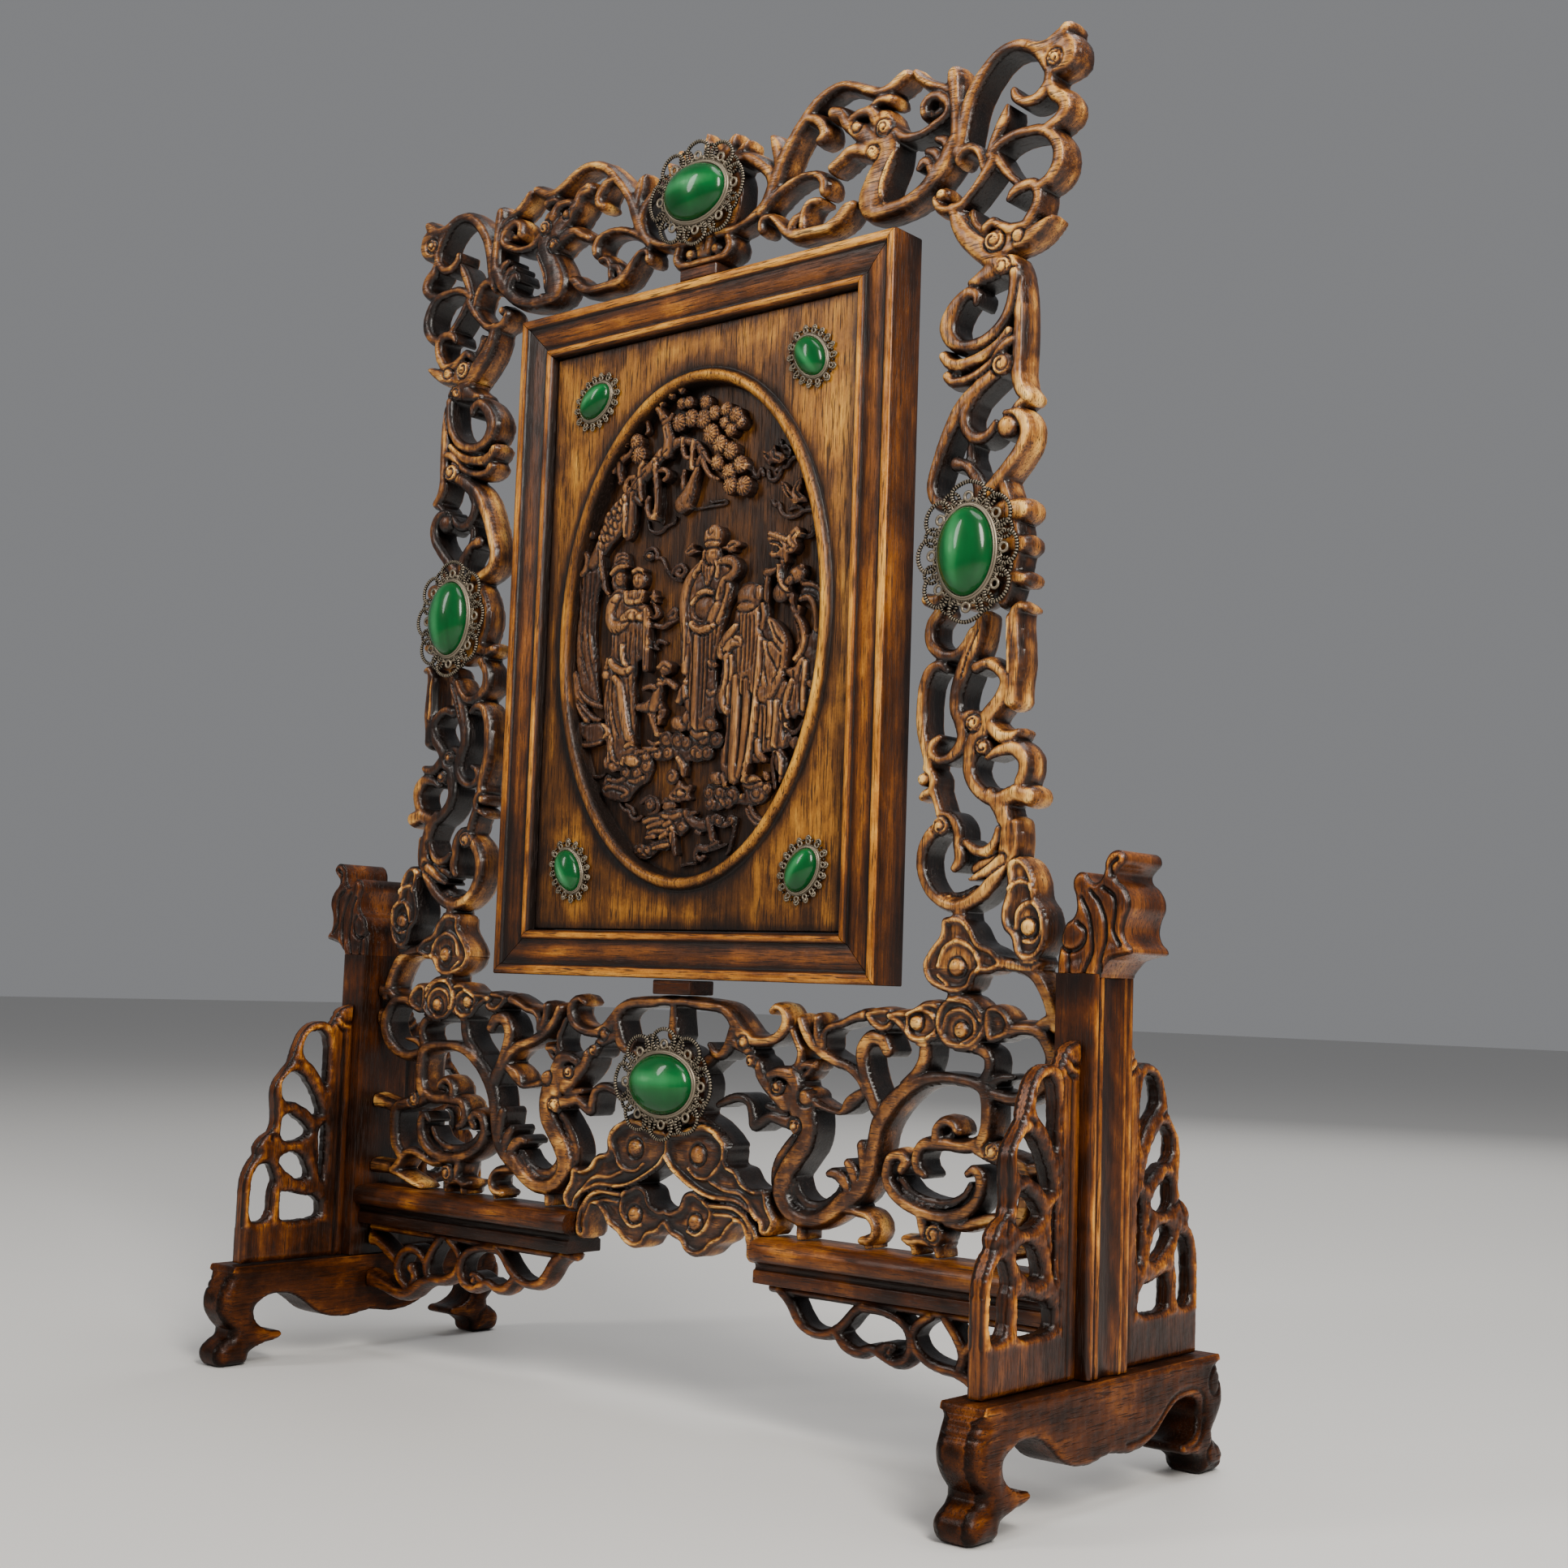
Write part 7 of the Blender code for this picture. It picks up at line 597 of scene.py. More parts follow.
    ("T", 4.1, 0, [(-12, 222.2, 1.2), (-13.2, 218.6, 1.7), (-14.4, 215, 2.1), (-15.2, 212.6, 1.7)]),
    ("T", 3.8, 0, [(-14.1, 218.9, 1), (-16.8, 219.5, 0.8), (-19.4, 218.9, 0.7)]),
    ("T", 4, 0, [(-12.9, 219.9, 1), (-9.3, 220.5, 1), (-6, 218.6, 1.1)]),
    ("T", 2.2, 0, [(-13.1, 222.5, 0.6), (-11.9, 221.7, 0.6), (-11.3, 220.8, 0.5)]),
    ("F", 4.4, 0, [(-10.4, 224.8, 2.9, 2.2, 0)]),
    ("T", 4.6, 0, [(-12.5, 225.2, 0.7), (-10.3, 226.3, 1), (-7.8, 225.2, 0.7)]),
    ("T", 1.8, 0, [(-18.1, 232.5, 0.6), (-16.3, 233.3, 0.8), (-15.1, 234, 0.7), (-12.5, 233.1, 0.6)]),
    ("T", 1.8, 0, [(-17.7, 233.8, 0.4), (-16.9, 232.1, 0.6), (-15.8, 231.4, 0.5)]),
    ("B", 3.4, 1.3, [(2.5, 257.6), (-0.2, 255.8), (-3, 253.2), (-5, 250.1), (-5.7, 245.1), (-5.6, 239.3),
          (-5, 234.2), (-4.7, 227.9), (-4, 223.6), (-3.3, 221.6), (-1.6, 222.2), (-1.7, 220), (-4.2, 217.9),
          (-5.6, 213.6), (-3.9, 212.9), (-1.6, 215), (-1.2, 210.7), (-0.7, 205), (4.8, 203.6), (8.4, 205),
          (9.8, 207.9), (10.9, 215), (10, 223.6), (11.1, 229.3), (12.7, 237.9), (15.5, 246.5), (16, 249.4),
          (17, 250.8), (18.3, 253.5), (15.8, 256.8), (12.7, 257.1), (9.8, 256.5)]),
    ("T", 4.2, 0, [(2.4, 255.6, 1.2), (-0.9, 252.7, 1.7), (-2.9, 249.1, 2), (-3.6, 244.1, 2.2),
          (-2.9, 238.4, 2.2), (-1.9, 232.7, 2), (-2, 227.7, 1.8), (-2.1, 223.4, 1.5)]),
    ("T", 4.5, 0, [(10, 255.8, 0.8), (12.6, 256.3, 1.2), (15.9, 255.8, 1.6), (17.7, 253.5, 1.6),
          (15.9, 251.2, 1.5), (13, 249.8, 1.4), (11.4, 246.2, 1.2), (10.7, 242.6, 1)]),
    ("T", 3.9, 0, [(14.4, 248.5, 1.3), (14.3, 244.9, 1.4), (12, 241.4, 1.4), (10.7, 237.8, 1.3)]),
    ("C", 4.6, 0, [(5.2, 242.6, 4.5, 4, 0)]),
    ("T", 4.8, 0, [(1.6, 245.4, 0.7), (3.3, 246.7, 0.9), (5.8, 247.3, 0.9), (8.4, 246.7, 0.7)]),
    ("T", 4.4, 0, [(0.2, 244, 0.6), (2.2, 245.9, 0.6)]),
    ("T", 4.7, 0, [(0.5, 237.6, 1.1), (2.8, 235.8, 1.5), (6, 235.6, 1.5), (8.9, 236.7, 1.1)]),
    ("T", 4.6, 0, [(10.8, 242.6, 1.4), (9.2, 240.5, 1.7), (8.2, 238.3, 1.5)]),
    ("G", 0.5, 0, [(1.4, 237.5, 0.3), (4.5, 236.5, 0.3), (8.1, 237.6, 0.3)]),
    ("G", 0.5, 0, [(2.4, 238.2, 0.3), (4.5, 237.8, 0.3), (6.9, 238.5, 0.3)]),
    ("B", 4.3, 1.1, [(4.5, 260.5), (10.3, 260.5), (10.8, 257.7), (10, 255.9), (6.7, 255.2), (4.1, 257)]),
    ("B", 4.2, 1.1, [(4, 257.4), (6.3, 255.9), (8.4, 257.4), (8.9, 254.9), (7.6, 251.3), (5.9, 249),
          (4.6, 251.6), (3.6, 254.5)]), ("F", 4.9, 0, [(7.9, 258.4, 3, 3.4, 0)]),
    ("G", 0.5, 0, [(5, 256.2, 0.3), (4.8, 253.5, 0.3), (5.6, 250.6, 0.3)]),
    ("G", 0.5, 0, [(6.3, 255.6, 0.3), (6.2, 250.6, 0.3)]), ("G", 0.5, 0, [(7.5, 256, 0.3), (7.2, 252.7, 0.3)]),
    ("T", 4.4, 0, [(3.8, 256.9, 0.5), (2.6, 254.9, 0.7), (1.2, 253.9, 0.6), (0.6, 252.3, 0.4)]),
    ("T", 4.3, 0, [(9.5, 256.3, 0.5), (10.4, 254.1, 0.7), (10, 251.6, 0.6)]),
    ("B", 4.9, 1.5, [(5.7, 266.6), (8, 267.6), (10.5, 267.2), (11.8, 265.2), (11.5, 262.7), (10.5, 260.9),
          (6.9, 260.7), (5.1, 261.4), (4.7, 263.8), (4.9, 265.5)]),
    ("G", 0.6, 0, [(4.8, 262.3, 0.35), (7.2, 263, 0.4), (11.3, 262.4, 0.35)]),
    ("G", 0.5, 0, [(6.8, 266.7, 0.3), (7.3, 264.7, 0.35), (8.7, 265.4, 0.3)]),
    ("B", 3.8, 1, [(3.5, 260.4), (0.2, 260), (-2.5, 259.3), (-3.9, 260.8), (-1.9, 262.8), (-0.4, 263),
          (-0.8, 261.7), (0.9, 260.8)]), ("G", 0.7, 0, [(-2.8, 260.6, 0.4), (-1.4, 261.3, 0.4)]),
    ("B", 3.8, 1, [(10.1, 260.5), (13.1, 260.7), (13.9, 261.8), (15.9, 262.3), (18.2, 261.7), (18.8, 260.4),
          (16.8, 259.8), (16.5, 258.7), (14.3, 258.7), (13.1, 259.8)]),
    ("G", 0.7, 0, [(14.3, 260.5, 0.4), (16.6, 261, 0.4)]),
    ("G", 0.8, 0, [(-3.5, 238, 0.3), (-3.2, 231.5, 0.4), (-2.9, 225.8, 0.3)]),
    ("G", 0.8, 0, [(-1.8, 238.7, 0.3), (-1.5, 232.2, 0.4), (-1.9, 226.5, 0.3)]),
    ("G", 0.8, 0, [(0.6, 233.7, 0.35), (1.1, 225.8, 0.5), (0.8, 216.5, 0.5), (0.6, 207.9, 0.35)]),
    ("G", 0.8, 0, [(2.9, 233.9, 0.35), (3.2, 225.8, 0.5), (3.2, 217.2, 0.5), (2.9, 206.5, 0.4)]),
    ("G", 0.8, 0, [(5.1, 234.1, 0.35), (5.3, 225.8, 0.45), (5.2, 216.5, 0.5), (5.1, 208.6, 0.4)]),
    ("G", 0.8, 0, [(6.8, 234.1, 0.35), (7.1, 226.5, 0.4), (6.8, 218.6, 0.45), (6.5, 211.5, 0.35)]),
    ("G", 0.8, 0, [(8.8, 235.8, 0.35), (8.5, 228.7, 0.4), (8.6, 222.9, 0.35)]),
    ("G", 0.8, 0, [(10.2, 235.8, 0.3), (9.6, 230.1, 0.35)]),
    ("G", 0.8, 0, [(-0.8, 231.5, 0.3), (-0.7, 222.9, 0.4), (-0.7, 214.4, 0.4)]),
    ("T", 4.2, 0, [(2.4, 233.6, 1.1), (2.6, 222.9, 1.2), (2.4, 212.9, 1.3), (2.6, 205.7, 1.3), (2.4, 203.9, 0.9)]),
    ("T", 4, 0, [(7.9, 225.4, 0.5), (8.8, 224.3, 1), (10.5, 224.2, 0.8)]),
    ("T", 4, 0, [(-1.8, 219.7, 1), (-3.3, 216.8, 1.2), (-4.5, 214, 0.9)]),
    ("T", 4, 0, [(-2.2, 218.6, 0.7), (-1.6, 215, 1), (-1, 213.5, 0.6)]),
    ("T", 3.8, 0, [(7.5, 216.5, 0.4), (8.6, 215.4, 0.9), (10.1, 215.9, 0.6)]),
    ("T", 3.4, 0, [(-1, 213.7, 1.2), (-0.7, 209.4, 1.2)]),
    ("G", 0.7, 0, [(-0.2, 251.7, 0.3), (-1.6, 247.8, 0.4), (-2.2, 242.8, 0.4), (-1.5, 237.8, 0.3)]),
    ("G", 0.7, 0, [(1.7, 253.5, 0.3), (-0.2, 249.9, 0.4)]),
    ("G", 0.7, 0, [(13.5, 254.6, 0.3), (15.4, 253.8, 0.4), (14.7, 252.4, 0.3)]),
    ("G", 0.7, 0, [(12.2, 247.8, 0.3), (11.7, 244.2, 0.3)]),
    ("G", 0.7, 0, [(15.5, 247.1, 0.3), (14, 242.8, 0.4), (12.2, 238.5, 0.3)]),
    ("G", 0.7, 0, [(13.2, 241.3, 0.3), (12.4, 234, 0.3)]), ("G", 0.7, 0, [(10.4, 236.3, 0.3), (10.1, 234, 0.3)]),
    ("C", 4.2, 0, [(-4.3, 207.1, 3.6, 2.4, -18)]), ("C", 4, 0, [(9.2, 206.2, 2.8, 2, -20)]),
    ("C", 3.6, 0, [(-1.4, 208.7, 1.6, 2.4, 0)]),
    ("B", 3.3, 1.4, [(18.3, 240.8), (16.9, 237.9), (14.7, 232.9), (11.5, 229.3), (10.4, 226.5), (12.6, 225),
          (12.3, 219.3), (10.4, 214.3), (11.5, 210), (14.7, 208.6), (15.2, 205), (14.9, 200.7), (13.3, 196.4),
          (14, 190), (16.9, 188.5), (21.2, 189.3), (23.3, 193.6), (29, 193.6), (30.4, 196.4), (36.2, 197.1),
          (39.2, 198.6), (39.7, 207.9), (40.4, 215), (37.2, 218.6), (38.4, 225), (36.9, 230.8), (33.3, 235.8),
          (30.4, 237.9), (29.7, 243.7), (29.7, 247.9), (33.3, 251.9), (28.7, 251.5), (27.9, 247.2),
          (26.9, 242.2)]),
    ("B", 4.3, 1.4, [(19.8, 241.3), (23.5, 239.8), (27.8, 242), (28.7, 237.7), (28.8, 230.5), (27.8, 222),
          (26.4, 214.8), (20, 215.1), (19.5, 222), (19.2, 229.8), (20.1, 236.3)]),
    ("C", 5, 0, [(23.2, 244.1, 5.1, 4.6, -8)]), ("C", 4.4, 0, [(27, 244.9, 1.4, 2.4, 0)]),
    ("C", 4.9, 0, [(22.5, 241.1, 3.4, 1.6, 0)]),
    ("G", 0.6, 0, [(21.4, 238.6, 0.35), (21.1, 232.9, 0.4), (21.4, 226.4, 0.4), (20.9, 221.3, 0.3)]),
    ("G", 0.6, 0, [(22.9, 238.6, 0.35), (23, 232.1, 0.4), (22.9, 221.4, 0.3)]),
    ("G", 0.6, 0, [(24.3, 237.9, 0.35), (24.6, 231.4, 0.4), (24.3, 221.7, 0.3)]),
    ("G", 0.6, 0, [(26, 237.9, 0.35), (26.3, 231.4, 0.4), (25.6, 222.1, 0.3)]),
    ("G", 0.6, 0, [(20.3, 237.1, 0.3), (20, 232.9, 0.3)]),
    ("T", 4.6, 0, [(18.5, 235.5, 0.8), (15.5, 232.8, 1.5), (13.2, 229.3, 1.8), (13.1, 227.1, 1.6),
          (15.4, 227.2, 1.2)]),
    ("T", 4.7, 0, [(14.6, 228.1, 1.3), (16.8, 230.2, 1.5), (19.3, 230.6, 1.4), (21, 229.9, 1)]),
    ("T", 4.9, 0, [(19.2, 231.8, 0.7), (20.7, 231.4, 0.7), (21.2, 230.4, 0.6)]),
    ("T", 4.4, 0, [(15.2, 226.4, 1.5), (15.6, 222.1, 1.5), (14.8, 217.8, 1.6), (13.8, 214.2, 1.9),
          (15.2, 210.7, 1.8), (16.5, 209.6, 1.2)]),
    ("T", 4.1, 0, [(16.9, 226.4, 0.7), (17.2, 221.4, 0.8), (16.3, 216.4, 0.9), (16.5, 212.2, 0.9)]),
    ("G", 0.7, 0, [(16, 225.7, 0.35), (16.4, 220.7, 0.4), (15.3, 215.7, 0.4), (15.3, 211.7, 0.35)]),
    ("G", 0.7, 0, [(14.3, 225, 0.3), (14.3, 220, 0.35), (13.1, 215.7, 0.3)]),
    ("G", 0.7, 0, [(13.4, 229.3, 0.3), (14.3, 227.1, 0.3)]),
    ("T", 4.8, 0, [(29, 236.1, 0.7), (28.6, 228.4, 0.75), (28, 218.5, 0.8), (27.1, 207.8, 0.8),
          (25.8, 198.5, 0.8), (24.3, 189.9, 0.75), (23.3, 182.8, 0.7)]),
    ("B", 4.4, 1.7, [(30.5, 237.1), (33.6, 236.2), (37.2, 232.8), (39, 228.5), (38.8, 224.2), (37.2, 218.5),
          (34.3, 213.5), (31.5, 211.3), (28.9, 211.7), (27.9, 214.2), (28.8, 217.8), (29.5, 222.8), (29.2, 230),
          (29.6, 234.2)]), ("G", 0.8, 0, [(31.3, 235, 0.35), (33.4, 230, 0.5), (37, 226.4, 0.4)]),
    ("G", 0.8, 0, [(32.7, 235.3, 0.35), (34.9, 231.4, 0.45), (37.6, 228.6, 0.35)]),
    ("G", 0.8, 0, [(30.6, 232.1, 0.35), (32.1, 226.4, 0.5), (34.9, 222.1, 0.45), (35.6, 219.3, 0.3)]),
    ("G", 0.8, 0, [(30.3, 227.1, 0.35), (31, 220.7, 0.5), (32.1, 216.4, 0.4)]),
    ("G", 0.8, 0, [(29.6, 221.4, 0.3), (29.7, 216.4, 0.35)]),
    ("G", 0.8, 0, [(37, 225, 0.3), (36.3, 221.4, 0.35), (34.1, 217.1, 0.3)]),
    ("T", 4.2, 0, [(19, 219.6, 1.5), (19.1, 211.4, 1.9), (19.1, 202.9, 2.1), (19, 194.3, 2.3),
          (19.1, 189.6, 2.2)]),
    ("T", 4, 0, [(23.2, 218.6, 1.3), (23.4, 211.5, 1.6), (23, 202.9, 1.6), (22.1, 194.3, 1.4), (21.2, 190, 1)]),
    ("G", 0.9, 0, [(16.8, 218.6, 0.35), (16.6, 210.1, 0.5), (16.2, 201.5, 0.5), (15.8, 193.6, 0.4)]),
    ("G", 0.9, 0, [(20.9, 218.6, 0.35), (20.9, 210.1, 0.45), (20.9, 201.5, 0.45), (20.5, 193.6, 0.4)]),
    ("G", 0.9, 0, [(25.2, 217.2, 0.35), (25.1, 210.1, 0.45), (24.5, 202.9, 0.4)]),
    ("G", 0.9, 0, [(29.6, 210.1, 0.35), (29.9, 204.4, 0.5), (29.6, 198.6, 0.5), (30.2, 195.8, 0.35)]),
    ("G", 0.9, 0, [(31.3, 210.6, 0.35), (31.8, 204.4, 0.5), (31.5, 197.9, 0.4)]),
    ("G", 0.9, 0, [(33.8, 212.2, 0.35), (34.1, 205.8, 0.5), (33.6, 199.3, 0.5)]),
    ("G", 0.9, 0, [(35.6, 211.5, 0.35), (35.9, 205.8, 0.4), (35.6, 200.1, 0.4)]),
    ("G", 0.9, 0, [(37.8, 212.2, 0.35), (38.1, 206.5, 0.5), (38.2, 200.1, 0.4)]),
    ("G", 0.9, 0, [(28.2, 210.1, 0.3), (27.9, 202.9, 0.4), (27.3, 197.2, 0.35)]),
    ("T", 4.2, 0, [(35.3, 211.3, 0.9), (35.3, 205.7, 1), (34.9, 200, 1), (34.6, 197.1, 0.8)]),
    ("T", 4, 0, [(37.5, 212.9, 0.7), (37.5, 207.2, 0.9), (39.1, 202.9, 0.8)]),
    ("T", 3.9, 0, [(28.1, 200, 1), (28.6, 196.5, 1.2), (31.1, 194.3, 0.9)]),
    ("T", 3.9, 0, [(32.4, 211.5, 0.9), (32.9, 206.5, 1), (32.6, 201.5, 1)]),
    ("C", 4.2, 0, [(12.4, 189.6, 3, 1.8, -12)]), ("C", 4, 0, [(27.1, 188.3, 2.7, 1.7, -12)]),
    ("T", 3.6, 0, [(14.6, 190.1, 1.1), (15.7, 187.6, 0.8)]),
    ("T", 3.2, 0, [(31.2, 190.1, 0.9), (31.9, 189.1, 0.9)]),
    ("B", 4.4, 1, [(29.9, 262.8), (32.3, 262.9), (34.8, 262.2), (37.6, 261.1), (39.9, 262.9), (41.6, 263.5),
          (42.5, 261.5), (41, 259.8), (41.6, 257.7), (40.3, 255.8), (38.3, 255.5), (37.8, 253.2), (35.9, 252.9),
          (35, 254.8), (32.3, 254.9), (30.8, 256.4), (32.9, 257.2), (34.5, 258.2), (31.5, 259.1), (30.5, 260.4)]),
    ("G", 1.2, 0, [(31.3, 260.1, 0.45), (34.1, 259.4, 0.6), (36, 258, 0.5)]),
    ("P", 2.8, 0, [(33.6, 257.1, 1.6, 0.9, 10)]), ("C", 5, 0, [(37.7, 259.8, 0.8, 0.8, 0)]),
    ("G", 0.7, 0, [(37.7, 259.1, 0.35), (39.6, 260.6, 0.4), (41.1, 261.6, 0.3)]),
    ("G", 0.7, 0, [(38.1, 257.1, 0.35), (39.6, 257.7, 0.35)]),
    ("T", 4.7, 0, [(31, 262.3, 0.6), (32.6, 261.9, 0.8), (34.6, 261.1, 0.8), (36.5, 260.3, 0.7)]),
    ("T", 4.6, 0, [(40.4, 257.6, 0.6), (38.9, 259, 0.8), (38.8, 260.6, 0.6)]),
    ("T", 3.9, 0, [(35.9, 253.5, 1), (35.4, 250.7, 0.9), (35.9, 247.8, 0.8), (37.4, 244.6, 0.7)]),
    ("C", 4.5, 0, [(41.3, 249.2, 3.3, 2.5, 22)]), ("C", 4.5, 0, [(35.7, 244.4, 3.4, 3.1, 30)]),
    ("T", 4.2, 0, [(38.1, 246.9, 1.4), (39.4, 248, 1.3)]), ("C", 4, 0, [(43.4, 251.3, 0.9, 0.8, 0)]),
    ("T", 4.9, 0, [(35.1, 252.2, 0.5), (35.4, 249, 0.6), (36.7, 246.1, 0.6), (38.8, 244.4, 0.5)]),
    ("T", 4.2, 0, [(29.7, 250.7, 1.3), (32.1, 251, 1.1), (34.1, 251.6, 0.6)]),
    ("T", 3.8, 0, [(30.2, 249.2, 0.8), (29.8, 245.7, 0.9), (29.9, 242.1, 0.8)]),
    ("T", 3.8, 0, [(38.5, 243.2, 0.6), (39.9, 243, 0.7), (39.8, 240.7, 0.7), (40.3, 238.1, 0.7),
          (41.9, 237.4, 0.6), (42.8, 239.2, 0.5)]),
    ("B", 3, 1, [(27.3, 241.6), (30.2, 241.6), (30.6, 238), (32, 234.4), (33.7, 230.1), (30.2, 230.1),
          (28, 233.7)]), ("T", 3.6, 0, [(28.4, 241.4, 0.8), (29, 237.9, 0.9), (28.4, 234.3, 0.9)]),
    ("B", 2, 1, [(43, 247.1), (45.7, 247.1), (49.2, 245.4), (50, 242.5), (50, 234.5), (49.5, 222.4),
          (48.5, 215.3), (47.1, 209.5), (45, 208.1), (44.7, 215.3), (42.8, 217.7), (40.7, 216.7), (40, 221),
          (42.1, 223.9), (42.8, 226.7), (45, 229.6), (47.1, 233.2), (46.4, 238.2), (44.2, 241.8), (42.1, 242.5)]),
    ("T", 2.8, 0, [(43.4, 246.2, 0.7), (46.4, 245.8, 0.8), (49.3, 244.5, 0.8), (50.6, 242.2, 0.7)]),
    ("T", 3, 0, [(42.6, 241.7, 0.8), (45.3, 242, 1), (47.3, 240.1, 1.1), (48.6, 236.6, 1.1), (48.9, 232.3, 1)]),
    ("T", 3.4, 0, [(39.7, 239.5, 0.7), (41, 237.8, 0.8), (42.1, 238, 0.6)]),
    ("T", 3.4, 0, [(41.5, 236.8, 0.7), (43.5, 234, 0.9), (44.4, 230.2, 0.9), (43.3, 226.2, 0.9),
          (41.5, 224, 0.7)]), ("T", 2.6, 0, [(40.4, 235.4, 0.5), (41.9, 232.5, 0.6), (42.2, 228.9, 0.6)]),
    ("B", 3, 1.2, [(37.5, 221.1), (40.9, 221.8), (43.5, 224.4), (44.5, 223.1), (44.6, 218.8), (45.9, 217.5),
          (48, 217.2), (48.9, 215.1), (47.7, 214.5), (45.9, 215.5), (45.2, 213.1), (45.6, 208.8), (45.3, 206.6),
          (43, 207.2), (41.6, 206.1), (39.5, 206.9), (38.5, 204.5), (37.9, 201.6), (37.3, 206.6), (36.7, 211.6),
          (38, 215.2), (39.5, 218.1), (38, 219.5)]),
    ("G", 0.8, 0, [(43.7, 221.7, 0.35), (43, 217.4, 0.5), (43.5, 211.6, 0.5), (43.7, 208.1, 0.35)]),
    ("G", 0.8, 0, [(40.9, 220.2, 0.35), (40.9, 215.9, 0.5), (39.9, 211.6, 0.45)]),
    ("G", 0.6, 0, [(42.3, 218.8, 0.3), (42, 213.1, 0.4), (41.9, 208.8, 0.3)]),
    ("T", 3.6, 0, [(40.6, 217.4, 0.8), (39, 213.7, 1), (38.4, 210.1, 0.9), (39.4, 206.8, 0.8)]),
    ("T", 3.4, 0, [(45.1, 223, 0.6), (45.3, 218.7, 0.8), (44.8, 214.4, 0.8), (45, 208.7, 0.8)]),
    ("T", 2.6, 0, [(38.8, 203.1, 0.6), (41.2, 202, 0.7), (43.4, 203.1, 0.6), (44.9, 205.3, 0.5)]),
    ("B", 3, 0.9, [(40.9, 200.2), (42.6, 200.9), (43.7, 199.2), (43, 197.3), (41.7, 197.2), (40.6, 198),
          (39.5, 199.5)]), ("T", 2.6, 0, [(43.4, 197.4, 0.6), (44.9, 198.1, 0.8), (46.1, 199.8, 0.6)]),
    ("T", 2.6, 0, [(39.4, 201.7, 0.5), (39.9, 200.2, 0.6), (39.1, 198.1, 0.5)]),
    ("B", 3.2, 0.9, [(36.1, 197.4), (37.5, 196.9), (38.6, 194.4), (38.8, 191.6), (37.9, 188.7), (36.8, 187.1),
          (36.5, 190.1), (35.5, 191.6), (35.1, 194.4)]),
    ("T", 3.8, 0, [(36.6, 196.1, 0.5), (37.5, 193.6, 0.6), (37.6, 190.1, 0.6)]),
    ("T", 2.6, 0, [(34.5, 197.4, 0.6), (33.7, 193.8, 0.7), (34.1, 190.2, 0.6), (34.9, 185.9, 0.5)]),
    ("T", 2.4, 0, [(38.5, 194.5, 0.5), (38.9, 191, 0.5), (38.3, 188.8, 0.4)]),
    ("B", 2.4, 1.2, [(-51.2, 208.9), (-49, 210.3), (-44.7, 209.5), (-39.7, 209.6), (-37.5, 208.2), (-36.1, 206),
          (-38.2, 203.1), (-42.5, 202.1), (-47.5, 201.7), (-50.4, 202.9), (-49, 203.9), (-45.4, 204.1),
          (-49.7, 206)]),
    ("T", 3.2, 0, [(-55.5, 225.5, 1.6), (-52.1, 225.1, 2), (-50.9, 222.3, 2.1), (-49.5, 218, 2.2),
          (-47.5, 214, 2.1), (-45.2, 210.7, 1.3)]),
    ("T", 2.8, 0, [(-48.6, 220, 0.6), (-45.9, 217.3, 1), (-42.7, 215.7, 1.1), (-38.6, 214.4, 0.7)]),
    ("T", 2.6, 0, [(-49.1, 216.7, 0.6), (-46.2, 213.7, 1), (-42.3, 210.9, 0.9), (-39.5, 210.4, 0.5)]),
    ("T", 2.2, 0, [(-55.6, 236.2, 0.5), (-53.7, 237, 0.8), (-53.3, 236.2, 0.5)]),
    ("T", 2.6, 0, [(-50.6, 203.4, 0.6), (-48.1, 203.1, 0.8), (-46.6, 202.5, 0.8), (-43.1, 202.4, 0.7),
          (-38.8, 203, 0.6)]),
    ("T", 1.4, 0, [(-46.6, 193, 0.5), (-43.5, 192.4, 0.6), (-39.2, 192.2, 0.5), (-37, 193, 0.4)]),
    ("B", 2.2, 1.1, [(-35.2, 192.8), (-36.9, 190.3), (-37.4, 187.1), (-35.3, 185.1), (-31.3, 184.1),
          (-26.3, 183.7), (-24.1, 185.7), (-21.3, 188.1), (-18.1, 189.4), (-16.6, 191.7), (-15.6, 194.6),
          (-16.7, 197.7), (-19.9, 198.7), (-22.7, 197.7), (-24.1, 195.3), (-28.4, 194.6), (-29.1, 192.8),
          (-31.3, 191)]), ("S", 2.9, 0, [(-22.1, 192.5, 2.3, 20, 1)]), ("S", 2.9, 0, [(-18.1, 194.5, 2.4, 20, 1)]),
    ("S", 2.9, 0, [(-26.9, 192.8, 2.2, 20, 1)]), ("S", 2.9, 0, [(-18.4, 197.6, 1.8, 20, 1)]),
    ("T", 2.8, 0, [(-35.7, 188.2, 0.8), (-32.7, 188.8, 1), (-28.6, 187.9, 1), (-25.7, 186.5, 0.8),
          (-27.9, 185.3, 0.6)]), ("T", 2.8, 0, [(-34.3, 190.9, 0.7), (-30.7, 190.2, 0.9), (-27.9, 190.9, 0.8)]),
    ("T", 2.8, 0, [(-25, 190.2, 0.6), (-22.2, 189.9, 0.8), (-19.3, 190.9, 0.8)]),
    ("C", 4, 0, [(-31.9, 194.7, 2, 1.5, -25)]), ("C", 4.2, 0, [(-24.1, 196.4, 3.1, 1.8, -14)]),
    ("T", 3.8, 0, [(-27.1, 197.2, 0.8), (-27.7, 195.8, 0.8)]),
    ("B", 2, 1, [(-17.2, 198.6), (-14.3, 200.3), (-13.6, 203.2), (-10, 204.2), (-7.2, 203.8), (-4.9, 204.2),
          (-2.9, 203.2), (0.7, 203.9), (3.5, 203.6), (6.4, 204.3), (11.4, 203.2), (13.5, 201.4), (12.1, 199.6),
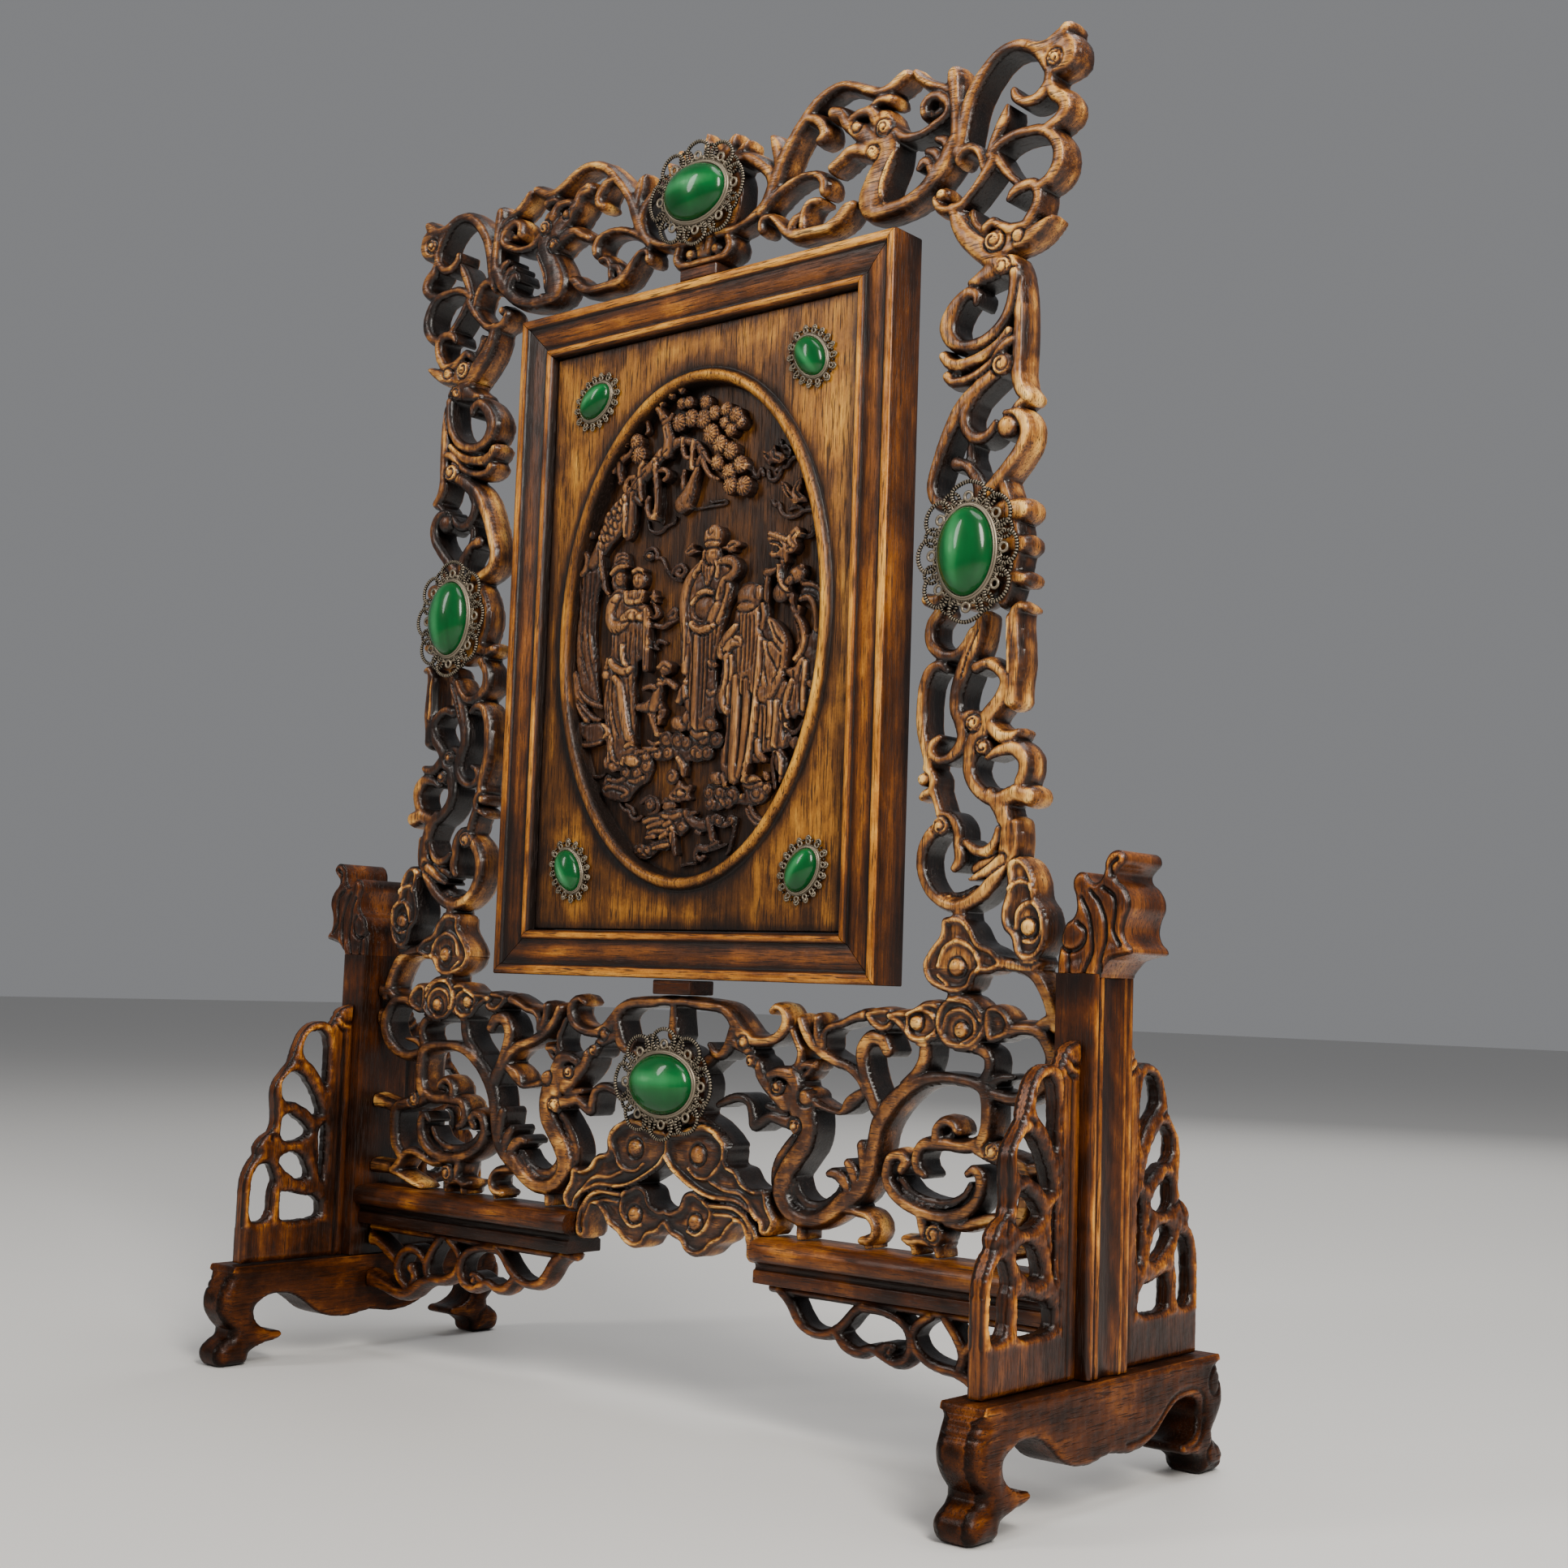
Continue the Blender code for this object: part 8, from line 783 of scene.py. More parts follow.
          (9.2, 199), (9.2, 196.6), (6.4, 195.6), (2.8, 195), (-0.8, 195.3), (-1, 191.7), (-3.6, 191),
          (-5.8, 194.6), (-7.2, 197.2), (-10.8, 196), (-15, 196.6)]), ("S", 2.9, 0, [(-9.9, 202.6, 2.6, 60, 1)]),
    ("S", 2.9, 0, [(-5.1, 202.1, 2.7, 60, 1)]), ("S", 2.9, 0, [(-1.6, 201.1, 2, 60, 1)]),
    ("S", 2.9, 0, [(5.4, 202.1, 2.5, 60, 1)]), ("S", 2.9, 0, [(10.8, 201.3, 2.5, 60, 1)]),
    ("S", 2.9, 0, [(-9.2, 198.1, 2, 60, 1)]), ("S", 2.9, 0, [(-13.5, 197.9, 1.7, 60, 1)]),
    ("S", 2.9, 0, [(2.2, 198.1, 2, 60, 1)]), ("S", 2.9, 0, [(7.2, 197.5, 2.2, 60, 1)]),
    ("S", 2.9, 0, [(3.9, 197.3, 1.7, 60, 1)]),
    ("T", 2.7, 0, [(-17.3, 202.4, 0.4), (-15.1, 201.2, 0.7), (-13, 201.7, 0.5)]),
    ("T", 2.7, 0, [(-19.4, 200.2, 0.4), (-16.5, 199.8, 0.7), (-13.7, 199.7, 0.5)]),
    ("T", 3.2, 0, [(-4.4, 196.4, 0.8), (-2.4, 193.7, 1.2), (-1.8, 191.3, 0.9)]),
    ("T", 2.6, 0, [(-19.5, 199.2, 0.5), (-22.3, 199.4, 0.6), (-23.8, 199.1, 0.5)]),
    ("T", 3.4, 0, [(1.7, 204.1, 1.4), (3.4, 203, 1.2), (7, 203.4, 0.8)]),
    ("B", 2.1, 1, [(6, 186), (7.9, 188.1), (12.2, 187.4), (15.8, 186.7), (18.6, 187.4), (20, 185.3),
          (21.5, 183.1), (22.9, 183.8), (22.9, 186.7), (25.8, 187.4), (29.3, 188.1), (31.8, 186.8),
          (31.9, 183.8), (30, 181.8), (26.9, 181), (22.9, 181.2), (20, 181.7), (15.8, 181), (12.2, 179.8),
          (7.9, 180.4), (6.5, 183.1)]), ("S", 2.9, 0, [(9.5, 182.1, 2.2, 40, -1)]),
    ("S", 2.9, 0, [(8.8, 185.3, 2, 40, -1)]), ("S", 2.9, 0, [(13.1, 185.2, 2.4, 40, -1)]),
    ("S", 2.9, 0, [(17.9, 184.4, 2.6, 40, -1)]), ("S", 2.9, 0, [(28.1, 184.7, 3.2, 40, -1)]),
    ("S", 2.9, 0, [(16.5, 182.1, 1.9, 40, -1)]), ("S", 2.9, 0, [(31.5, 185.9, 1.8, 40, -1)]),
    ("T", 2.8, 0, [(22.8, 187.3, 0.7), (25.7, 186.5, 0.9), (29.3, 187.3, 0.8)]),
    ("T", 2.8, 0, [(13.6, 183, 0.6), (15, 181.6, 0.7)]),
    ("T", 2.2, 0, [(23.6, 179.8, 0.6), (25.1, 177.4, 0.8), (27.4, 175.6, 0.8), (29.9, 174.8, 0.5)]),
    ("T", 2.2, 0, [(24.9, 180.7, 0.6), (26.3, 178.4, 0.8), (28.4, 176.8, 0.8), (30.3, 176.2, 0.5)]),
    ("T", 1.6, 0, [(19.4, 177.4, 0.4), (18.2, 172.4, 0.5), (16.9, 168.1, 0.5), (15.9, 166.5, 0.4)]),
    ("B", 3, 0.9, [(-6.8, 185.9), (-5.4, 187.2), (-4.1, 188.7), (-3.3, 189.6), (-2, 188.2), (-0.5, 187.6),
          (1.5, 188), (1.3, 186.4), (0.6, 185.3), (1.7, 183.7), (0.3, 183.1), (-1.5, 183.3), (-3.4, 182.7),
          (-5.1, 183), (-7, 182.6), (-8, 184.4)]), ("C", 3.6, 0, [(-2.7, 185.5, 1.4, 1.2, 0)]),
    ("G", 0.8, 0, [(-6.1, 185, 0.35), (-4.5, 184.7, 0.45), (-4, 186.4, 0.35)]),
    ("G", 0.8, 0, [(-2, 186.4, 0.35), (-0.4, 185.6, 0.4), (-1.1, 184.1, 0.35)]),
    ("S", 2.8, 0, [(-7, 190.8, 2.5, 0, 1)]),
    ("T", 2.4, 0, [(-10.4, 183.1, 0.6), (-8.8, 183.8, 0.8), (-7.8, 183.1, 0.7)]),
    ("B", 2.8, 0.8, [(-10, 181.4), (-9, 182.9), (-6.9, 183.2), (-5, 182.6), (-4.7, 181.4), (-6.7, 180.9),
          (-8.3, 180.2), (-9.3, 180.3)]),
    ("T", 2.2, 0, [(-20.1, 183.1, 0.5), (-18.1, 184.4, 0.7), (-15.9, 184.8, 0.7), (-13.6, 183.7, 0.7),
          (-12.6, 181.9, 0.7), (-13.6, 179.9, 0.6), (-16.3, 179.4, 0.5)]),
    ("S", 2.8, 0, [(-15.9, 182.4, 2.1, 30, 1)]),
    ("T", 1.8, 0, [(-29.7, 183.1, 0.5), (-27.9, 181.3, 0.6), (-25.5, 180.6, 0.7), (-24.5, 178.8, 0.7),
          (-22.4, 178, 0.7), (-20.2, 178.8, 0.6)]),
    ("T", 1.8, 0, [(-26.7, 182.7, 0.5), (-24.5, 181.8, 0.6), (-23.4, 179.8, 0.6)]),
    ("B", 2.2, 1, [(-19, 178.2), (-15.6, 178.8), (-12.7, 179.5), (-10.6, 180.4), (-7, 180.7), (-2.7, 180.9),
          (-0.1, 179.8), (0.9, 177.4), (-0.1, 174.5), (-2.7, 172.3), (-4.9, 173.8), (-7, 173), (-9.9, 171.6),
          (-12.7, 172.3), (-15.6, 171.6), (-17.7, 173), (-17, 175.2), (-19.4, 176.3)]),
    ("B", 2.2, 1, [(-21.6, 169.9), (-19.1, 169.5), (-15.6, 170.5), (-12.7, 171), (-9.9, 171.9), (-7, 171.6),
          (-6.4, 169.5), (-8.4, 168), (-11.3, 168.2), (-14.1, 166.6), (-17, 165.4), (-19.9, 165.9), (-22, 167.3)]),
    ("T", 3, 0, [(-17.7, 177, 0.7), (-14.8, 177.6, 1), (-12, 177.8, 0.8)]),
    ("T", 3, 0, [(-16, 175.4, 0.7), (-13.4, 176.1, 1), (-9.8, 176.8, 0.8)]),
    ("T", 3, 0, [(-15.5, 173.3, 0.6), (-12.7, 174.1, 0.9), (-9.1, 174, 0.8), (-6.3, 175, 0.6)]),
    ("T", 3, 0, [(-9.8, 178.7, 0.7), (-6.3, 178.1, 1), (-2.7, 179, 0.9)]),
    ("T", 3, 0, [(-9.1, 175.8, 0.8), (-7, 176.7, 1)]), ("T", 3, 0, [(-16.3, 172.1, 0.6), (-13.4, 172.5, 0.8)]),
    ("T", 3, 0, [(-10.5, 172.3, 0.7), (-8.3, 173.3, 0.8)]),
    ("T", 3, 0, [(-13.4, 168.7, 0.6), (-9.8, 169.4, 0.9), (-7, 169.8, 0.7)]),
    ("T", 3, 0, [(-20, 169.4, 0.6), (-19.1, 167.7, 0.8), (-17, 167, 0.7)]),
    ("T", 3, 0, [(-16.3, 169.1, 0.5), (-15.8, 167.2, 0.6)]), ("S", 2.9, 0, [(-19.2, 168.5, 1.8, 0, 1)]),
    ("S", 2.9, 0, [(-16.2, 168.1, 1.6, 0, 1)]), ("S", 2.9, 0, [(-2.1, 175, 1.9, 0, 1)]),
    ("T", 3.2, 0, [(-5.9, 175, 0.8), (-5.2, 172.2, 0.8), (-4.5, 168.7, 0.7), (-3.8, 166.7, 0.5)]),
    ("T", 3.2, 0, [(-5.9, 173.2, 0.6), (-5.8, 170.8, 0.6)]),
    ("T", 2.6, 0, [(-0.9, 179.5, 1.4), (1.2, 177.3, 1.8), (3.4, 175.9, 2), (6.2, 175.6, 2.1), (9.8, 177, 1.7),
          (11.9, 177.9, 1)]), ("T", 2.4, 0, [(1, 178.8, 0.7), (1.9, 179.3, 0.7), (3.2, 179.5, 0.5)]),
    ("T", 2.6, 0, [(8.4, 177.3, 1.2), (9.5, 174.4, 1.1), (10.2, 171.6, 1), (11.2, 170.1, 0.7)]),
    ("T", 2.6, 0, [(11.9, 176.6, 1), (14.8, 175.4, 1), (18.1, 176.2, 0.7)]),
    ("S", 2.8, 0, [(13, 176.7, 1.8, 0, 1)]), ("S", 2.8, 0, [(17.8, 176.9, 1.5, 0, -1)]),
    ("T", 2.4, 0, [(3.9, 173.7, 0.9), (5.2, 173, 0.6)]),
    ("T", 2.2, 0, [(3.7, 165.2, 0.6), (3.4, 167.3, 0.9), (4.8, 168.7, 1.2), (7.3, 168.3, 1.3), (10.1, 169, 1),
          (12.3, 170.2, 0.7)]), ("T", 2.4, 0, [(4.6, 165.9, 0.6), (6, 165.1, 0.8), (7.2, 165.9, 0.6)]),
    ("T", 1.6, 0, [(9.6, 168.1, 0.6), (12.4, 168.8, 0.7), (15.3, 169.5, 0.5)]),
    ("T", 1.4, 0, [(-2.6, 163.2, 0.4), (0.1, 163.8, 0.5), (3.7, 163.9, 0.4)]),
]

# ------------------------------------------------------------------ curves and fields
def spline(pts, n=6, closed=False):
    """Catmull-Rom curve through the given points, n steps to each span."""
    P = [np.array(p, float) for p in pts]
    m = len(P)
    if m == 1:
        return np.array([P[0], P[0] + np.array([1e-3] + [0.0] * (len(P[0]) - 1))])
    out = []
    for i in range(m if closed else m - 1):
        b, c = P[i], P[(i + 1) % m]
        a = P[(i - 1) % m] if (closed or i > 0) else 2 * b - c
        d = P[(i + 2) % m] if (closed or i + 2 < m) else 2 * c - b
        for k in range(n):
            t = k / n
            out.append(0.5 * (2 * b + (c - a) * t + (2 * a - 5 * b + 4 * c - d) * t * t
                              + (3 * b - a - 3 * c + d) * t ** 3))
    if not closed:
        out.append(P[-1])
    return np.array(out)


def smooth(t):
    t = np.clip(t, 0.0, 1.0)
    return t * t * (3 - 2 * t)


def limb_field(X, Z, pts, n=6):
    """Signed distance (positive inside) to a limb of varying width, its local
    half width, the distance from its centre line and how far along it that is."""
    q = spline(pts, n)
    best = np.full(X.shape, -1e9)
    wid = np.zeros(X.shape)
    dist = np.full(X.shape, 1e9)
    run = np.zeros(X.shape)
    total = 0.0
    for a, b in zip(q[:-1], q[1:]):
        r = max(a[2], b[2]) + 2.5
        i0, i1 = np.searchsorted(X[:, 0], [min(a[0], b[0]) - r, max(a[0], b[0]) + r])
        j0, j1 = np.searchsorted(Z[0, :], [min(a[1], b[1]) - r, max(a[1], b[1]) + r])
        dx, dz = b[0] - a[0], b[1] - a[1]
        ln = math.hypot(dx, dz)
        if i0 < i1 and j0 < j1:
            s = (slice(i0, i1), slice(j0, j1))
            px, pz = X[s] - a[0], Z[s] - a[1]
            t = np.clip((px * dx + pz * dz) / max(ln * ln, 1e-9), 0, 1)
            d = np.hypot(px - t * dx, pz - t * dz)
            w = a[2] + t * (b[2] - a[2])
            f = w - d
            up = f > best[s]
            best[s][up] = f[up]
            wid[s][up] = w[up]
            dist[s][up] = d[up]
            run[s][up] = (total + t * ln)[up]
        total += ln
    return best, wid, dist, run


def closed_outline(pts, n=6):
    """Closed curve; one that starts and ends on the mirror line is carried past it."""
    if abs(pts[0][0]) < 0.9 and abs(pts[-1][0]) < 0.9 and len(pts) > 4:
        q = spline(pts, n)
        return np.vstack([q, [[-4.0, pts[-1][1]], [-4.0, pts[0][1]]]])
    return spline(pts, n, closed=True)


def plate_field(X, Z, pts, n=5, ready=None):
    """Signed distance (positive inside) to a closed outline."""
    q = ready if ready is not None else closed_outline(pts, n)
    best = np.full(X.shape, -1e9)
    lo, hi = q.min(0) - 3, q.max(0) + 3
    i0, i1 = np.searchsorted(X[:, 0], [lo[0], hi[0]])
    j0, j1 = np.searchsorted(Z[0, :], [lo[1], hi[1]])
    if i0 >= i1 or j0 >= j1:
        return best
    s = (slice(i0, i1), slice(j0, j1))
    x, z = X[s], Z[s]
    inside = np.zeros(x.shape, bool)
    near = np.full(x.shape, 1e9)
    for i in range(len(q)):
        a, b = q[i], q[(i + 1) % len(q)]
        dx, dz = b[0] - a[0], b[1] - a[1]
        t = np.clip(((x - a[0]) * dx + (z - a[1]) * dz) / max(dx * dx + dz * dz, 1e-12), 0, 1)
        near = np.minimum(near, np.hypot(x - a[0] - t * dx, z - a[1] - t * dz))
        if abs(dz) > 1e-12:
            inside ^= ((a[1] > z) != (b[1] > z)) & (x < a[0] + dx * (z - a[1]) / dz)
    best[s] = np.where(inside, near, -near)
    return best


def ripple(X, Z, seed=0.0):
    """Slow unevenness of a hand-worked surface, about -1 to 1."""
    return (np.sin(X * 0.83 + Z * 0.31 + seed) * np.sin(Z * 0.74 - X * 0.27 + 1.7 * seed)
            + 0.6 * np.sin(X * 1.9 - Z * 1.3 + 2.1 + seed) * np.sin(Z * 1.7 + X * 0.9 + seed)
            + 0.5 * np.sin(X * 0.21 + 3.1 * seed) * np.sin(Z * 0.17 + seed)) / 2.1


# ------------------------------------------------------------------ carving
def round_over(r, drop, p=2.4, q=0.5):
    """Cross profile of a strand: 0 on its crown, drop at its edge (r = 1)."""
    r = np.clip(r, 0, 1)
    return drop * (1 - np.maximum(1 - r ** p, 0) ** q)


def carve(strokes, X, Z, step, depth=9.0):
    """Paints the strokes in order. Gives F (positive inside the wood) and H, how
    far the carved surface lies below the board's face, in mm."""
    F = np.full(X.shape, -9.0)
    H = np.full(X.shape, depth)
    for kind, lev, pts in strokes:
        if kind in "PD":
            f = plate_field(X, Z, pts)
            on = f > -1.3 * step
            if kind == "P":
                h = lev + 0.7 * (1 - smooth(f / 0.9))
                F = np.maximum(F, f)
                H = np.where(on, np.minimum(H, h), H)
            else:
                rim = lev + 0.55 * (1 - smooth(f / 0.7))
                h = rim + 1.25 * smooth((f - 0.9) / 1.5) - 0.55 * smooth((f - 3.0) / 3.2)
                ditch = (f <= 0) & (f > -0.9) & (H < depth - 1)
                H = np.where(ditch, H + 0.9 * (1 + f / 0.9), H)
                F = np.maximum(F, f)
                H = np.where(on & ((f > 0) | (H > depth - 1)), h, H)
            continue
        f, w, d, run = limb_field(X, Z, pts)
        near = f > -1.3 * step
        r = d / np.maximum(w, 1e-6)
        if kind == "R":
            h = lev + round_over(r, np.minimum(1.9, 0.8 * w + 0.15))
            F = np.maximum(F, f)
            H = np.where(near, np.minimum(H, h), H)
        elif kind == "o":
            h = lev + round_over(r, np.minimum(1.7, 0.85 * w))
            ditch = (f <= 0) & (f > -0.8) & (H < depth - 1)
            H = np.where(ditch, H + 0.8 * (1 + f / 0.8), H)
            F = np.maximum(F, f)
            H = np.where(near & ((f > 0) | (H > depth - 1)), h, H)
        elif kind == "L":
            h = lev + round_over(r, np.minimum(1.0, 0.6 * w))
            F = np.maximum(F, f)
            H = np.where(near, np.minimum(H, h), H)
        elif kind == "K":
            ditch = (f <= 0) & (f > -0.75) & (H < depth - 1)
            H = np.where(ditch, H + 0.85 * (1 + f / 0.75), H)
            F = np.maximum(F, f)
            h = lev + round_over(r, 0.85 * w, 2.0)
            H = np.where(near & ((f > 0) | (H > depth - 1)), h, H)
        elif kind == "V":
            ditch = (f <= 0) & (f > -0.8) & (H < depth - 1)
            H = np.where(ditch, H + 0.8 * (1 + f / 0.8), H)
            F = np.maximum(F, f)
            cx, cz = pts[0][0], pts[0][1]
            turn = np.mod(math.copysign(1, math.sin(3.1 * cx)) * np.arctan2(Z - cz, X - cx) + 1.7 * cx,
                          2 * math.pi) / (2 * math.pi)
            gap = np.minimum(np.abs(r - 0.34 - 0.42 * turn), np.abs(r - 0.76 - 0.42 * turn))
            h = lev + 0.8 * smooth((r - 0.74) / 0.26) + 1.0 * np.exp(-(gap / 0.13) ** 2) \
                - 0.25 * (1 - smooth(r / 0.45))
            H = np.where(near & ((f > 0) | (H > depth - 1)), h, H)
        elif kind == "E":
            r = np.clip(d / np.maximum(1.5 * w, 1e-6), 0, 1)
            H = np.where(H < depth - 1, np.maximum(H - 0.85 * (1 - r * r) ** 2, 0.0), H)
        elif kind == "G":
            H = np.where((f > 0) & (H < depth - 1), H + 0.75 * np.maximum(1 - r * r, 0) ** 0.5, H)
    return F, H


def blur(A, n):
    """Box blur of half width n cells along both ways, run twice."""
    for _ in range(2):
        for ax in (0, 1):
            pad = [(0, 0), (0, 0)]
            pad[ax] = (n + 1, n)
            c = np.cumsum(np.pad(A, pad, mode="edge"), axis=ax)
            k = 2 * n + 1
            A = (c[k:, :] - c[:-k, :]) / k if ax == 0 else (c[:, k:] - c[:, :-k]) / k
    return A


def outer_air(F):
    """True where the air joins the border of the drawing without crossing wood."""
    free = F <= 0
    out = np.zeros(F.shape, bool)
    out[0, :] = out[-1, :] = True
    out[:, 0] = out[:, -1] = True
    out &= free
    for k in range(900):
        g = out.copy()
        g[1:, :] |= out[:-1, :]
        g[:-1, :] |= out[1:, :]
        g[:, 1:] |= out[:, :-1]
        g[:, :-1] |= out[:, 1:]
        g &= free
        if k % 16 == 0 and (g == out).all():
            break
        out = g
    return out


def wear_and_shade_of(F, H, step, base=0.5, span=2.2, gain=0.30, edge=0.22, rim=None):
    """Wear of the finish and painted shade: near 1 where it stands proud and is rubbed, 0 in hollows, where the
    darkening is painted shade.
    """
    wood = (F > 0).astype(float)
    Hc = np.minimum(H, 8.5)
    n = max(1, int(round(span / step / 2)))
    mean = blur(Hc * wood, n) / np.maximum(blur(wood, n), 1e-3)
    proud = mean - Hc
    small = max(1, int(round(0.9 / step / 2)))
    fine = blur(Hc * wood, small) / np.maximum(blur(wood, small), 1e-3) - Hc
    t = base + gain * proud + 0.45 * fine
    near = np.exp(-(np.maximum(F, 0) / 0.75) ** 2)
    if rim is None:
        t += edge * near
    else:
        t = t * (1 - 0.8 * near) + 0.8 * near * rim
    return np.clip(t, 0.0, 1.0)


# ------------------------------------------------------------------ height field to mesh
POLY = {1: [[0, 4, 7]], 2: [[1, 5, 4]], 3: [[0, 1, 5, 7]], 4: [[2, 6, 5]], 5: [[0, 4, 7], [2, 6, 5]],
        6: [[1, 2, 6, 4]], 7: [[0, 1, 2, 6, 7]], 8: [[3, 7, 6]], 9: [[0, 4, 6, 3]],
        10: [[1, 5, 4], [3, 7, 6]], 11: [[0, 1, 5, 6, 3]], 12: [[7, 5, 2, 3]], 13: [[0, 4, 5, 2, 3]],
        14: [[4, 1, 2, 3, 7]]}
RIM = {1: [(4, 7)], 2: [(5, 4)], 3: [(5, 7)], 4: [(6, 5)], 5: [(4, 7), (6, 5)], 6: [(6, 4)], 7: [(6, 7)],
       8: [(7, 6)], 9: [(4, 6)], 10: [(5, 4), (7, 6)], 11: [(5, 6)], 12: [(7, 5)], 13: [(4, 5)], 14: [(7, 4)]}


def slab(xs, zs, F, front, back, tone_front, tone_back, wall_tones, rows=(0.6,), coarse_back=True, tuck=None):
    """Closed body between two height fields over the region where F > 0.
    Gives vertices (u, depth, z), triangles and a tone for each vertex."""
    step = xs[1] - xs[0]
    F = np.where(np.abs(F) < 0.08 * step, np.where(F > 0, 0.08 * step, -0.08 * step), F)
    ins = F > 0
    nx, nz = F.shape
    nid = np.full((nx, nz), -1); nid[ins] = np.arange(ins.sum())
    n = int(ins.sum())
    hx = ins[:-1, :] != ins[1:, :]
    hid = np.full(hx.shape, -1); hid[hx] = n + np.arange(hx.sum()); nh = int(hx.sum())
    vx = ins[:, :-1] != ins[:, 1:]
    vid = np.full(vx.shape, -1); vid[vx] = n + nh + np.arange(vx.sum())
    XX, ZZ = np.meshgrid(xs, zs, indexing="ij")

    def spread(A):
        th = np.clip(F[:-1, :][hx] / (F[:-1, :][hx] - F[1:, :][hx]), 0.06, 0.94)
        tv = np.clip(F[:, :-1][vx] / (F[:, :-1][vx] - F[:, 1:][vx]), 0.06, 0.94)
        return np.concatenate([A[ins], A[:-1, :][hx] * (1 - th) + A[1:, :][hx] * th,
                               A[:, :-1][vx] * (1 - tv) + A[:, 1:][vx] * tv])
    U, W = spread(XX), spread(ZZ)
    YF, YB, TF, TB = spread(front), spread(back), spread(tone_front), spread(tone_back)
    TW = [spread(t) for t in wall_tones]
    N = len(U)
    ids = [nid[:-1, :-1], nid[1:, :-1], nid[1:, 1:], nid[:-1, 1:], hid[:, :-1], vid[1:, :], hid[:, 1:],
           vid[:-1, :]]
    code = ins[:-1, :-1] * 1 + ins[1:, :-1] * 2 + ins[1:, 1:] * 4 + ins[:-1, 1:] * 8
    edge_tris, rim = [], []
    for c, polys in POLY.items():
        sel = code == c
        if not sel.any():
            continue
        v = [a[sel] for a in ids]
        for poly in polys:
            for k in range(1, len(poly) - 1):
                edge_tris.append(np.stack([v[poly[0]], v[poly[k]], v[poly[k + 1]]], 1))
        for a, b in RIM[c]:
            rim.append(np.stack([v[a], v[b]], 1))
    edge_tris, rim = np.vstack(edge_tris), np.vstack(rim)
    full = code == 15
    a, b, c, d = [x[full] for x in ids[:4]]
    swap = np.abs(YF[a] - YF[c]) > np.abs(YF[b] - YF[d])
    t1 = np.where(swap[:, None], np.stack([a, b, d], 1), np.stack([a, b, c], 1))
    t2 = np.where(swap[:, None], np.stack([b, c, d], 1), np.stack([a, c, d], 1))
    front_tris = np.vstack([edge_tris, t1, t2])
    if coarse_back:
        bx, bz = (nx - 1) // 2, (nz - 1) // 2
        M = np.ones((bx, bz), bool)
        for di in (0, 1):
            for dj in (0, 1):
                M &= full[di:2 * bx:2, dj:2 * bz:2]
        P = np.pad(M, 1)
        need = (1 - P[1:-1, :-2]) + 2 * (1 - P[2:, 1:-1]) + 4 * (1 - P[1:-1, 2:]) + 8 * (1 - P[:-2, 1:-1])
        I, J = np.nonzero(M)
        K = need[I, J].astype(int)
        at = [(0, 0), (1, 0), (2, 0), (2, 1), (2, 2), (1, 2), (0, 2), (0, 1)]
        v = [nid[2 * I + i, 2 * J + j] for i, j in at]
        inner = []
        for k in range(16):
            sel = K == k
            if not sel.any():
                continue
            order = [0] + ([1] if k & 1 else []) + [2] + ([3] if k & 2 else []) + [4] \
                + ([5] if k & 4 else []) + [6] + ([7] if k & 8 else [])
            mids = [i for i, o in enumerate(order) if o % 2]
            if mids:
                order = order[mids[0]:] + order[:mids[0]]
            for q in range(1, len(order) - 1):
                inner.append(np.stack([v[order[0]][sel], v[order[q]][sel], v[order[q + 1]][sel]], 1))
        left = full.copy()
        for di in (0, 1):
            for dj in (0, 1):
                left[di:2 * bx:2, dj:2 * bz:2] &= ~M
        a, b, c, d = [x[left] for x in ids[:4]]
        back_tris = np.vstack([edge_tris] + inner + [np.stack([a, b, c], 1), np.stack([a, c, d], 1)])
    else:
        back_tris = front_tris
    # walls: rim rows between the two faces
    used = np.unique(rim)
    m = len(used)
    look = np.full(N, -1); look[used] = np.arange(m)
    R = look[rim]
    uF, uB = YF[used], YB[used]
    lead = rows[0]
    levels = [uF + np.minimum(lead, 0.25 * (uB - uF)), 0.5 * (uF + uB), uB - np.minimum(lead, 0.25 * (uB - uF))]
    verts = [np.stack([U, YF, W], 1), np.stack([U, YB, W], 1)]
    tones = [TF, TB]
    gx = gz = 0.0
    if tuck is not None:
        # the outer faces are slightly hollow: their middle row is drawn into the wood
        S = blur(F, 1)
        dx, dz = np.gradient(S)
        ln = np.maximum(np.hypot(dx, dz), 1e-6)
        gx, gz = spread(dx / ln * tuck)[used], spread(dz / ln * tuck)[used]
    for lv, tw, share in zip(levels, TW, (0.25, 1.0, 0.25)):
        verts.append(np.stack([U[used] + share * gx, lv, W[used] + share * gz], 1))
        tones.append(tw[used])
    rings = [used[R]] + [2 * N + k * m + R for k in range(3)] + [N + used[R]]
    tris = [front_tris, back_tris[:, ::-1] + N]
    for p, q in zip(rings[:-1], rings[1:]):
        tris.append(np.stack([p[:, 1], p[:, 0], q[:, 0]], 1))
        tris.append(np.stack([p[:, 1], q[:, 0], q[:, 1]], 1))
    verts, tones, tris = np.vstack(verts), np.concatenate(tones), np.vstack(tris)
    keep = np.zeros(len(verts), bool)
    keep[tris] = True
    remap = np.cumsum(keep) - 1
    return verts[keep], remap[tris], tones[keep]


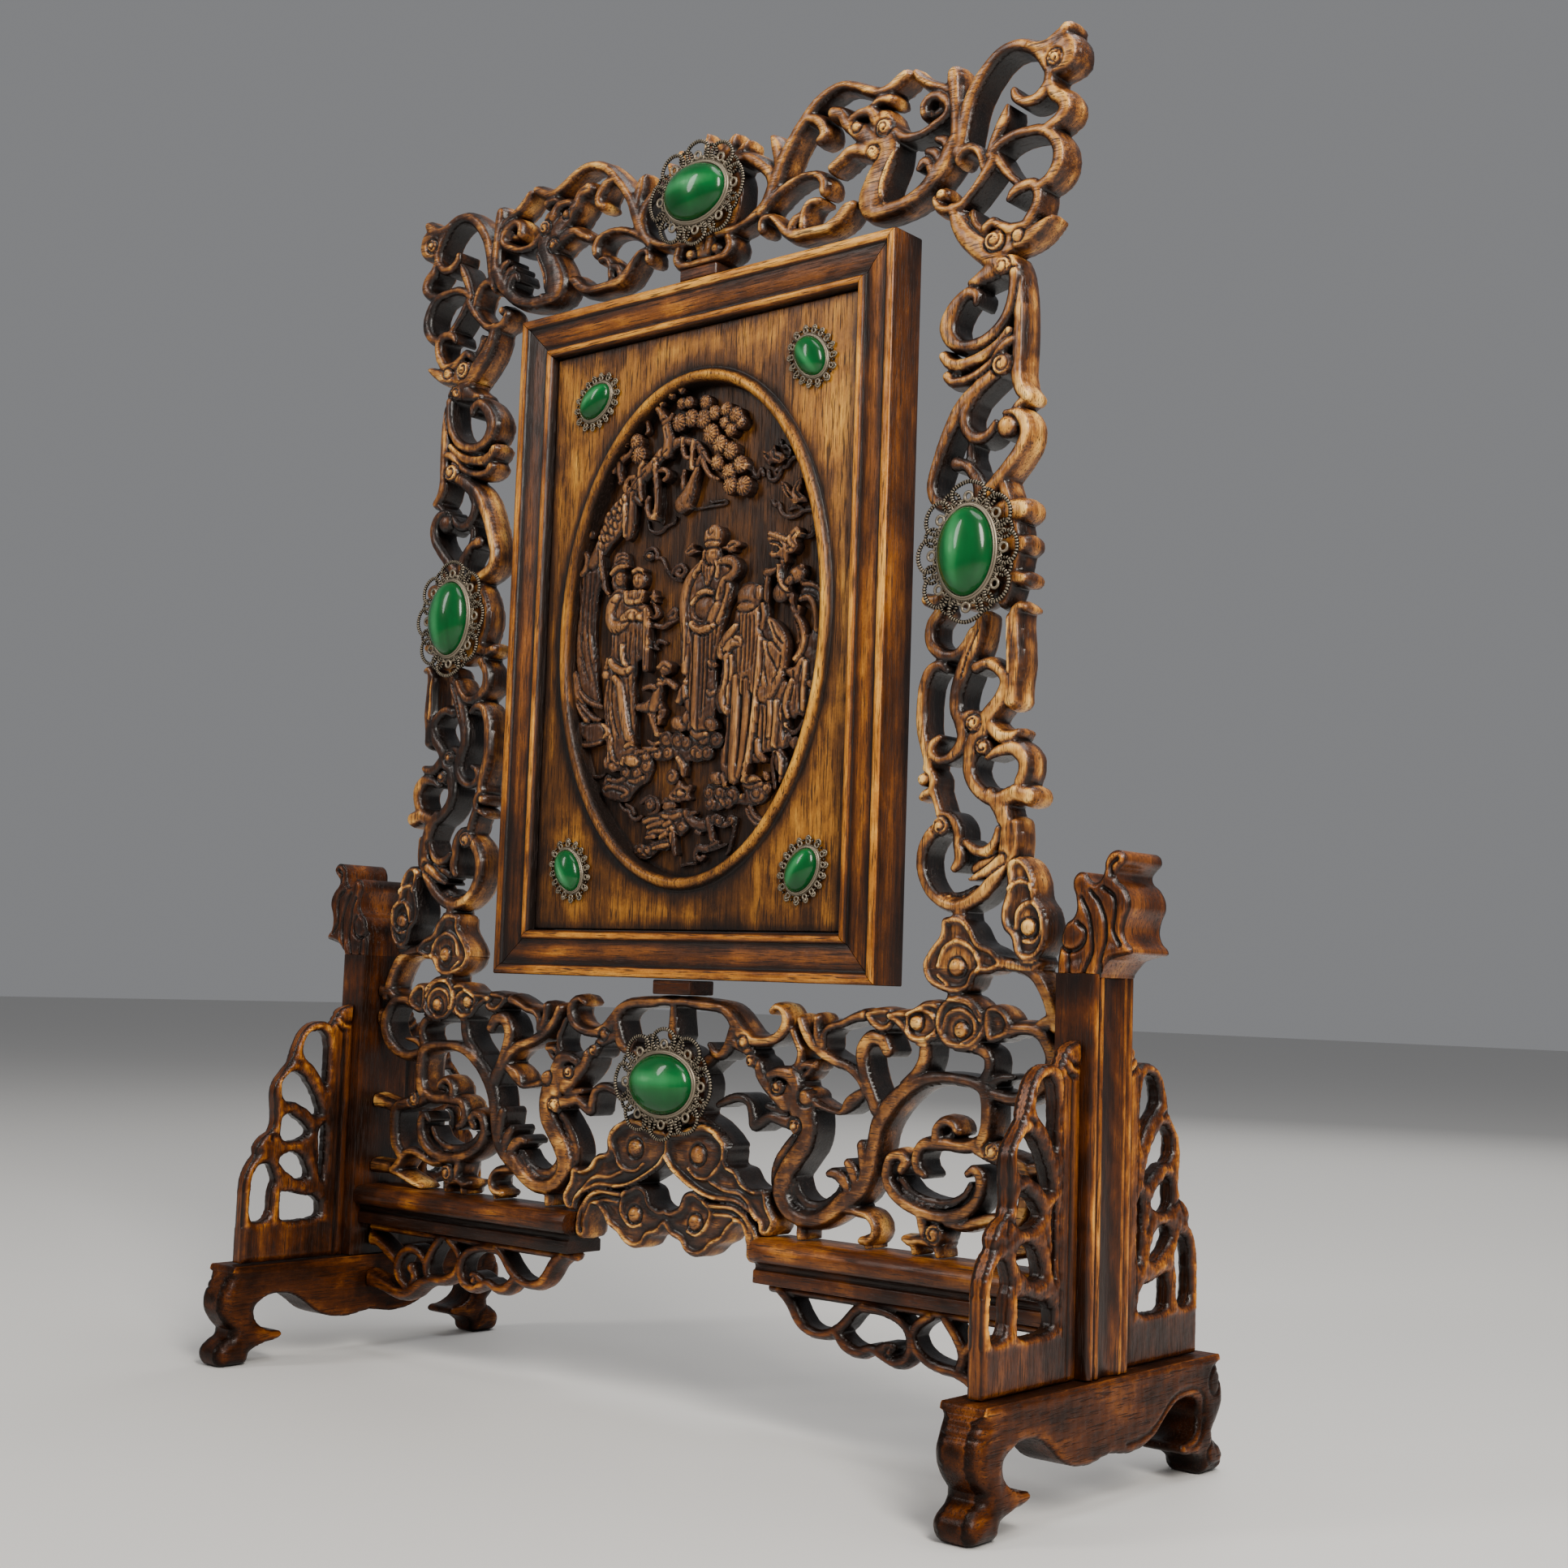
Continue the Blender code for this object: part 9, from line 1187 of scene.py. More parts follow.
def make_piece(name, verts, tris, tone, mat, nodes=(), slot_name=None, flat_angle=None, extra=None):
    """Blender object from vertices in mm, riding on the frame."""
    me = bpy.data.meshes.new(name)
    me.vertices.add(len(verts))
    me.vertices.foreach_set("co", (np.asarray(verts, float) * MM).astype(np.float32).ravel())
    tris = np.asarray(tris, np.int32)
    me.loops.add(tris.size)
    me.loops.foreach_set("vertex_index", tris.ravel())
    me.polygons.add(len(tris))
    me.polygons.foreach_set("loop_start", np.arange(0, tris.size, 3, dtype=np.int32))
    me.update(calc_edges=True)
    me.shade_smooth()
    if flat_angle:
        me.set_sharp_from_angle(angle=math.radians(flat_angle))
    at = me.attributes.new("tone", "FLOAT", "POINT")
    at.data.foreach_set("value", np.asarray(tone, np.float32))
    for key, val in (extra or {}).items():
        at = me.attributes.new(key, "FLOAT", "POINT")
        at.data.foreach_set("value", np.asarray(val, np.float32))
    me.materials.append(mat)
    ob = bpy.data.objects.new(name, me)
    bpy.context.scene.collection.objects.link(ob)
    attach(ob, "root")
    if nodes:
        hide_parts(*nodes)
    return ob


def join(parts):
    """Several (verts, tris, tone) as one."""
    V, T, N, off = [], [], [], 0
    for v, t, n in parts:
        V.append(np.asarray(v, float)); T.append(np.asarray(t, int) + off); N.append(np.asarray(n, float))
        off += len(v)
    return np.vstack(V), np.vstack(T), np.concatenate(N)


def thin_back(ob, share=0.80):
    """Merge most of the small triangles on the plain side that faces back; the rest stays as it is."""
    me = ob.data
    nrm = np.empty(len(me.vertices) * 3, np.float32)
    me.vertex_normals.foreach_get("vector", nrm)
    back = nrm.reshape(-1, 3)[:, 1] > 0.45
    tri = np.empty(len(me.polygons) * 3, np.int32)
    me.polygons.foreach_get("vertices", tri)
    part = np.count_nonzero(back[tri.reshape(-1, 3)].all(axis=1)) / len(me.polygons)
    group = ob.vertex_groups.new(name="back")
    group.add(np.nonzero(back)[0].tolist(), 1.0, "REPLACE")
    mod = ob.modifiers.new("Decimate", "DECIMATE")
    mod.vertex_group = "back"
    mod.ratio = 1.0 - share * part
    deps = bpy.context.evaluated_depsgraph_get()
    new = bpy.data.meshes.new_from_object(ob.evaluated_get(deps), depsgraph=deps)
    ob.modifiers.remove(mod)
    ob.vertex_groups.remove(group)
    ob.data = new
    new.name = me.name
    bpy.data.meshes.remove(me)
    print("piece thinned", ob.name, len(new.polygons))
    return ob

# ------------------------------------------------------------------ materials
def nodes_of(mat):
    mat.use_nodes = True
    nt = mat.node_tree
    nt.nodes.clear()
    return nt, nt.nodes, nt.links


def wood(name, grain, ramp, rough=0.42, figure=0.5, pore=1.0, coat=0.12, patch=0.6, bump=0.6, lift=0.0,
         spec=0.30):
    """Antiqued hardwood. grain is the axis the fibres run along. The vertex value
    'tone' says how far the dark stain has been rubbed off, and it carries painted shade and light as well: darker in
    hollows and holes, lighter where the light falls across the screen."""
    mat = bpy.data.materials.new(name)
    nt, N, L = nodes_of(mat)
    out = N.new("ShaderNodeOutputMaterial")
    bsdf = N.new("ShaderNodeBsdfPrincipled")
    L.new(bsdf.outputs[0], out.inputs[0])
    co = N.new("ShaderNodeTexCoord")

    def mapped(across, along):
        m = N.new("ShaderNodeMapping")
        m.inputs["Scale"].default_value = [along if c == grain else across for c in "xyz"]
        L.new(co.outputs["Object"], m.inputs["Vector"])
        return m.outputs["Vector"]

    def noise(vec, detail=4.0, rough_=0.55, dist=0.0):
        t = N.new("ShaderNodeTexNoise")
        t.inputs["Scale"].default_value = 1.0
        t.inputs["Detail"].default_value = detail
        t.inputs["Roughness"].default_value = rough_
        t.inputs["Distortion"].default_value = dist
        L.new(vec, t.inputs["Vector"])
        return t.outputs["Fac"]

    def math_(op, a, b=None, c=None, clamp=False):
        m = N.new("ShaderNodeMath")
        m.operation = op
        m.use_clamp = clamp
        for i, v in enumerate((a, b, c)):
            if v is None:
                continue
            if isinstance(v, (int, float)):
                m.inputs[i].default_value = v
            else:
                L.new(v, m.inputs[i])
        return m.outputs[0]

    # the vertex value 'tone': rubbed wear mixed with painted shade and painted light
    tone = N.new("ShaderNodeAttribute")
    tone.attribute_name = "tone"
    streak = noise(mapped(900.0, 40.0), 5.0, 0.62, 0.35)          # fibre streaks
    band = noise(mapped(110.0, 9.0), 3.0, 0.5, 0.7)               # broad figure
    blotch = noise(mapped(46.0, 30.0), 5.0, 0.62, 0.4)            # rubbed and unrubbed patches
    fine = noise(mapped(1900.0, 1300.0), 2.0, 0.5)
    # noise lies near a half; each term is centred and scaled
    v = math_("ADD", tone.outputs["Fac"], lift)
    v = math_("ADD", v, math_("MULTIPLY_ADD", streak, 0.75 * figure, -0.375 * figure))
    v = math_("ADD", v, math_("MULTIPLY_ADD", band, 0.80 * figure, -0.40 * figure))
    v = math_("ADD", v, math_("MULTIPLY_ADD", blotch, 1.6 * patch, -0.80 * patch))
    v = math_("ADD", v, math_("MULTIPLY_ADD", fine, 0.16, -0.08))
    cr = N.new("ShaderNodeValToRGB")
    e = cr.color_ramp.elements
    e[0].position, e[0].color = ramp[0][0], (*ramp[0][1], 1)
    e[1].position, e[1].color = ramp[-1][0], (*ramp[-1][1], 1)
    for p, c in ramp[1:-1]:
        x = e.new(p)
        x.color = (*c, 1)
    L.new(v, cr.inputs["Fac"])
    # open pores: short dark dashes along the grain
    pv = noise(mapped(2600.0, 150.0), 1.0, 0.4)
    pores = math_("MULTIPLY", math_("SUBTRACT", pv, 0.57, clamp=True), 9.0 * pore, clamp=True)
    pores = math_("MULTIPLY", pores, math_("SUBTRACT", math_("MULTIPLY", band, 2.4, clamp=True), 0.45, clamp=True))
    pores = math_("MULTIPLY", pores, 1.5, clamp=True)
    mix = N.new("ShaderNodeMix")
    mix.data_type = "RGBA"
    mix.blend_type = "MIX"
    L.new(pores, mix.inputs["Factor"])
    L.new(cr.outputs["Color"], mix.inputs[6])
    mix.inputs[7].default_value = (0.016, 0.006, 0.003, 1)
    L.new(mix.outputs[2], bsdf.inputs["Base Color"])
    r = math_("MULTIPLY_ADD", streak, 0.20, rough - 0.10)
    r = math_("ADD", r, math_("MULTIPLY", pores, 0.2))
    r = math_("ADD", r, math_("MULTIPLY_ADD", v, -0.10, 0.05), clamp=True)
    L.new(r, bsdf.inputs["Roughness"])
    bsdf.inputs["Coat Weight"].default_value = coat
    bsdf.inputs["Coat Roughness"].default_value = 0.30
    bsdf.inputs["Specular IOR Level"].default_value = spec
    h = math_("MULTIPLY_ADD", streak, 0.6, math_("MULTIPLY", pores, -0.9))
    h = math_("ADD", h, math_("MULTIPLY", noise(mapped(330.0, 160.0), 3.0), 0.9))
    b = N.new("ShaderNodeBump")
    b.inputs["Strength"].default_value = bump
    b.inputs["Distance"].default_value = 0.00025
    L.new(h, b.inputs["Height"])
    L.new(b.outputs["Normal"], bsdf.inputs["Normal"])
    bsdf.inputs["Base Color"].default_value = (*ramp[len(ramp) // 2][1], 1)
    return mat


CARVED = [(0.05, (0.0045, 0.0024, 0.0018)), (0.28, (0.015, 0.0062, 0.0032)), (0.48, (0.066, 0.0215, 0.0062)),
          (0.66, (0.262, 0.098, 0.0190)), (0.84, (0.620, 0.300, 0.062)), (1.06, (0.900, 0.540, 0.150))]
STAND = [(0.05, (0.0056, 0.0021, 0.0010)), (0.28, (0.019, 0.0056, 0.0017)), (0.48, (0.066, 0.0165, 0.0027)),
         (0.66, (0.185, 0.054, 0.0070)), (0.85, (0.450, 0.165, 0.018)), (1.08, (0.740, 0.340, 0.046))]
FRAME = [(0.05, (0.0060, 0.0028, 0.0018)), (0.28, (0.020, 0.0068, 0.0024)), (0.48, (0.076, 0.0215, 0.0034)),
         (0.66, (0.220, 0.067, 0.0075)), (0.85, (0.500, 0.190, 0.020)), (1.08, (0.780, 0.370, 0.052))]
GROUND = [(0.05, (0.0070, 0.0038, 0.0026)), (0.28, (0.028, 0.0110, 0.0040)), (0.50, (0.115, 0.040, 0.0070)),
          (0.70, (0.340, 0.135, 0.0170)), (0.90, (0.620, 0.290, 0.036)), (1.10, (0.800, 0.430, 0.070))]
SCENE_ = [(0.05, (0.0060, 0.0032, 0.0024)), (0.28, (0.021, 0.0090, 0.0054)), (0.50, (0.071, 0.0280, 0.0120)),
          (0.70, (0.205, 0.084, 0.0250)), (0.90, (0.380, 0.178, 0.053)), (1.10, (0.600, 0.325, 0.105))]
WOOD_BX = wood("board_wood_level", "x", CARVED, patch=0.85, rough=0.32, coat=0.28, spec=0.26)
WOOD_BZ = wood("board_wood_upright", "z", CARVED, patch=0.85, rough=0.32, coat=0.28, spec=0.26)
WOOD_X = wood("stand_wood_level", "x", STAND, patch=0.8, rough=0.30, coat=0.18, spec=0.20, lift=-0.02)
WOOD_Y = wood("stand_wood_deep", "y", STAND, patch=0.8, rough=0.28, coat=0.04, spec=0.09, lift=-0.03)
WOOD_Z = wood("stand_wood_upright", "z", STAND, patch=0.8, rough=0.30, coat=0.18, spec=0.20, lift=-0.035)
WOOD_FX = wood("frame_wood_level", "x", FRAME, figure=0.70, rough=0.36, coat=0.12, patch=0.7, spec=0.24, lift=-0.05)
WOOD_FZ = wood("frame_wood_upright", "z", FRAME, figure=0.70, rough=0.36, coat=0.12, patch=0.7, spec=0.24, lift=-0.03)
WOOD_G = wood("ground_wood", "z", GROUND, figure=0.70, rough=0.40, coat=0.08, patch=0.80, pore=1.3, spec=0.20, lift=-0.04)
WOOD_R = wood("relief_wood_carved", "z", SCENE_, figure=0.30, rough=0.34, coat=0.22, patch=0.45, bump=0.9, lift=-0.02, spec=0.24)


def stone(name):
    mat = bpy.data.materials.new(name)
    nt, N, L = nodes_of(mat)
    out = N.new("ShaderNodeOutputMaterial")
    bsdf = N.new("ShaderNodeBsdfPrincipled")
    L.new(bsdf.outputs[0], out.inputs[0])
    co = N.new("ShaderNodeTexCoord")
    m = N.new("ShaderNodeMapping")
    m.inputs["Scale"].default_value = (130, 130, 60)
    L.new(co.outputs["Object"], m.inputs["Vector"])
    nz = N.new("ShaderNodeTexNoise")
    nz.inputs["Scale"].default_value = 1.0
    nz.inputs["Detail"].default_value = 3.0
    nz.inputs["Distortion"].default_value = 0.8
    L.new(m.outputs[0], nz.inputs["Vector"])
    # the vertex value brings in the stone's painted highlight band and its painted shade towards the girdle
    band = N.new("ShaderNodeAttribute")
    band.attribute_name = "tone"
    ad = N.new("ShaderNodeMath"); ad.operation = "MULTIPLY_ADD"
    L.new(nz.outputs["Fac"], ad.inputs[0]); ad.inputs[1].default_value = 0.34
    L.new(band.outputs["Fac"], ad.inputs[2])
    cr = N.new("ShaderNodeValToRGB")
    e = cr.color_ramp.elements
    e[0].position, e[0].color = 0.10, (0.0008, 0.015, 0.004, 1)
    e[1].position, e[1].color = 1.10, (0.130, 0.420, 0.180, 1)
    for p, c in ((0.40, (0.0008, 0.046, 0.009)), (0.66, (0.003, 0.112, 0.023)), (0.90, (0.034, 0.245, 0.080))):
        x = e.new(p); x.color = (*c, 1)
    L.new(ad.outputs[0], cr.inputs["Fac"])
    L.new(cr.outputs["Color"], bsdf.inputs["Base Color"])
    bsdf.inputs["Roughness"].default_value = 0.26
    bsdf.inputs["Specular IOR Level"].default_value = 0.14
    bsdf.inputs["Coat Weight"].default_value = 0.45
    bsdf.inputs["Coat Roughness"].default_value = 0.06
    bsdf.inputs["Subsurface Weight"].default_value = 0.12
    bsdf.inputs["Subsurface Radius"].default_value = (0.0006, 0.002, 0.0010)
    return mat


def wire(name):
    mat = bpy.data.materials.new(name)
    nt, N, L = nodes_of(mat)
    out = N.new("ShaderNodeOutputMaterial")
    bsdf = N.new("ShaderNodeBsdfPrincipled")
    L.new(bsdf.outputs[0], out.inputs[0])
    co = N.new("ShaderNodeTexCoord")
    nz = N.new("ShaderNodeTexNoise")
    nz.inputs["Scale"].default_value = 420.0
    nz.inputs["Detail"].default_value = 4.0
    L.new(co.outputs["Object"], nz.inputs["Vector"])
    tone = N.new("ShaderNodeAttribute"); tone.attribute_name = "tone"
    ad = N.new("ShaderNodeMath"); ad.operation = "MULTIPLY_ADD"
    L.new(nz.outputs["Fac"], ad.inputs[0]); ad.inputs[1].default_value = 0.6
    L.new(tone.outputs["Fac"], ad.inputs[2])
    cr = N.new("ShaderNodeValToRGB")
    e = cr.color_ramp.elements
    e[0].position, e[0].color = 0.30, (0.0045, 0.0036, 0.0026, 1)
    e[1].position, e[1].color = 1.30, (0.240, 0.200, 0.145, 1)
    x = e.new(0.88); x.color = (0.0100, 0.0076, 0.0052, 1)
    L.new(ad.outputs[0], cr.inputs["Fac"])
    L.new(cr.outputs["Color"], bsdf.inputs["Base Color"])
    rr = N.new("ShaderNodeMath"); rr.operation = "MULTIPLY_ADD"
    L.new(nz.outputs["Fac"], rr.inputs[0]); rr.inputs[1].default_value = 0.25; rr.inputs[2].default_value = 0.30
    L.new(rr.outputs[0], bsdf.inputs["Roughness"])
    bsdf.inputs["Metallic"].default_value = 0.85
    return mat


STONE = stone("green_stone")
WIRE = wire("antique_wire")

# ------------------------------------------------------------------ openwork boards
def board_piece(name, strokes, xr, zr, side, mat, nodes, slot_name, half=BOARD_HALF, step=0.52, keep=None,
                seed=0.0, y0=0.0, painted_light=(0.0, 0.0, 0.0)):
    zs = np.arange(zr[0] - 2 * step, zr[1] + 3 * step, step)
    if side == 0:
        xs = np.arange(0, xr[1] + 3 * step, step)
    else:
        xs = np.arange(xr[0] - 2 * step, xr[1] + 3 * step, step)
    X, Z = np.meshgrid(xs, zs, indexing="ij")
    F, H = carve(strokes, X, Z, step)
    F = np.minimum(F, xr[1] - X)
    if side != 0:
        F = np.minimum(F, X - xr[0])
    seam = np.minimum(Z - zr[0], zr[1] - Z)
    if keep:
        seam = np.minimum(seam, keep(X, Z))
    shape = F
    F = np.minimum(F, seam)
    if side == 0:
        xs = np.concatenate([-xs[:0:-1], xs])
        F, H, shape, seam = [np.vstack([A[:0:-1], A]) for A in (F, H, shape, seam)]
        X, Z = np.meshgrid(xs, zs, indexing="ij")
    H = H + 0.10 * ripple(X, Z, seed)
    open_air = outer_air(np.where(seam_air(F, shape), -1.0, F)).astype(float)
    air = np.clip(blur(open_air, max(1, int(1.0 / step))) * 3.0, 0, 1)
    # the outer edges are rolled over, and made lighter where they stand out: partly rubbed wear, partly painted
    # highlight
    wear_and_light = air * smooth((blur(open_air, int(round(1.6 / step))) - 0.20) / 0.42)
    deep = H < 8.9
    H = np.where(deep, H + 0.75 * air * (1 - smooth(shape / 1.7)), H)
    front = -half + H
    back = half - (0.3 + (1.25 + 0.8 * air) * (1 - smooth(np.maximum(shape, 0) / 1.5)) + 0.12 * ripple(X, Z, seed + 2))
    tf = wear_and_shade_of(np.maximum(shape, 0.0), H, step, base=0.49, gain=0.42, rim=0.22 + 0.50 * wear_and_light)
    # painted light: the first value shifts the whole board, the second makes it lighter towards one side as the light
    # falls across the screen, the third darkens the lower middle
    tf = tf + painted_light[0] + painted_light[1] * X / 140.0 * (-1 if side < 0 else 1)
    tf = tf - painted_light[2] * np.exp(-(X / 40.0) ** 2) * smooth((104 - Z) / 24)
    tf = np.clip(tf + 0.16 * ripple(X * 0.55, Z * 0.55, seed + 4), 0, 1)
    tb = np.clip(0.36 + 0.3 * np.exp(-((shape - 0.4) / 0.8) ** 2) - 0.12 * smooth(shape / 4), 0, 1)
    blot = 0.24 * ripple(X * 0.42, Z * 0.42, seed + 6) * air
    # painted shade: the walls inside the holes are dark, darkest in their middle row; the outer walls are lighter where
    # they stand out
    walls = [0.20 + 0.36 * wear_and_light + 0.5 * blot, 0.05 + 0.70 * wear_and_light + blot, 0.16 + 0.36 * wear_and_light]
    level = np.where((seam < 1.2) | (Z > CAD_BOX[1][2] / MM - 2.5), 0.0, air)
    v, t, n = slab(xs, zs, F, front, back, tf, tb, walls, tuck=-0.42 * level)
    v[:, 2] = np.minimum(v[:, 2], CAD_BOX[1][2] / MM - 0.09)
    made = []
    for s in ((1,) if side >= 0 else (-1,)):
        vv, tt = v.copy(), t
        vv[:, 1] += y0
        if s < 0:
            vv[:, 0] *= -1
            tt = t[:, ::-1]
        made.append(thin_back(make_piece(name, vv, tt, n, mat, nodes, slot_name)))
    print("piece", name, len(t), "triangles")
    return made[0]


def seam_air(F, shape):
    """Cells cut away only by a seam count as wood when looking for outside air."""
    return (F <= 0) & (shape <= 0)

# ------------------------------------------------------------------ mouldings and blocks
def rounded(points, steps=3):
    """Polygon corners (x, y, radius) turned into short arcs."""
    out = []
    n = len(points)
    for i in range(n):
        p = np.array(points[i][:2], float)
        r = points[i][2] if len(points[i]) > 2 else 0.0
        if r <= 0:
            out.append(tuple(p))
            continue
        a, b = np.array(points[i - 1][:2], float), np.array(points[(i + 1) % n][:2], float)
        u, v = a - p, b - p
        lu, lv = np.linalg.norm(u), np.linalg.norm(v)
        r = min(r, 0.45 * lu, 0.45 * lv)
        p0, p1 = p + u / lu * r, p + v / lv * r
        for k in range(steps + 1):
            t = k / steps
            out.append(tuple((1 - t) ** 2 * p0 + 2 * t * (1 - t) * p + t * t * p1))
    return out


def loft(rings, tones):
    """Closed body through equal rings of 3-D points; the ends are filled."""
    from mathutils.geometry import tessellate_polygon
    n, m = len(rings[0]), len(rings)
    verts = np.vstack([np.asarray(r, float) for r in rings])
    tris = []
    for k in range(m - 1):
        for i in range(n):
            a, b = k * n + i, k * n + (i + 1) % n
            tris += [(a, b, b + n), (a, b + n, a + n)]
    for k in (0, m - 1):
        cap = tessellate_polygon([[Vector(p) for p in rings[k]]])
        tris += [tuple(k * n + i for i in c) for c in cap]
    tris = np.array(tris)
    # make the ends agree with the sides, and everything face outwards
    v = verts
    ref = {}
    for a, b, c in tris[:2 * n * (m - 1)]:
        for e in ((a, b), (b, c), (c, a)):
            ref[e] = True
    for i in range(2 * n * (m - 1), len(tris)):
        a, b, c = tris[i]
        hit = [(p, q) for p, q in ((a, b), (b, c), (c, a)) if (p, q) in ref or (q, p) in ref]
        if hit and hit[0] in ref:
            tris[i] = (a, c, b)
        elif not hit:
            tris[i] = (a, b, c)
    # if the body comes out inside out, every triangle is turned
    done = set(map(tuple, tris[:2 * n * (m - 1)]))
    vol = np.einsum("ij,ij->", v[tris[:, 0]], np.cross(v[tris[:, 1]], v[tris[:, 2]]))
    if vol < 0:
        tris = tris[:, ::-1]
    t = np.concatenate([np.asarray(x, float) for x in tones]) if len(tones) == m else np.tile(tones[0], m)
    return verts, tris, t


def fix_out(ob):
    """Normals of a small closed body turned outwards."""
    import bmesh
    bm = bmesh.new()
    bm.from_mesh(ob.data)
    bmesh.ops.recalc_face_normals(bm, faces=bm.faces[:])
    bm.to_mesh(ob.data)
    bm.free()


def make_loft(name, rings, tones, mat, nodes, slot_name, angle=35):
    v, t, n = loft(rings, tones)
    ob = make_piece(name, v, t, n, mat, nodes, slot_name)
    fix_out(ob)
    ob.data.set_sharp_from_angle(angle=math.radians(angle))
    return ob


def rails():
    half = [(-5.4, 56.0, 0.0), (-7.4, 55.7, 0.0), (-9.0, 54.9, 0), (-9.9, 53.5, 0), (-10.2, 51.9, 0),
            (-9.9, 50.4, 0), (-9.1, 49.4, 0.25), (-8.1, 49.1, 0.3), (-7.2, 48.8, 0), (-6.7, 48.2, 0),
            (-6.55, 47.5, 0), (-6.9, 46.9, 0.2), (-7.6, 46.7, 0.35), (-7.7, 43.0, 0.5)]
    sec = rounded(half + [(-y, z, r) for y, z, r in reversed(half)], 2)
    # painted shade: the cove under the top roll is given the darkest tone (0.14)
    tone = [0.56 if z > 50 else (0.14 if 46.9 < z < 49.2 else 0.34) for y, z in sec]
    for side, tag in ((1, "right"), (-1, "left")):
        xs = np.linspace(RAIL_X0, POST_X0 - GAP, 36)
        rings, tn = [], []
        for k, x in enumerate(xs):
            wob = 0.06 * math.sin(x * 0.21) + 0.04 * math.sin(x * 0.53 + 1)
            end = 0.35 if k in (0, len(xs) - 1) else 0.0
            rings.append([(side * x, y * (1 - end / 12) + (wob if y < 0 else -wob), z - (end if z > 55 else 0))
                          for y, z in sec])
            # painted light: the right rail is made lighter and the left one darker, as the light falls across the stand
            tn.append([t + (0.09 if side > 0 else -0.16) + 0.06 * math.sin(x * 0.31 + 2 * y) for t, (y, z) in zip(tone, sec)])
        make_loft("rail_moulding_" + tag, rings, tn, WOOD_X, ["rail_" + tag], "stand_wood")


def blocks():
    for name, z0, z1, node in (("support_lower", 124.0, PANEL_Z0 - GAP, "block_bottom"),
                               ("support_upper", PANEL_Z1 + GAP, 350.4, "block_top")):
        sec = rounded([(-5.6, z0, 0.6), (-5.6, z1, 0.6), (5.6, z1, 0.6), (5.6, z0, 0.6)], 3)
        rings = []
        for x, s in ((-7.6, 0.93), (-7.3, 1.0), (-2.5, 1.0), (2.5, 1.0), (7.3, 1.0), (7.6, 0.93)):
            zc = (z0 + z1) / 2
            rings.append([(x, y * s, zc + (z - zc) * s) for y, z in sec])
        make_loft(name, rings, [[0.4] * len(sec)] * 6, WOOD_X, [node], "stand_wood")


# ------------------------------------------------------------------ bodies drawn in side view
def side_slab(F, H, us, zs, half, x_mid, side, tones, hb=None, tb=None, rows=(0.6,)):
    """Body drawn in Y and Z with its thickness along X; the drawn face is the outer one."""
    tf, walls = tones
    v, t, n = slab(us, zs, F, -half + H, half - (H if hb is None else hb), tf, tf if tb is None else tb,
                   walls, rows)
    out = np.empty_like(v)
    out[:, 0] = side * (x_mid - v[:, 1])
    out[:, 1] = v[:, 0]
    out[:, 2] = v[:, 2]
    if side < 0:
        t = t[:, ::-1]
    return out, t, n


FOOT_SIDE = [(56.2, 31.7), (56.9, 29.6), (58.6, 26.2), (60.2, 21.8), (59.9, 17.6), (57.5, 13.9),
             (55.3, 11.4), (55.5, 9.4), (58.4, 7.9), (60.5, 5.4), (60.6, 2.8), (59.3, 0.7), (57.6, 0.0)]
FOOT_ARCH = [(49.6, 0.0), (48.2, 1.4), (47.4, 4.0), (43.6, 6.4), (38.6, 7.2), (36.3, 8.3), (37.0, 9.8),
             (41.2, 10.4), (44.8, 12.2), (46.6, 15.2), (46.2, 18.8), (43.0, 21.4), (38.2, 22.1),
             (32.4, 21.0), (27.2, 18.0), (22.4, 14.6), (16.4, 12.5), (9.4, 11.9), (4.2, 12.6), (0.0, 13.2)]


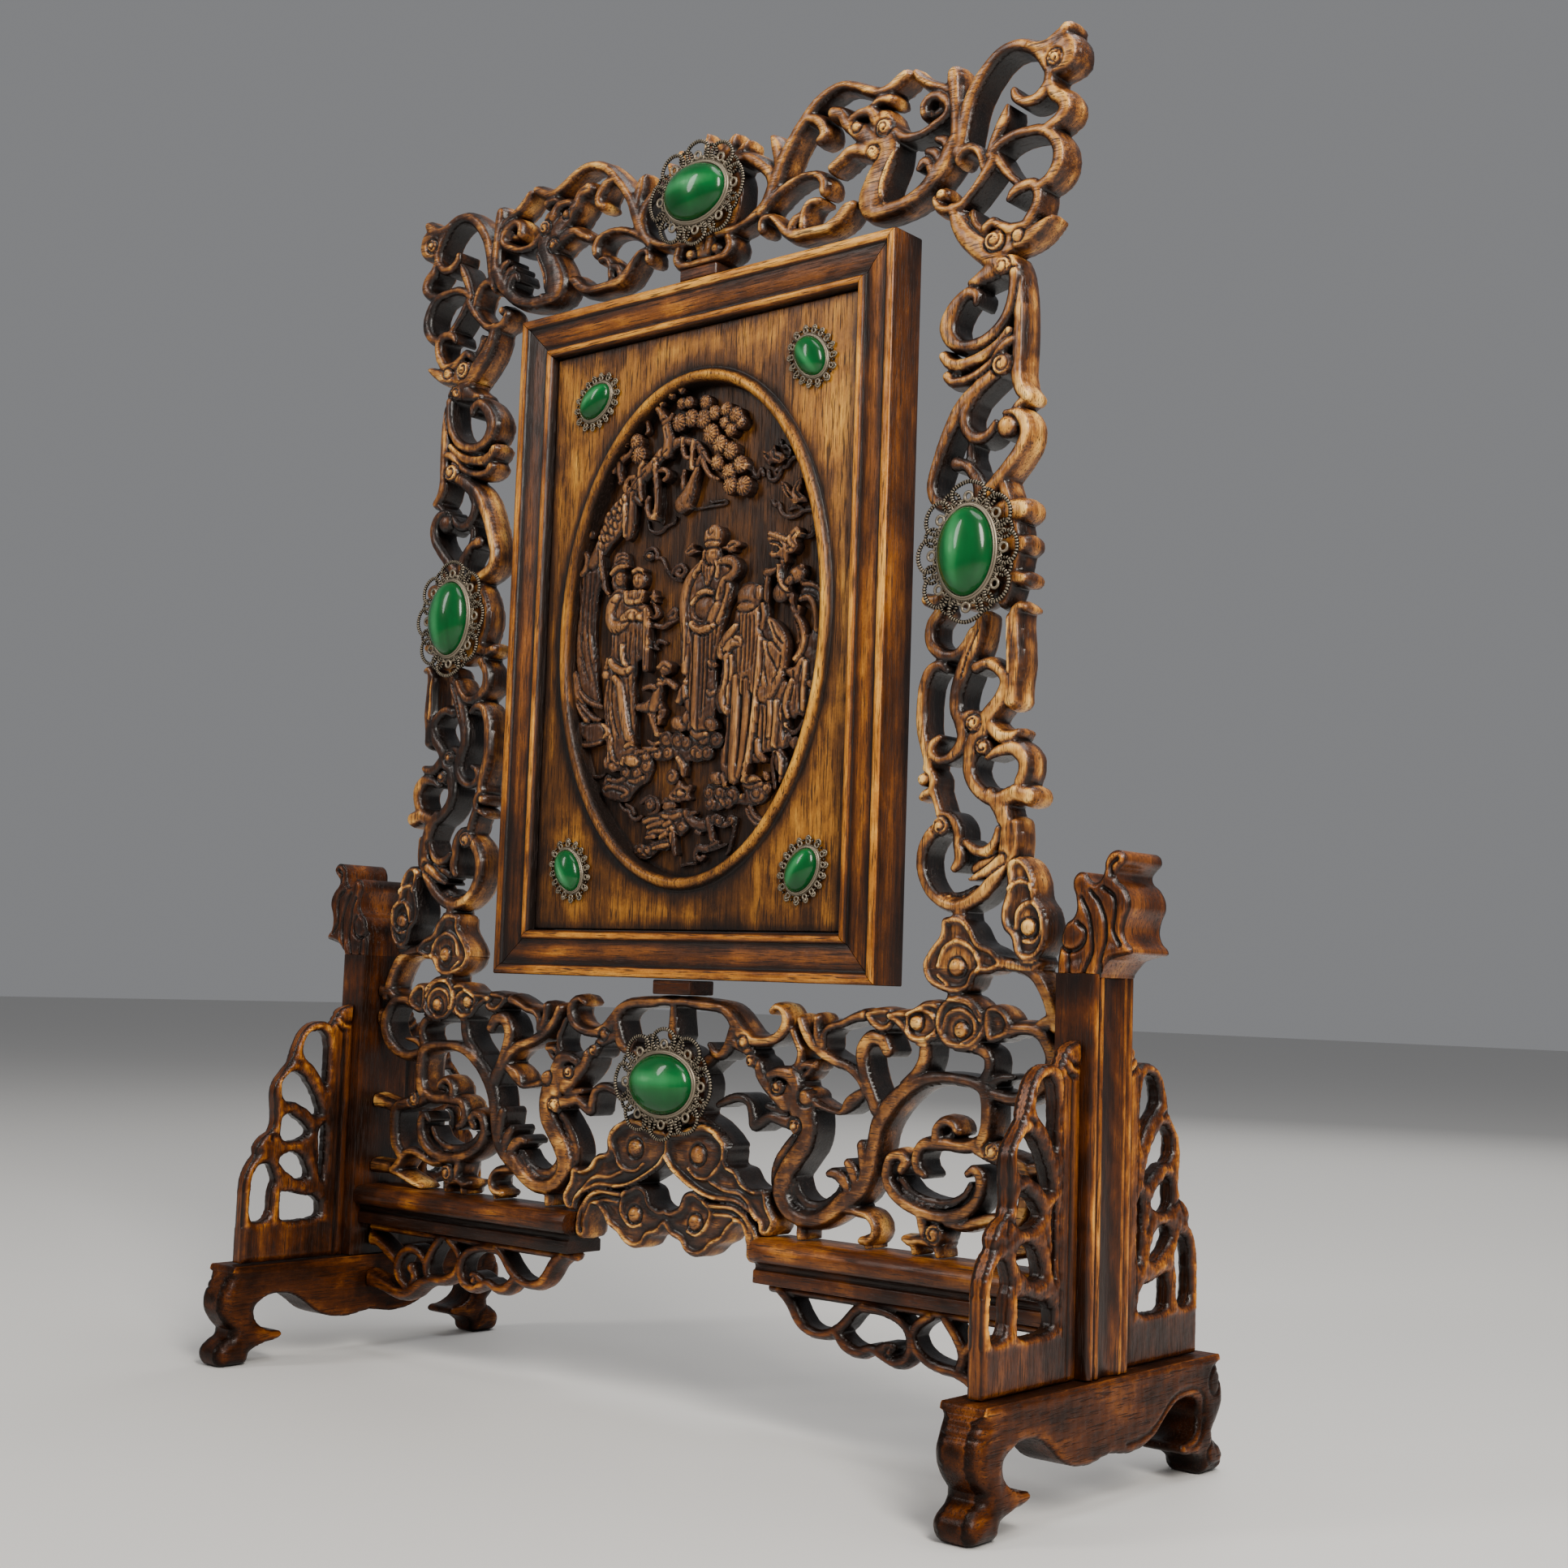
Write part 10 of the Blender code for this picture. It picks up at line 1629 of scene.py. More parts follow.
def feet():
    step = 0.6
    us, zs = np.arange(-62.4, 62.5, step), np.arange(-1.2, 33.5, step)
    U, Z = np.meshgrid(us, zs, indexing="ij")
    half = [(0.0, 31.7)] + [tuple(p) for p in spline(FOOT_SIDE, 5)] + [tuple(p) for p in spline(FOOT_ARCH, 5)]
    F = plate_field(U, Z, None, ready=np.array(half + [(-y, z) for y, z in reversed(half[1:-1])]))
    # shallow saw lines across the end of each leg
    for zc, dep in ((29.3, 0.45), (26.9, 0.45), (24.6, 0.45), (11.6, 0.35), (7.4, 0.3)):
        F = F - dep * np.exp(-((Z - zc) / 0.45) ** 2) * (np.abs(U) > 50)
    F = np.minimum(F, 31.7 - Z)
    leg = smooth((np.abs(U) - 43.5) / 6.0) * smooth((30.4 - Z) / 2.5)
    R = 1.8 + 2.9 * leg
    H = 0.15 + (1.35 + 2.6 * leg) * (1 - np.sqrt(np.maximum(1 - (1 - np.clip(F / R, 0, 1)) ** 2, 0)))
    H = np.where(Z > 29.5, np.minimum(H, 0.5), H) + 0.10 * ripple(U, Z, 4.0)
    line = [(60.6, 25.2, 0.45), (57.6, 28.4, 0.5), (53.4, 28.6, 0.5), (50.6, 25.6, 0.55), (51.6, 22.0, 0.5),
            (55.0, 21.4, 0.45), (56.4, 24.0, 0.4)]
    low = [(58.6, 3.4, 0.4), (55.2, 2.2, 0.45), (51.4, 3.4, 0.5), (50.4, 6.6, 0.5), (52.8, 8.6, 0.4)]
    hook = [(38.6, 8.9, 0.4), (43.0, 9.0, 0.45), (47.0, 11.4, 0.45), (49.0, 15.2, 0.4)]
    rim = [(48.8, 17.0, 0.4), (47.6, 21.6, 0.45), (43.4, 24.0, 0.45), (37.8, 24.4, 0.4), (31.0, 23.0, 0.4),
           (25.4, 19.4, 0.4), (20.6, 16.6, 0.4), (14.0, 15.0, 0.35), (7.4, 14.6, 0.3)]
    for path in (line, low, hook, rim):
        f, w, d, _ = limb_field(np.abs(U), Z, path)
        H = H + 0.42 * np.where(f > -0.4, np.exp(-(d / 0.55) ** 2), 0)
    tf = np.clip(wear_and_shade_of(F, H, step, base=0.46, gain=0.4) - 0.16 * leg, 0, 1)
    end = np.where(np.abs(U) > 50, 1.0, 0.0)
    walls = [0.34 + 0.04 * end, 0.24 + 0.08 * end + 0.1 * np.sin(Z * 1.1), 0.30 + 0.0 * end]
    walls[1] = np.clip(walls[1] - 0.18 * np.exp(-((Z - 22) / 2.0) ** 2), 0, 1)
    for side, tag in ((1, "right"), (-1, "left")):
        v, t, n = side_slab(F, H, us, zs, 7.0, 145.7, side, (tf, walls))
        make_piece("carved_foot_" + tag, v, t, n, WOOD_Y, ["foot_" + tag], "stand_wood")
    print("piece foot", len(t))


SPANDREL = [(10.5, 32.0), (51.5, 32.0), (51.6, 55.0), (51.0, 60.0), (49.2, 63.8), (47.4, 66.6),
            (46.9, 69.6), (44.7, 72.4), (41.6, 74.4), (40.5, 77.5), (40.8, 82.0), (41.2, 87.0),
            (40.3, 90.6), (37.6, 94.0), (35.0, 97.6), (33.4, 102.0), (31.2, 106.6), (27.6, 109.7),
            (22.8, 110.6), (19.2, 109.4), (17.6, 111.8), (15.4, 114.8), (10.5, 116.4)]
PIERCE = [
    [(30.2, 104.2), (28.4, 106.8), (24.6, 107.8), (21.4, 106.6), (19.9, 103.0), (19.6, 97.0), (19.8, 90.8),
     (21.2, 88.6), (23.4, 92.0), (26.6, 95.6), (29.8, 98.2), (30.8, 101.2)],
    [(38.6, 90.2), (36.4, 93.0), (33.0, 94.2), (29.4, 92.4), (25.8, 88.4), (23.2, 83.6), (22.0, 79.6),
     (24.4, 78.6), (28.0, 80.8), (32.6, 83.0), (36.2, 83.6), (38.4, 86.0)],
    [(38.3, 76.4), (37.2, 79.4), (34.0, 80.2), (30.6, 78.2), (27.4, 75.8), (26.0, 73.6), (28.2, 71.4),
     (32.4, 70.4), (36.4, 70.6), (38.2, 72.8)],
    [(20.2, 76.2), (22.3, 75.2), (22.7, 71.0), (22.3, 65.0), (21.9, 60.0), (20.2, 57.4), (19.3, 60.6),
     (19.1, 68.0), (19.2, 74.0)],
    [(38.2, 64.2), (36.6, 66.8), (32.6, 67.6), (28.6, 65.8), (25.9, 61.4), (25.7, 58.6), (28.4, 57.4),
     (32.0, 58.4), (35.4, 60.8)],
    [(49.0, 56.6), (48.2, 61.0), (45.6, 63.8), (42.4, 64.4), (40.4, 62.0), (39.0, 58.2), (40.0, 53.6),
     (40.2, 48.6), (41.4, 45.6), (44.6, 44.3), (48.0, 45.3), (49.2, 49.0)],
    [(36.6, 54.8), (33.0, 54.6), (27.6, 53.3), (23.0, 52.5), (20.4, 50.2), (20.0, 46.4), (23.2, 44.5),
     (30.0, 44.2), (35.8, 44.6), (37.2, 47.6), (37.0, 52.0)],
]


def spandrels():
    step = 0.6
    us, zs = np.arange(9.5, 55.6, step), np.arange(31.0, 118.1, step)
    U, Z = np.meshgrid(us, zs, indexing="ij")
    edge = [SPANDREL[0], SPANDREL[1]] + [tuple(p) for p in spline(SPANDREL[2:20], 5)] \
        + [tuple(p) for p in spline(SPANDREL[20:], 5)]
    body = plate_field(U, Z, None, ready=np.array(edge))
    F = body
    for h in PIERCE:
        F = np.minimum(F, 0.5 + 0.3 * ripple(U * 1.3, Z * 1.3, 11.0) - plate_field(U, Z, h))
    # the base band and the strip beside the post stay flat; the rest is rounded like coral
    flat = np.maximum(smooth((44.4 - Z) / 1.6), smooth((18.4 - U) / 1.2) * smooth((109.5 - Z) / 3))
    R = 1.9 + 1.3 * smooth((body - 0.2) / 3.0)
    r = 1 - np.clip(F / R, 0, 1)
    H = (0.1 + 2.1 * (1 - np.sqrt(np.maximum(1 - r ** 2, 0)))) * (1 - flat) \
        + flat * (0.55 + 0.7 * (1 - smooth(np.minimum(body, F + 0.2) / 1.0)))
    # swelling where strands meet, slack between
    H = H + 0.35 * ripple(U * 1.6, Z * 1.6, 5.0) * smooth(F / 1.4) * (1 - flat)
    # ridge and hollows along the outer edge
    for path, dep in (([(42.6, 70.4, 0.8), (41.0, 73.4, 0.8), (38.9, 72.2, 0.7)], 0.7),
                      ([(36.6, 96.0, 0.7), (33.4, 97.4, 0.8), (31.4, 96.4, 0.6)], 0.6),
                      ([(45.4, 68.6, 0.7), (47.0, 66.4, 0.7)], 0.6),
                      ([(24.2, 74.4, 0.6), (25.0, 70.0, 0.7), (24.0, 66.0, 0.6)], 0.4),
                      ([(19.0, 112.4, 0.6), (16.4, 108.6, 0.8), (13.2, 107.4, 0.6)], 0.9),
                      ([(16.6, 112.6, 0.5), (14.2, 110.6, 0.6), (11.6, 110.2, 0.5)], 0.8)):
        f, w, d, _ = limb_field(U, Z, path)
        H = H + dep * np.exp(-(d / 0.75) ** 2)
    for path in ([(18.5, 46.0, 0.4), (18.4, 70.0, 0.4), (18.5, 107.0, 0.4)],
                 [(14.4, 33.0, 0.4), (14.4, 70.0, 0.4), (14.4, 108.0, 0.4)]):
        f, w, d, _ = limb_field(U, Z, path)
        H = H + 0.6 * np.exp(-(d / 0.5) ** 2)
    H = np.clip(H + 0.08 * ripple(U, Z, 7.0), 0, 2.6)
    air = outer_air(F).astype(float)
    air = np.clip(blur(air, 2) * 3, 0, 1)
    tf = wear_and_shade_of(F, H, step, base=0.46, gain=0.46)
    low = smooth((43.6 - Z) / 1.5)
    tf = np.clip(tf - 0.09 * low, 0, 1)
    # painted shade: the walls inside the piercings are darker than the outer walls, most of all in their middle row
    walls = [0.30 + 0.26 * air, 0.12 + 0.34 * air, 0.30 + 0.26 * air]
    for side, stag in ((1, "right"), (-1, "left")):
        for way, wtag in ((-1, "front"), (1, "back")):
            v, t, n = side_slab(F, H, us, zs, (SPANDREL_X1 - SPANDREL_X0) / 2, (SPANDREL_X0 + SPANDREL_X1) / 2,
                                side, (tf, walls))
            if way < 0:
                v[:, 1] *= -1
                t = t[:, ::-1]
            make_piece("pierced_spandrel_%s_%s" % (wtag, stag), v, t, n, WOOD_Z,
                       ["spandrel_%s_%s" % (wtag, stag)], "stand_wood")
    print("piece spandrel", len(t))


FINIAL = [(139.4, 137.5), (139.9, 140.0), (140.5, 143.4), (141.6, 146.2), (143.7, 147.8), (144.7, 150.2),
          (144.3, 153.6), (143.6, 155.6), (143.7, 157.8), (145.2, 159.4), (147.2, 159.4), (148.4, 157.8),
          (149.9, 156.8), (151.6, 157.4), (152.7, 159.6), (153.0, 162.2), (154.4, 164.3), (156.6, 165.1),
          (158.5, 164.2), (158.9, 162.2), (157.4, 160.6), (156.2, 159.0), (156.7, 157.2), (158.6, 155.6),
          (160.1, 153.0), (160.3, 150.3), (159.1, 147.4), (158.6, 144.4), (159.5, 141.8), (161.0, 140.3),
          (161.1, 138.9), (158.2, 138.2), (154.8, 137.2), (152.9, 135.4), (151.4, 133.6)]
FINIAL_LINES = [
    ("G", [(140.2, 141.0, 0.4), (142.0, 139.4, 0.5), (144.8, 139.6, 0.55), (147.0, 141.6, 0.55),
           (147.2, 144.6, 0.5), (145.2, 146.6, 0.45)]),
    ("G", [(146.2, 153.0, 0.45), (148.2, 149.0, 0.55), (149.2, 144.0, 0.6), (149.4, 139.0, 0.6),
           (147.8, 135.0, 0.5), (146.4, 131.0, 0.4)]),
    ("G", [(151.0, 131.0, 0.4), (152.2, 137.0, 0.5), (153.4, 142.0, 0.55), (153.2, 147.0, 0.55),
           (151.4, 151.6, 0.5), (149.0, 154.6, 0.45)]),
    ("G", [(157.8, 141.0, 0.45), (155.8, 144.6, 0.55), (156.2, 149.4, 0.55), (155.6, 153.4, 0.5),
           (152.6, 155.6, 0.45)]),
    ("G", [(142.4, 139.2, 0.4), (142.8, 134.0, 0.5), (143.2, 128.0, 0.4)]),
    ("G", [(155.0, 158.6, 0.4), (154.8, 161.4, 0.5), (156.6, 162.8, 0.4)]),
]


def posts():
    # shaft: section in X and Y with the flutes on the outer side
    def swell(y0, y1, x, rise, n=8):
        """Points of a bead (rise above x) or a hollow (rise below) between y0 and y1."""
        return [(x + rise * math.sin(math.pi * k / n), y0 + (y1 - y0) * k / n) for k in range(n + 1)]
    X1 = POST_X1
    sec = [(139.7, -10.2), (149.4, -10.2), (149.9, -10.1)] + swell(-10.0, -6.9, X1 - 0.75, 0.72) \
        + [(X1 - 0.95, -6.6)] + swell(-6.3, -5.1, X1 - 0.35, 0.33, 4) + swell(-5.0, 5.0, X1 - 0.30, -1.0, 12) \
        + swell(5.1, 6.3, X1 - 0.35, 0.33, 4) + [(X1 - 0.95, 6.6)] + swell(6.9, 10.0, X1 - 0.75, 0.72) \
        + [(149.9, 10.1), (149.4, 10.2), (139.7, 10.2), (139.35, 10.0), (139.3, 9.6), (139.3, -9.6), (139.35, -10.0)]
    # painted light and shade: the groove between each bead and fillet is dark, and the broad hollow grows lighter
    # towards +Y as the light falls
    base = []
    for x, y in sec:
        if x < 149.6:
            base.append(0.36)
        elif abs(y) > 6.7:
            base.append(0.40 + 0.38 * max(0.0, (x - 150.5) / 0.7))
        elif abs(y) > 5.0:
            base.append(0.12 if x < 150.6 else 0.72)
        else:
            base.append(0.27 + 0.22 * smooth((y + 1.0) / 4.0))
    step = 0.4
    xs, zs = np.arange(138.4, 162.4, step), np.arange(131.6, 166.4, step)
    X, Z = np.meshgrid(xs, zs, indexing="ij")
    poly = [(139.3, 132.6)] + [tuple(p) for p in spline(FINIAL, 5)] + [(151.2, 132.6)]
    F = plate_field(X, Z, None, ready=np.array(poly))
    H = 0.1 + 1.1 * (1 - smooth(F / 1.2))
    for _, path in FINIAL_LINES:
        f, w, d, run = limb_field(X, Z, path)
        H = H + 1.15 * np.exp(-(d / 0.62) ** 2)
    H = H + 0.45 * smooth((F - 2.0) / 3.0) + 0.1 * ripple(X, Z, 9.0)
    Hb = 0.15 + 1.0 * (1 - smooth(F / 1.2))
    tf = wear_and_shade_of(F, H, step, base=0.50, gain=0.40)
    # painted shade: the middle of the finial's walls darkens in its two hollows, near Z 158 and Z 142
    mid = 0.76 - 0.46 * np.exp(-((Z - 158.0) / 1.5) ** 2) - 0.34 * np.exp(-((Z - 142.4) / 1.7) ** 2)
    walls = [0.66 + 0 * Z, mid, 0.6 + 0 * Z]
    fin = slab(xs, zs, F, -POST_HALF_Y + H, POST_HALF_Y - Hb, tf, tf * 0.8, walls)
    for side, tag in ((1, "right"), (-1, "left")):
        rings, tn = [], []
        for z in [32.0, 32.25] + list(np.linspace(36, 132, 24)) + [133.4, 133.6]:
            s = 0.25 if z in (32.0, 133.6) else 0.0
            rings.append([(side * (145.2 + (x - 145.2) * (1 - s / 6)), y * (1 - s / 10), z) for x, y in sec])
            tn.append([b - 0.04 + 0.07 * math.sin(z * 0.4 + q[1]) for b, q in zip(base, sec)])
        v, t, n = loft(rings, tn)
        shaft = make_piece("fluted_post_" + tag, v, t, n, WOOD_Z, (), "stand_wood")
        fix_out(shaft)
        shaft.data.set_sharp_from_angle(angle=math.radians(50))
        fv, ft = fin[0].copy(), fin[1]
        if side < 0:
            fv[:, 0] *= -1
            ft = ft[:, ::-1]
        # painted shade: the left finial is darkened and the right one barely lightened, as the light falls across the
        # stand
        tones = np.clip(np.asarray(fin[2]) + (0.02 if side > 0 else -0.25), 0, 1)
        cap = make_piece("scroll_finial_" + tag, fv, ft, tones, WOOD_Z, (), "stand_wood")
        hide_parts("post_" + tag)
        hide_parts("post_" + tag)
    print("piece finial", len(fin[1]), "shaft", len(t))

# ------------------------------------------------------------------ panel frame and ground
def panel_frame():
    # distance in from the outer edge, Y of the surface, corner radius, tone; the dark tones in the quirks beside the
    # beads are painted shade
    sec = [(0.0, -6.4, 0.3, .45), (0.45, -7.1, 0.3, .80), (1.3, -7.25, 0.3, .85), (2.5, -7.2, 0.35, .80),
           (3.2, -6.6, 0.2, .40), (3.5, -6.1, 0.15, .10), (4.2, -6.05, 0.2, .35), (6.4, -5.9, 0, .60),
           (9.0, -5.5, 0, .58), (10.9, -5.1, 0.15, .30), (11.3, -5.15, 0.1, .10), (11.6, -6.0, 0.2, .55),
           (12.3, -6.5, 0.25, .85), (13.3, -6.4, 0.25, .85), (14.0, -5.6, 0.3, .45), (14.4, -4.6, 0, .12),
           (14.4, 6.3, 0.5, .2), (13.5, 7.1, 0.4, .35), (1.0, 7.1, 0.6, .35), (0.0, 6.3, 0.5, .35)]
    pts, tones = [], []
    n = len(sec)
    for i in range(n):
        a, p, b = sec[i - 1], sec[i], sec[(i + 1) % n]
        got = rounded([(a[0], a[1]), (p[0], p[1], p[2]), (b[0], b[1])], 2)[1:-1] if p[2] > 0 \
            else [(p[0], p[1])]
        pts += got
        tones += [p[3]] * len(got)
    W, z0, z1, g = PANEL_HALF_W, PANEL_Z0, PANEL_Z1, GAP / 2
    for which in ("bottom", "top", "left", "right"):
        rings, tn = [], []
        # painted light: the top and right mouldings are lighter, the bottom and left ones darker, as the light falls
        # across the screen
        wear_and_light = {"bottom": -0.06, "top": 0.04, "left": -0.06, "right": 0.07}[which]
        m = 9
        for k in range(m):
            s = k / (m - 1)
            ring = []
            for d, y in pts:
                if which in ("bottom", "top"):
                    x = (-W + d + g) * (1 - s) + (W - d - g) * s
                    z = z0 + d if which == "bottom" else z1 - d
                else:
                    z = (z0 + d + g) * (1 - s) + (z1 - d - g) * s
                    x = -W + d if which == "left" else W - d
                ring.append((x, y, z))
            rings.append(ring)
            fade = -0.12 if k in (0, m - 1) else 0.0
            tn.append([t + fade + wear_and_light for t in tones])
        make_loft("frame_moulding_" + which, rings, tn, WOOD_FX if which in ("bottom", "top") else WOOD_FZ,
                  ["frame_" + which], "frame_wood", angle=40)


def panel_ground():
    hw = PANEL_HALF_W - FRAME_W - GAP
    zl, zh = PANEL_Z0 + FRAME_W + GAP - OVAL_Z, PANEL_Z1 - FRAME_W - GAP - OVAL_Z
    ang = [2 * math.pi * k / 144 for k in range(144)]
    for cx, cz in ((hw, zh), (hw, zl), (-hw, zl), (-hw, zh)):
        ang.append(math.atan2(cx, cz) % (2 * math.pi))
    ang = sorted(set(round(a, 6) for a in ang))
    n = len(ang)
    B = OVAL_BEAD
    # painted shade: the tones fall low at both feet of the bead
    prof = [(-B - 9.0, 1.05, .40), (-B - 1.6, 1.1, .34), (-B - 0.35, 1.1, .16), (-B, 0.4, .08), (-B + 0.12, -2.6, .14), (-B + 0.35, -4.0, .45),
            (-B + 0.9, -4.95, .72), (-B + 1.5, -5.4, .82), (-B + 2.1, -5.5, .85), (-B + 2.8, -5.35, .82),
            (-B + 3.4, -4.85, .66), (-B + 3.9, -4.05, .36), (-B + 4.2, -3.4, .14), (0.15, -3.05, .08),
            (0.6, -3.1, .24), (1.4, -3.2, .40), (3.2, -3.22, .52), (6.0, -3.25, .60)]
    rings, tones = [], []
    for off, y, tn in prof:
        rings.append([((OVAL_A + off) * math.sin(a), y, (OVAL_B + off) * math.cos(a)) for a in ang])
        tones.append([tn] * n)

    def border(inset, y, tn, base):
        out, tt = [], []
        for a in ang:
            dx, dz = math.sin(a), math.cos(a)
            s = min((hw - inset) / max(abs(dx), 1e-9), ((zh if dz > 0 else -zl) - inset) / max(abs(dz), 1e-9))
            e = 1 / math.hypot(dx / (OVAL_A + base), dz / (OVAL_B + base))
            s = max(s, e + 0.2)
            out.append((dx * s, y, dz * s))
            tt.append(tn)
        return out, tt
    # blend from the last oval to the rectangle; where the oval nearly meets the frame it is held back
    # painted shade: the ground darkens next to the frame
    lim = [border(i, y, tn, b) for i, y, tn, b in ((2.6, -3.22, .54, 0.0), (0.5, -3.2, .34, 0.0), (0.12, -3.1, .12, 0.0), (0.0, -2.8, .1, 0.0))]
    rect_at = []
    for a in ang:
        dx, dz = math.sin(a), math.cos(a)
        rect_at.append(min((hw - 2.8) / max(abs(dx), 1e-9), ((zh if dz > 0 else -zl) - 2.8) / max(abs(dz), 1e-9)))
    fixed = []
    for ring in rings:
        new = []
        for (x, y, z), lim_r in zip(ring, rect_at):
            r = math.hypot(x, z)
            k = min(1.0, lim_r / r)
            new.append((x * k, y, z * k))
        fixed.append(new)
    mid, midt = [], []
    for (x, y, z), (x2, y2, z2) in zip(fixed[-1], lim[0][0]):
        mid.append(((x + x2) / 2, -3.22, (z + z2) / 2)); midt.append(0.66)
    rings = fixed + [mid] + [l[0] for l in lim]
    tones = tones + [midt] + [l[1] for l in lim]
    rings.append([(x, 4.4, z) for x, y, z in lim[3][0]]); tones.append([.38] * n)
    rings.append([(x * 0.997, 4.6, z * 0.997) for x, y, z in lim[3][0]]); tones.append([.43] * n)
    # painted light: the ground and its bead grow lighter towards the upper right and darker towards the lower left, the
    # bead most of all, and the bead is darkened overall
    for r, t in zip(rings, tones):
        for i, (x, y, z) in enumerate(r):
            far = math.hypot(x / OVAL_A, z / OVAL_B)
            if far > 0.93:
                gain = 0.06 if far > 1.04 else 0.16
                t[i] = min(max(t[i] + 0.07 * z / 100.0 + gain * x / 64.0 - (0.08 if far < 1.04 else 0.0), 0.0), 1.0)
    rings = [[(x, y, z + OVAL_Z) for x, y, z in r] for r in rings]
    ob = make_loft("panel_ground", rings, tones, WOOD_G, ["relief_panel"], "relief_wood", angle=60)
    print("piece ground", len(ob.data.polygons))

# ------------------------------------------------------------------ stones and wirework
def tube(path, radii, sides=6, closed=False, base=0.45):
    """Wire along a path in the setting's own plane (u, out, v)."""
    P = np.asarray(path, float)
    n = len(P)
    if closed:
        T = np.roll(P, -1, 0) - np.roll(P, 1, 0)
    else:
        T = np.gradient(P, axis=0)
    T /= np.maximum(np.linalg.norm(T, axis=1, keepdims=True), 1e-9)
    up = np.array([0.0, 1.0, 0.0])
    side = np.cross(T, up)
    side /= np.maximum(np.linalg.norm(side, axis=1, keepdims=True), 1e-9)
    up2 = np.cross(side, T)
    r = np.broadcast_to(np.asarray(radii, float), (n,))
    V, tn = [], []
    for k in range(sides):
        a = 2 * math.pi * (k + 0.5) / sides
        V.append(P + r[:, None] * (math.cos(a) * side + math.sin(a) * up2))
        # painted light and shade: the half of the wire facing out of the setting is lighter, the back half darker, and
        # the narrow grooves between beads are darkest
        tn.append(base - 0.10 + 0.35 * math.sin(a) + 2.4 * (r / max(r.max(), 1e-9) - 0.87))
    V = np.stack(V, 1).reshape(-1, 3)
    tn = np.stack(tn, 1).reshape(-1)
    tris = []
    m = n if closed else n - 1
    for i in range(m):
        j = (i + 1) % n
        for k in range(sides):
            q = (k + 1) % sides
            a, b, c, d = i * sides + k, i * sides + q, j * sides + q, j * sides + k
            tris += [(a, b, c), (a, c, d)]
    if not closed:
        for k in range(1, sides - 1):
            tris.append((0, k + 1, k))
            e = (n - 1) * sides
            tris.append((e, e + k, e + k + 1))
    return V, np.array(tris), tn


def resample(path, step, closed=False):
    P = np.asarray(path, float)
    if closed:
        P = np.vstack([P, P[:1]])
    s = np.concatenate([[0], np.cumsum(np.linalg.norm(np.diff(P, axis=0), axis=1))])
    n = max(3, int(round(s[-1] / step)))
    t = np.linspace(0, s[-1], n + 1)
    if closed:
        t = t[:-1]
    return np.stack([np.interp(t, s, P[:, k]) for k in range(3)], 1), t


def rope(path, r, pitch=0.74, closed=False, base=0.5, per=4, sides=6):
    """Beaded wire."""
    P, t = resample(path, pitch / per, closed)
    return tube(P, r * (0.58 + 0.42 * np.abs(np.sin(math.pi * (t / pitch + 0.25)))), sides, closed, base)


def bead(c, r, base=0.75):
    rings, seg = 3, 7
    V = [(c[0], c[1] + r, c[2])]
    # painted highlight: the bead is lightest at its outward top and darker towards its foot
    tn = [base + 0.2]
    for i in range(1, rings + 1):
        a = math.pi * 0.5 * i / rings * 1.15
        for k in range(seg):
            b = 2 * math.pi * k / seg
            V.append((c[0] + r * math.sin(a) * math.cos(b), c[1] + r * math.cos(a), c[2] + r * math.sin(a) * math.sin(b)))
            tn.append(base - 0.35 * i / rings)
    V.append((c[0], c[1] - 0.5 * r, c[2]))
    tn.append(base - 0.4)
    tris = [(0, 1 + (k + 1) % seg, 1 + k) for k in range(seg)]
    for i in range(rings - 1):
        for k in range(seg):
            a, b = 1 + i * seg + k, 1 + i * seg + (k + 1) % seg
            tris += [(a, b, b + seg), (a, b + seg, a + seg)]
    e = 1 + (rings - 1) * seg
    tris += [(e + k, e + (k + 1) % seg, len(V) - 1) for k in range(seg)]
    return np.array(V), np.array(tris), np.array(tn)


def oval_frame(a, b):
    """Points near an oval: t is mm along it from its right end, n is mm outwards."""
    th = np.linspace(0, 2 * math.pi, 721)
    P = np.stack([a * np.cos(th), b * np.sin(th)], 1)
    s = np.concatenate([[0], np.cumsum(np.linalg.norm(np.diff(P, axis=0), axis=1))])

    def at(t, n, out=0.0):
        q = np.interp(t % s[-1], s, th)
        x, y = a * math.cos(q), b * math.sin(q)
        nx, ny = b * math.cos(q), a * math.sin(q)
        ln = math.hypot(nx, ny)
        return (x + n * nx / ln, out, y + n * ny / ln)
    return at, s[-1]


def ring_path(at, t0, n0, r, out, k=14, stretch=1.0):
    c = np.array(at(t0, n0, out))
    e = np.array(at(t0, n0 + 0.5, out)) - c
    e /= np.linalg.norm(e)
    f = np.array([-e[2], 0, e[0]])
    return [c + r * (math.cos(2 * math.pi * i / k) * e * stretch + math.sin(2 * math.pi * i / k) * f) for i in range(k)]


def curve3(pts, n=6, closed=False):
    return spline(pts, n, closed)


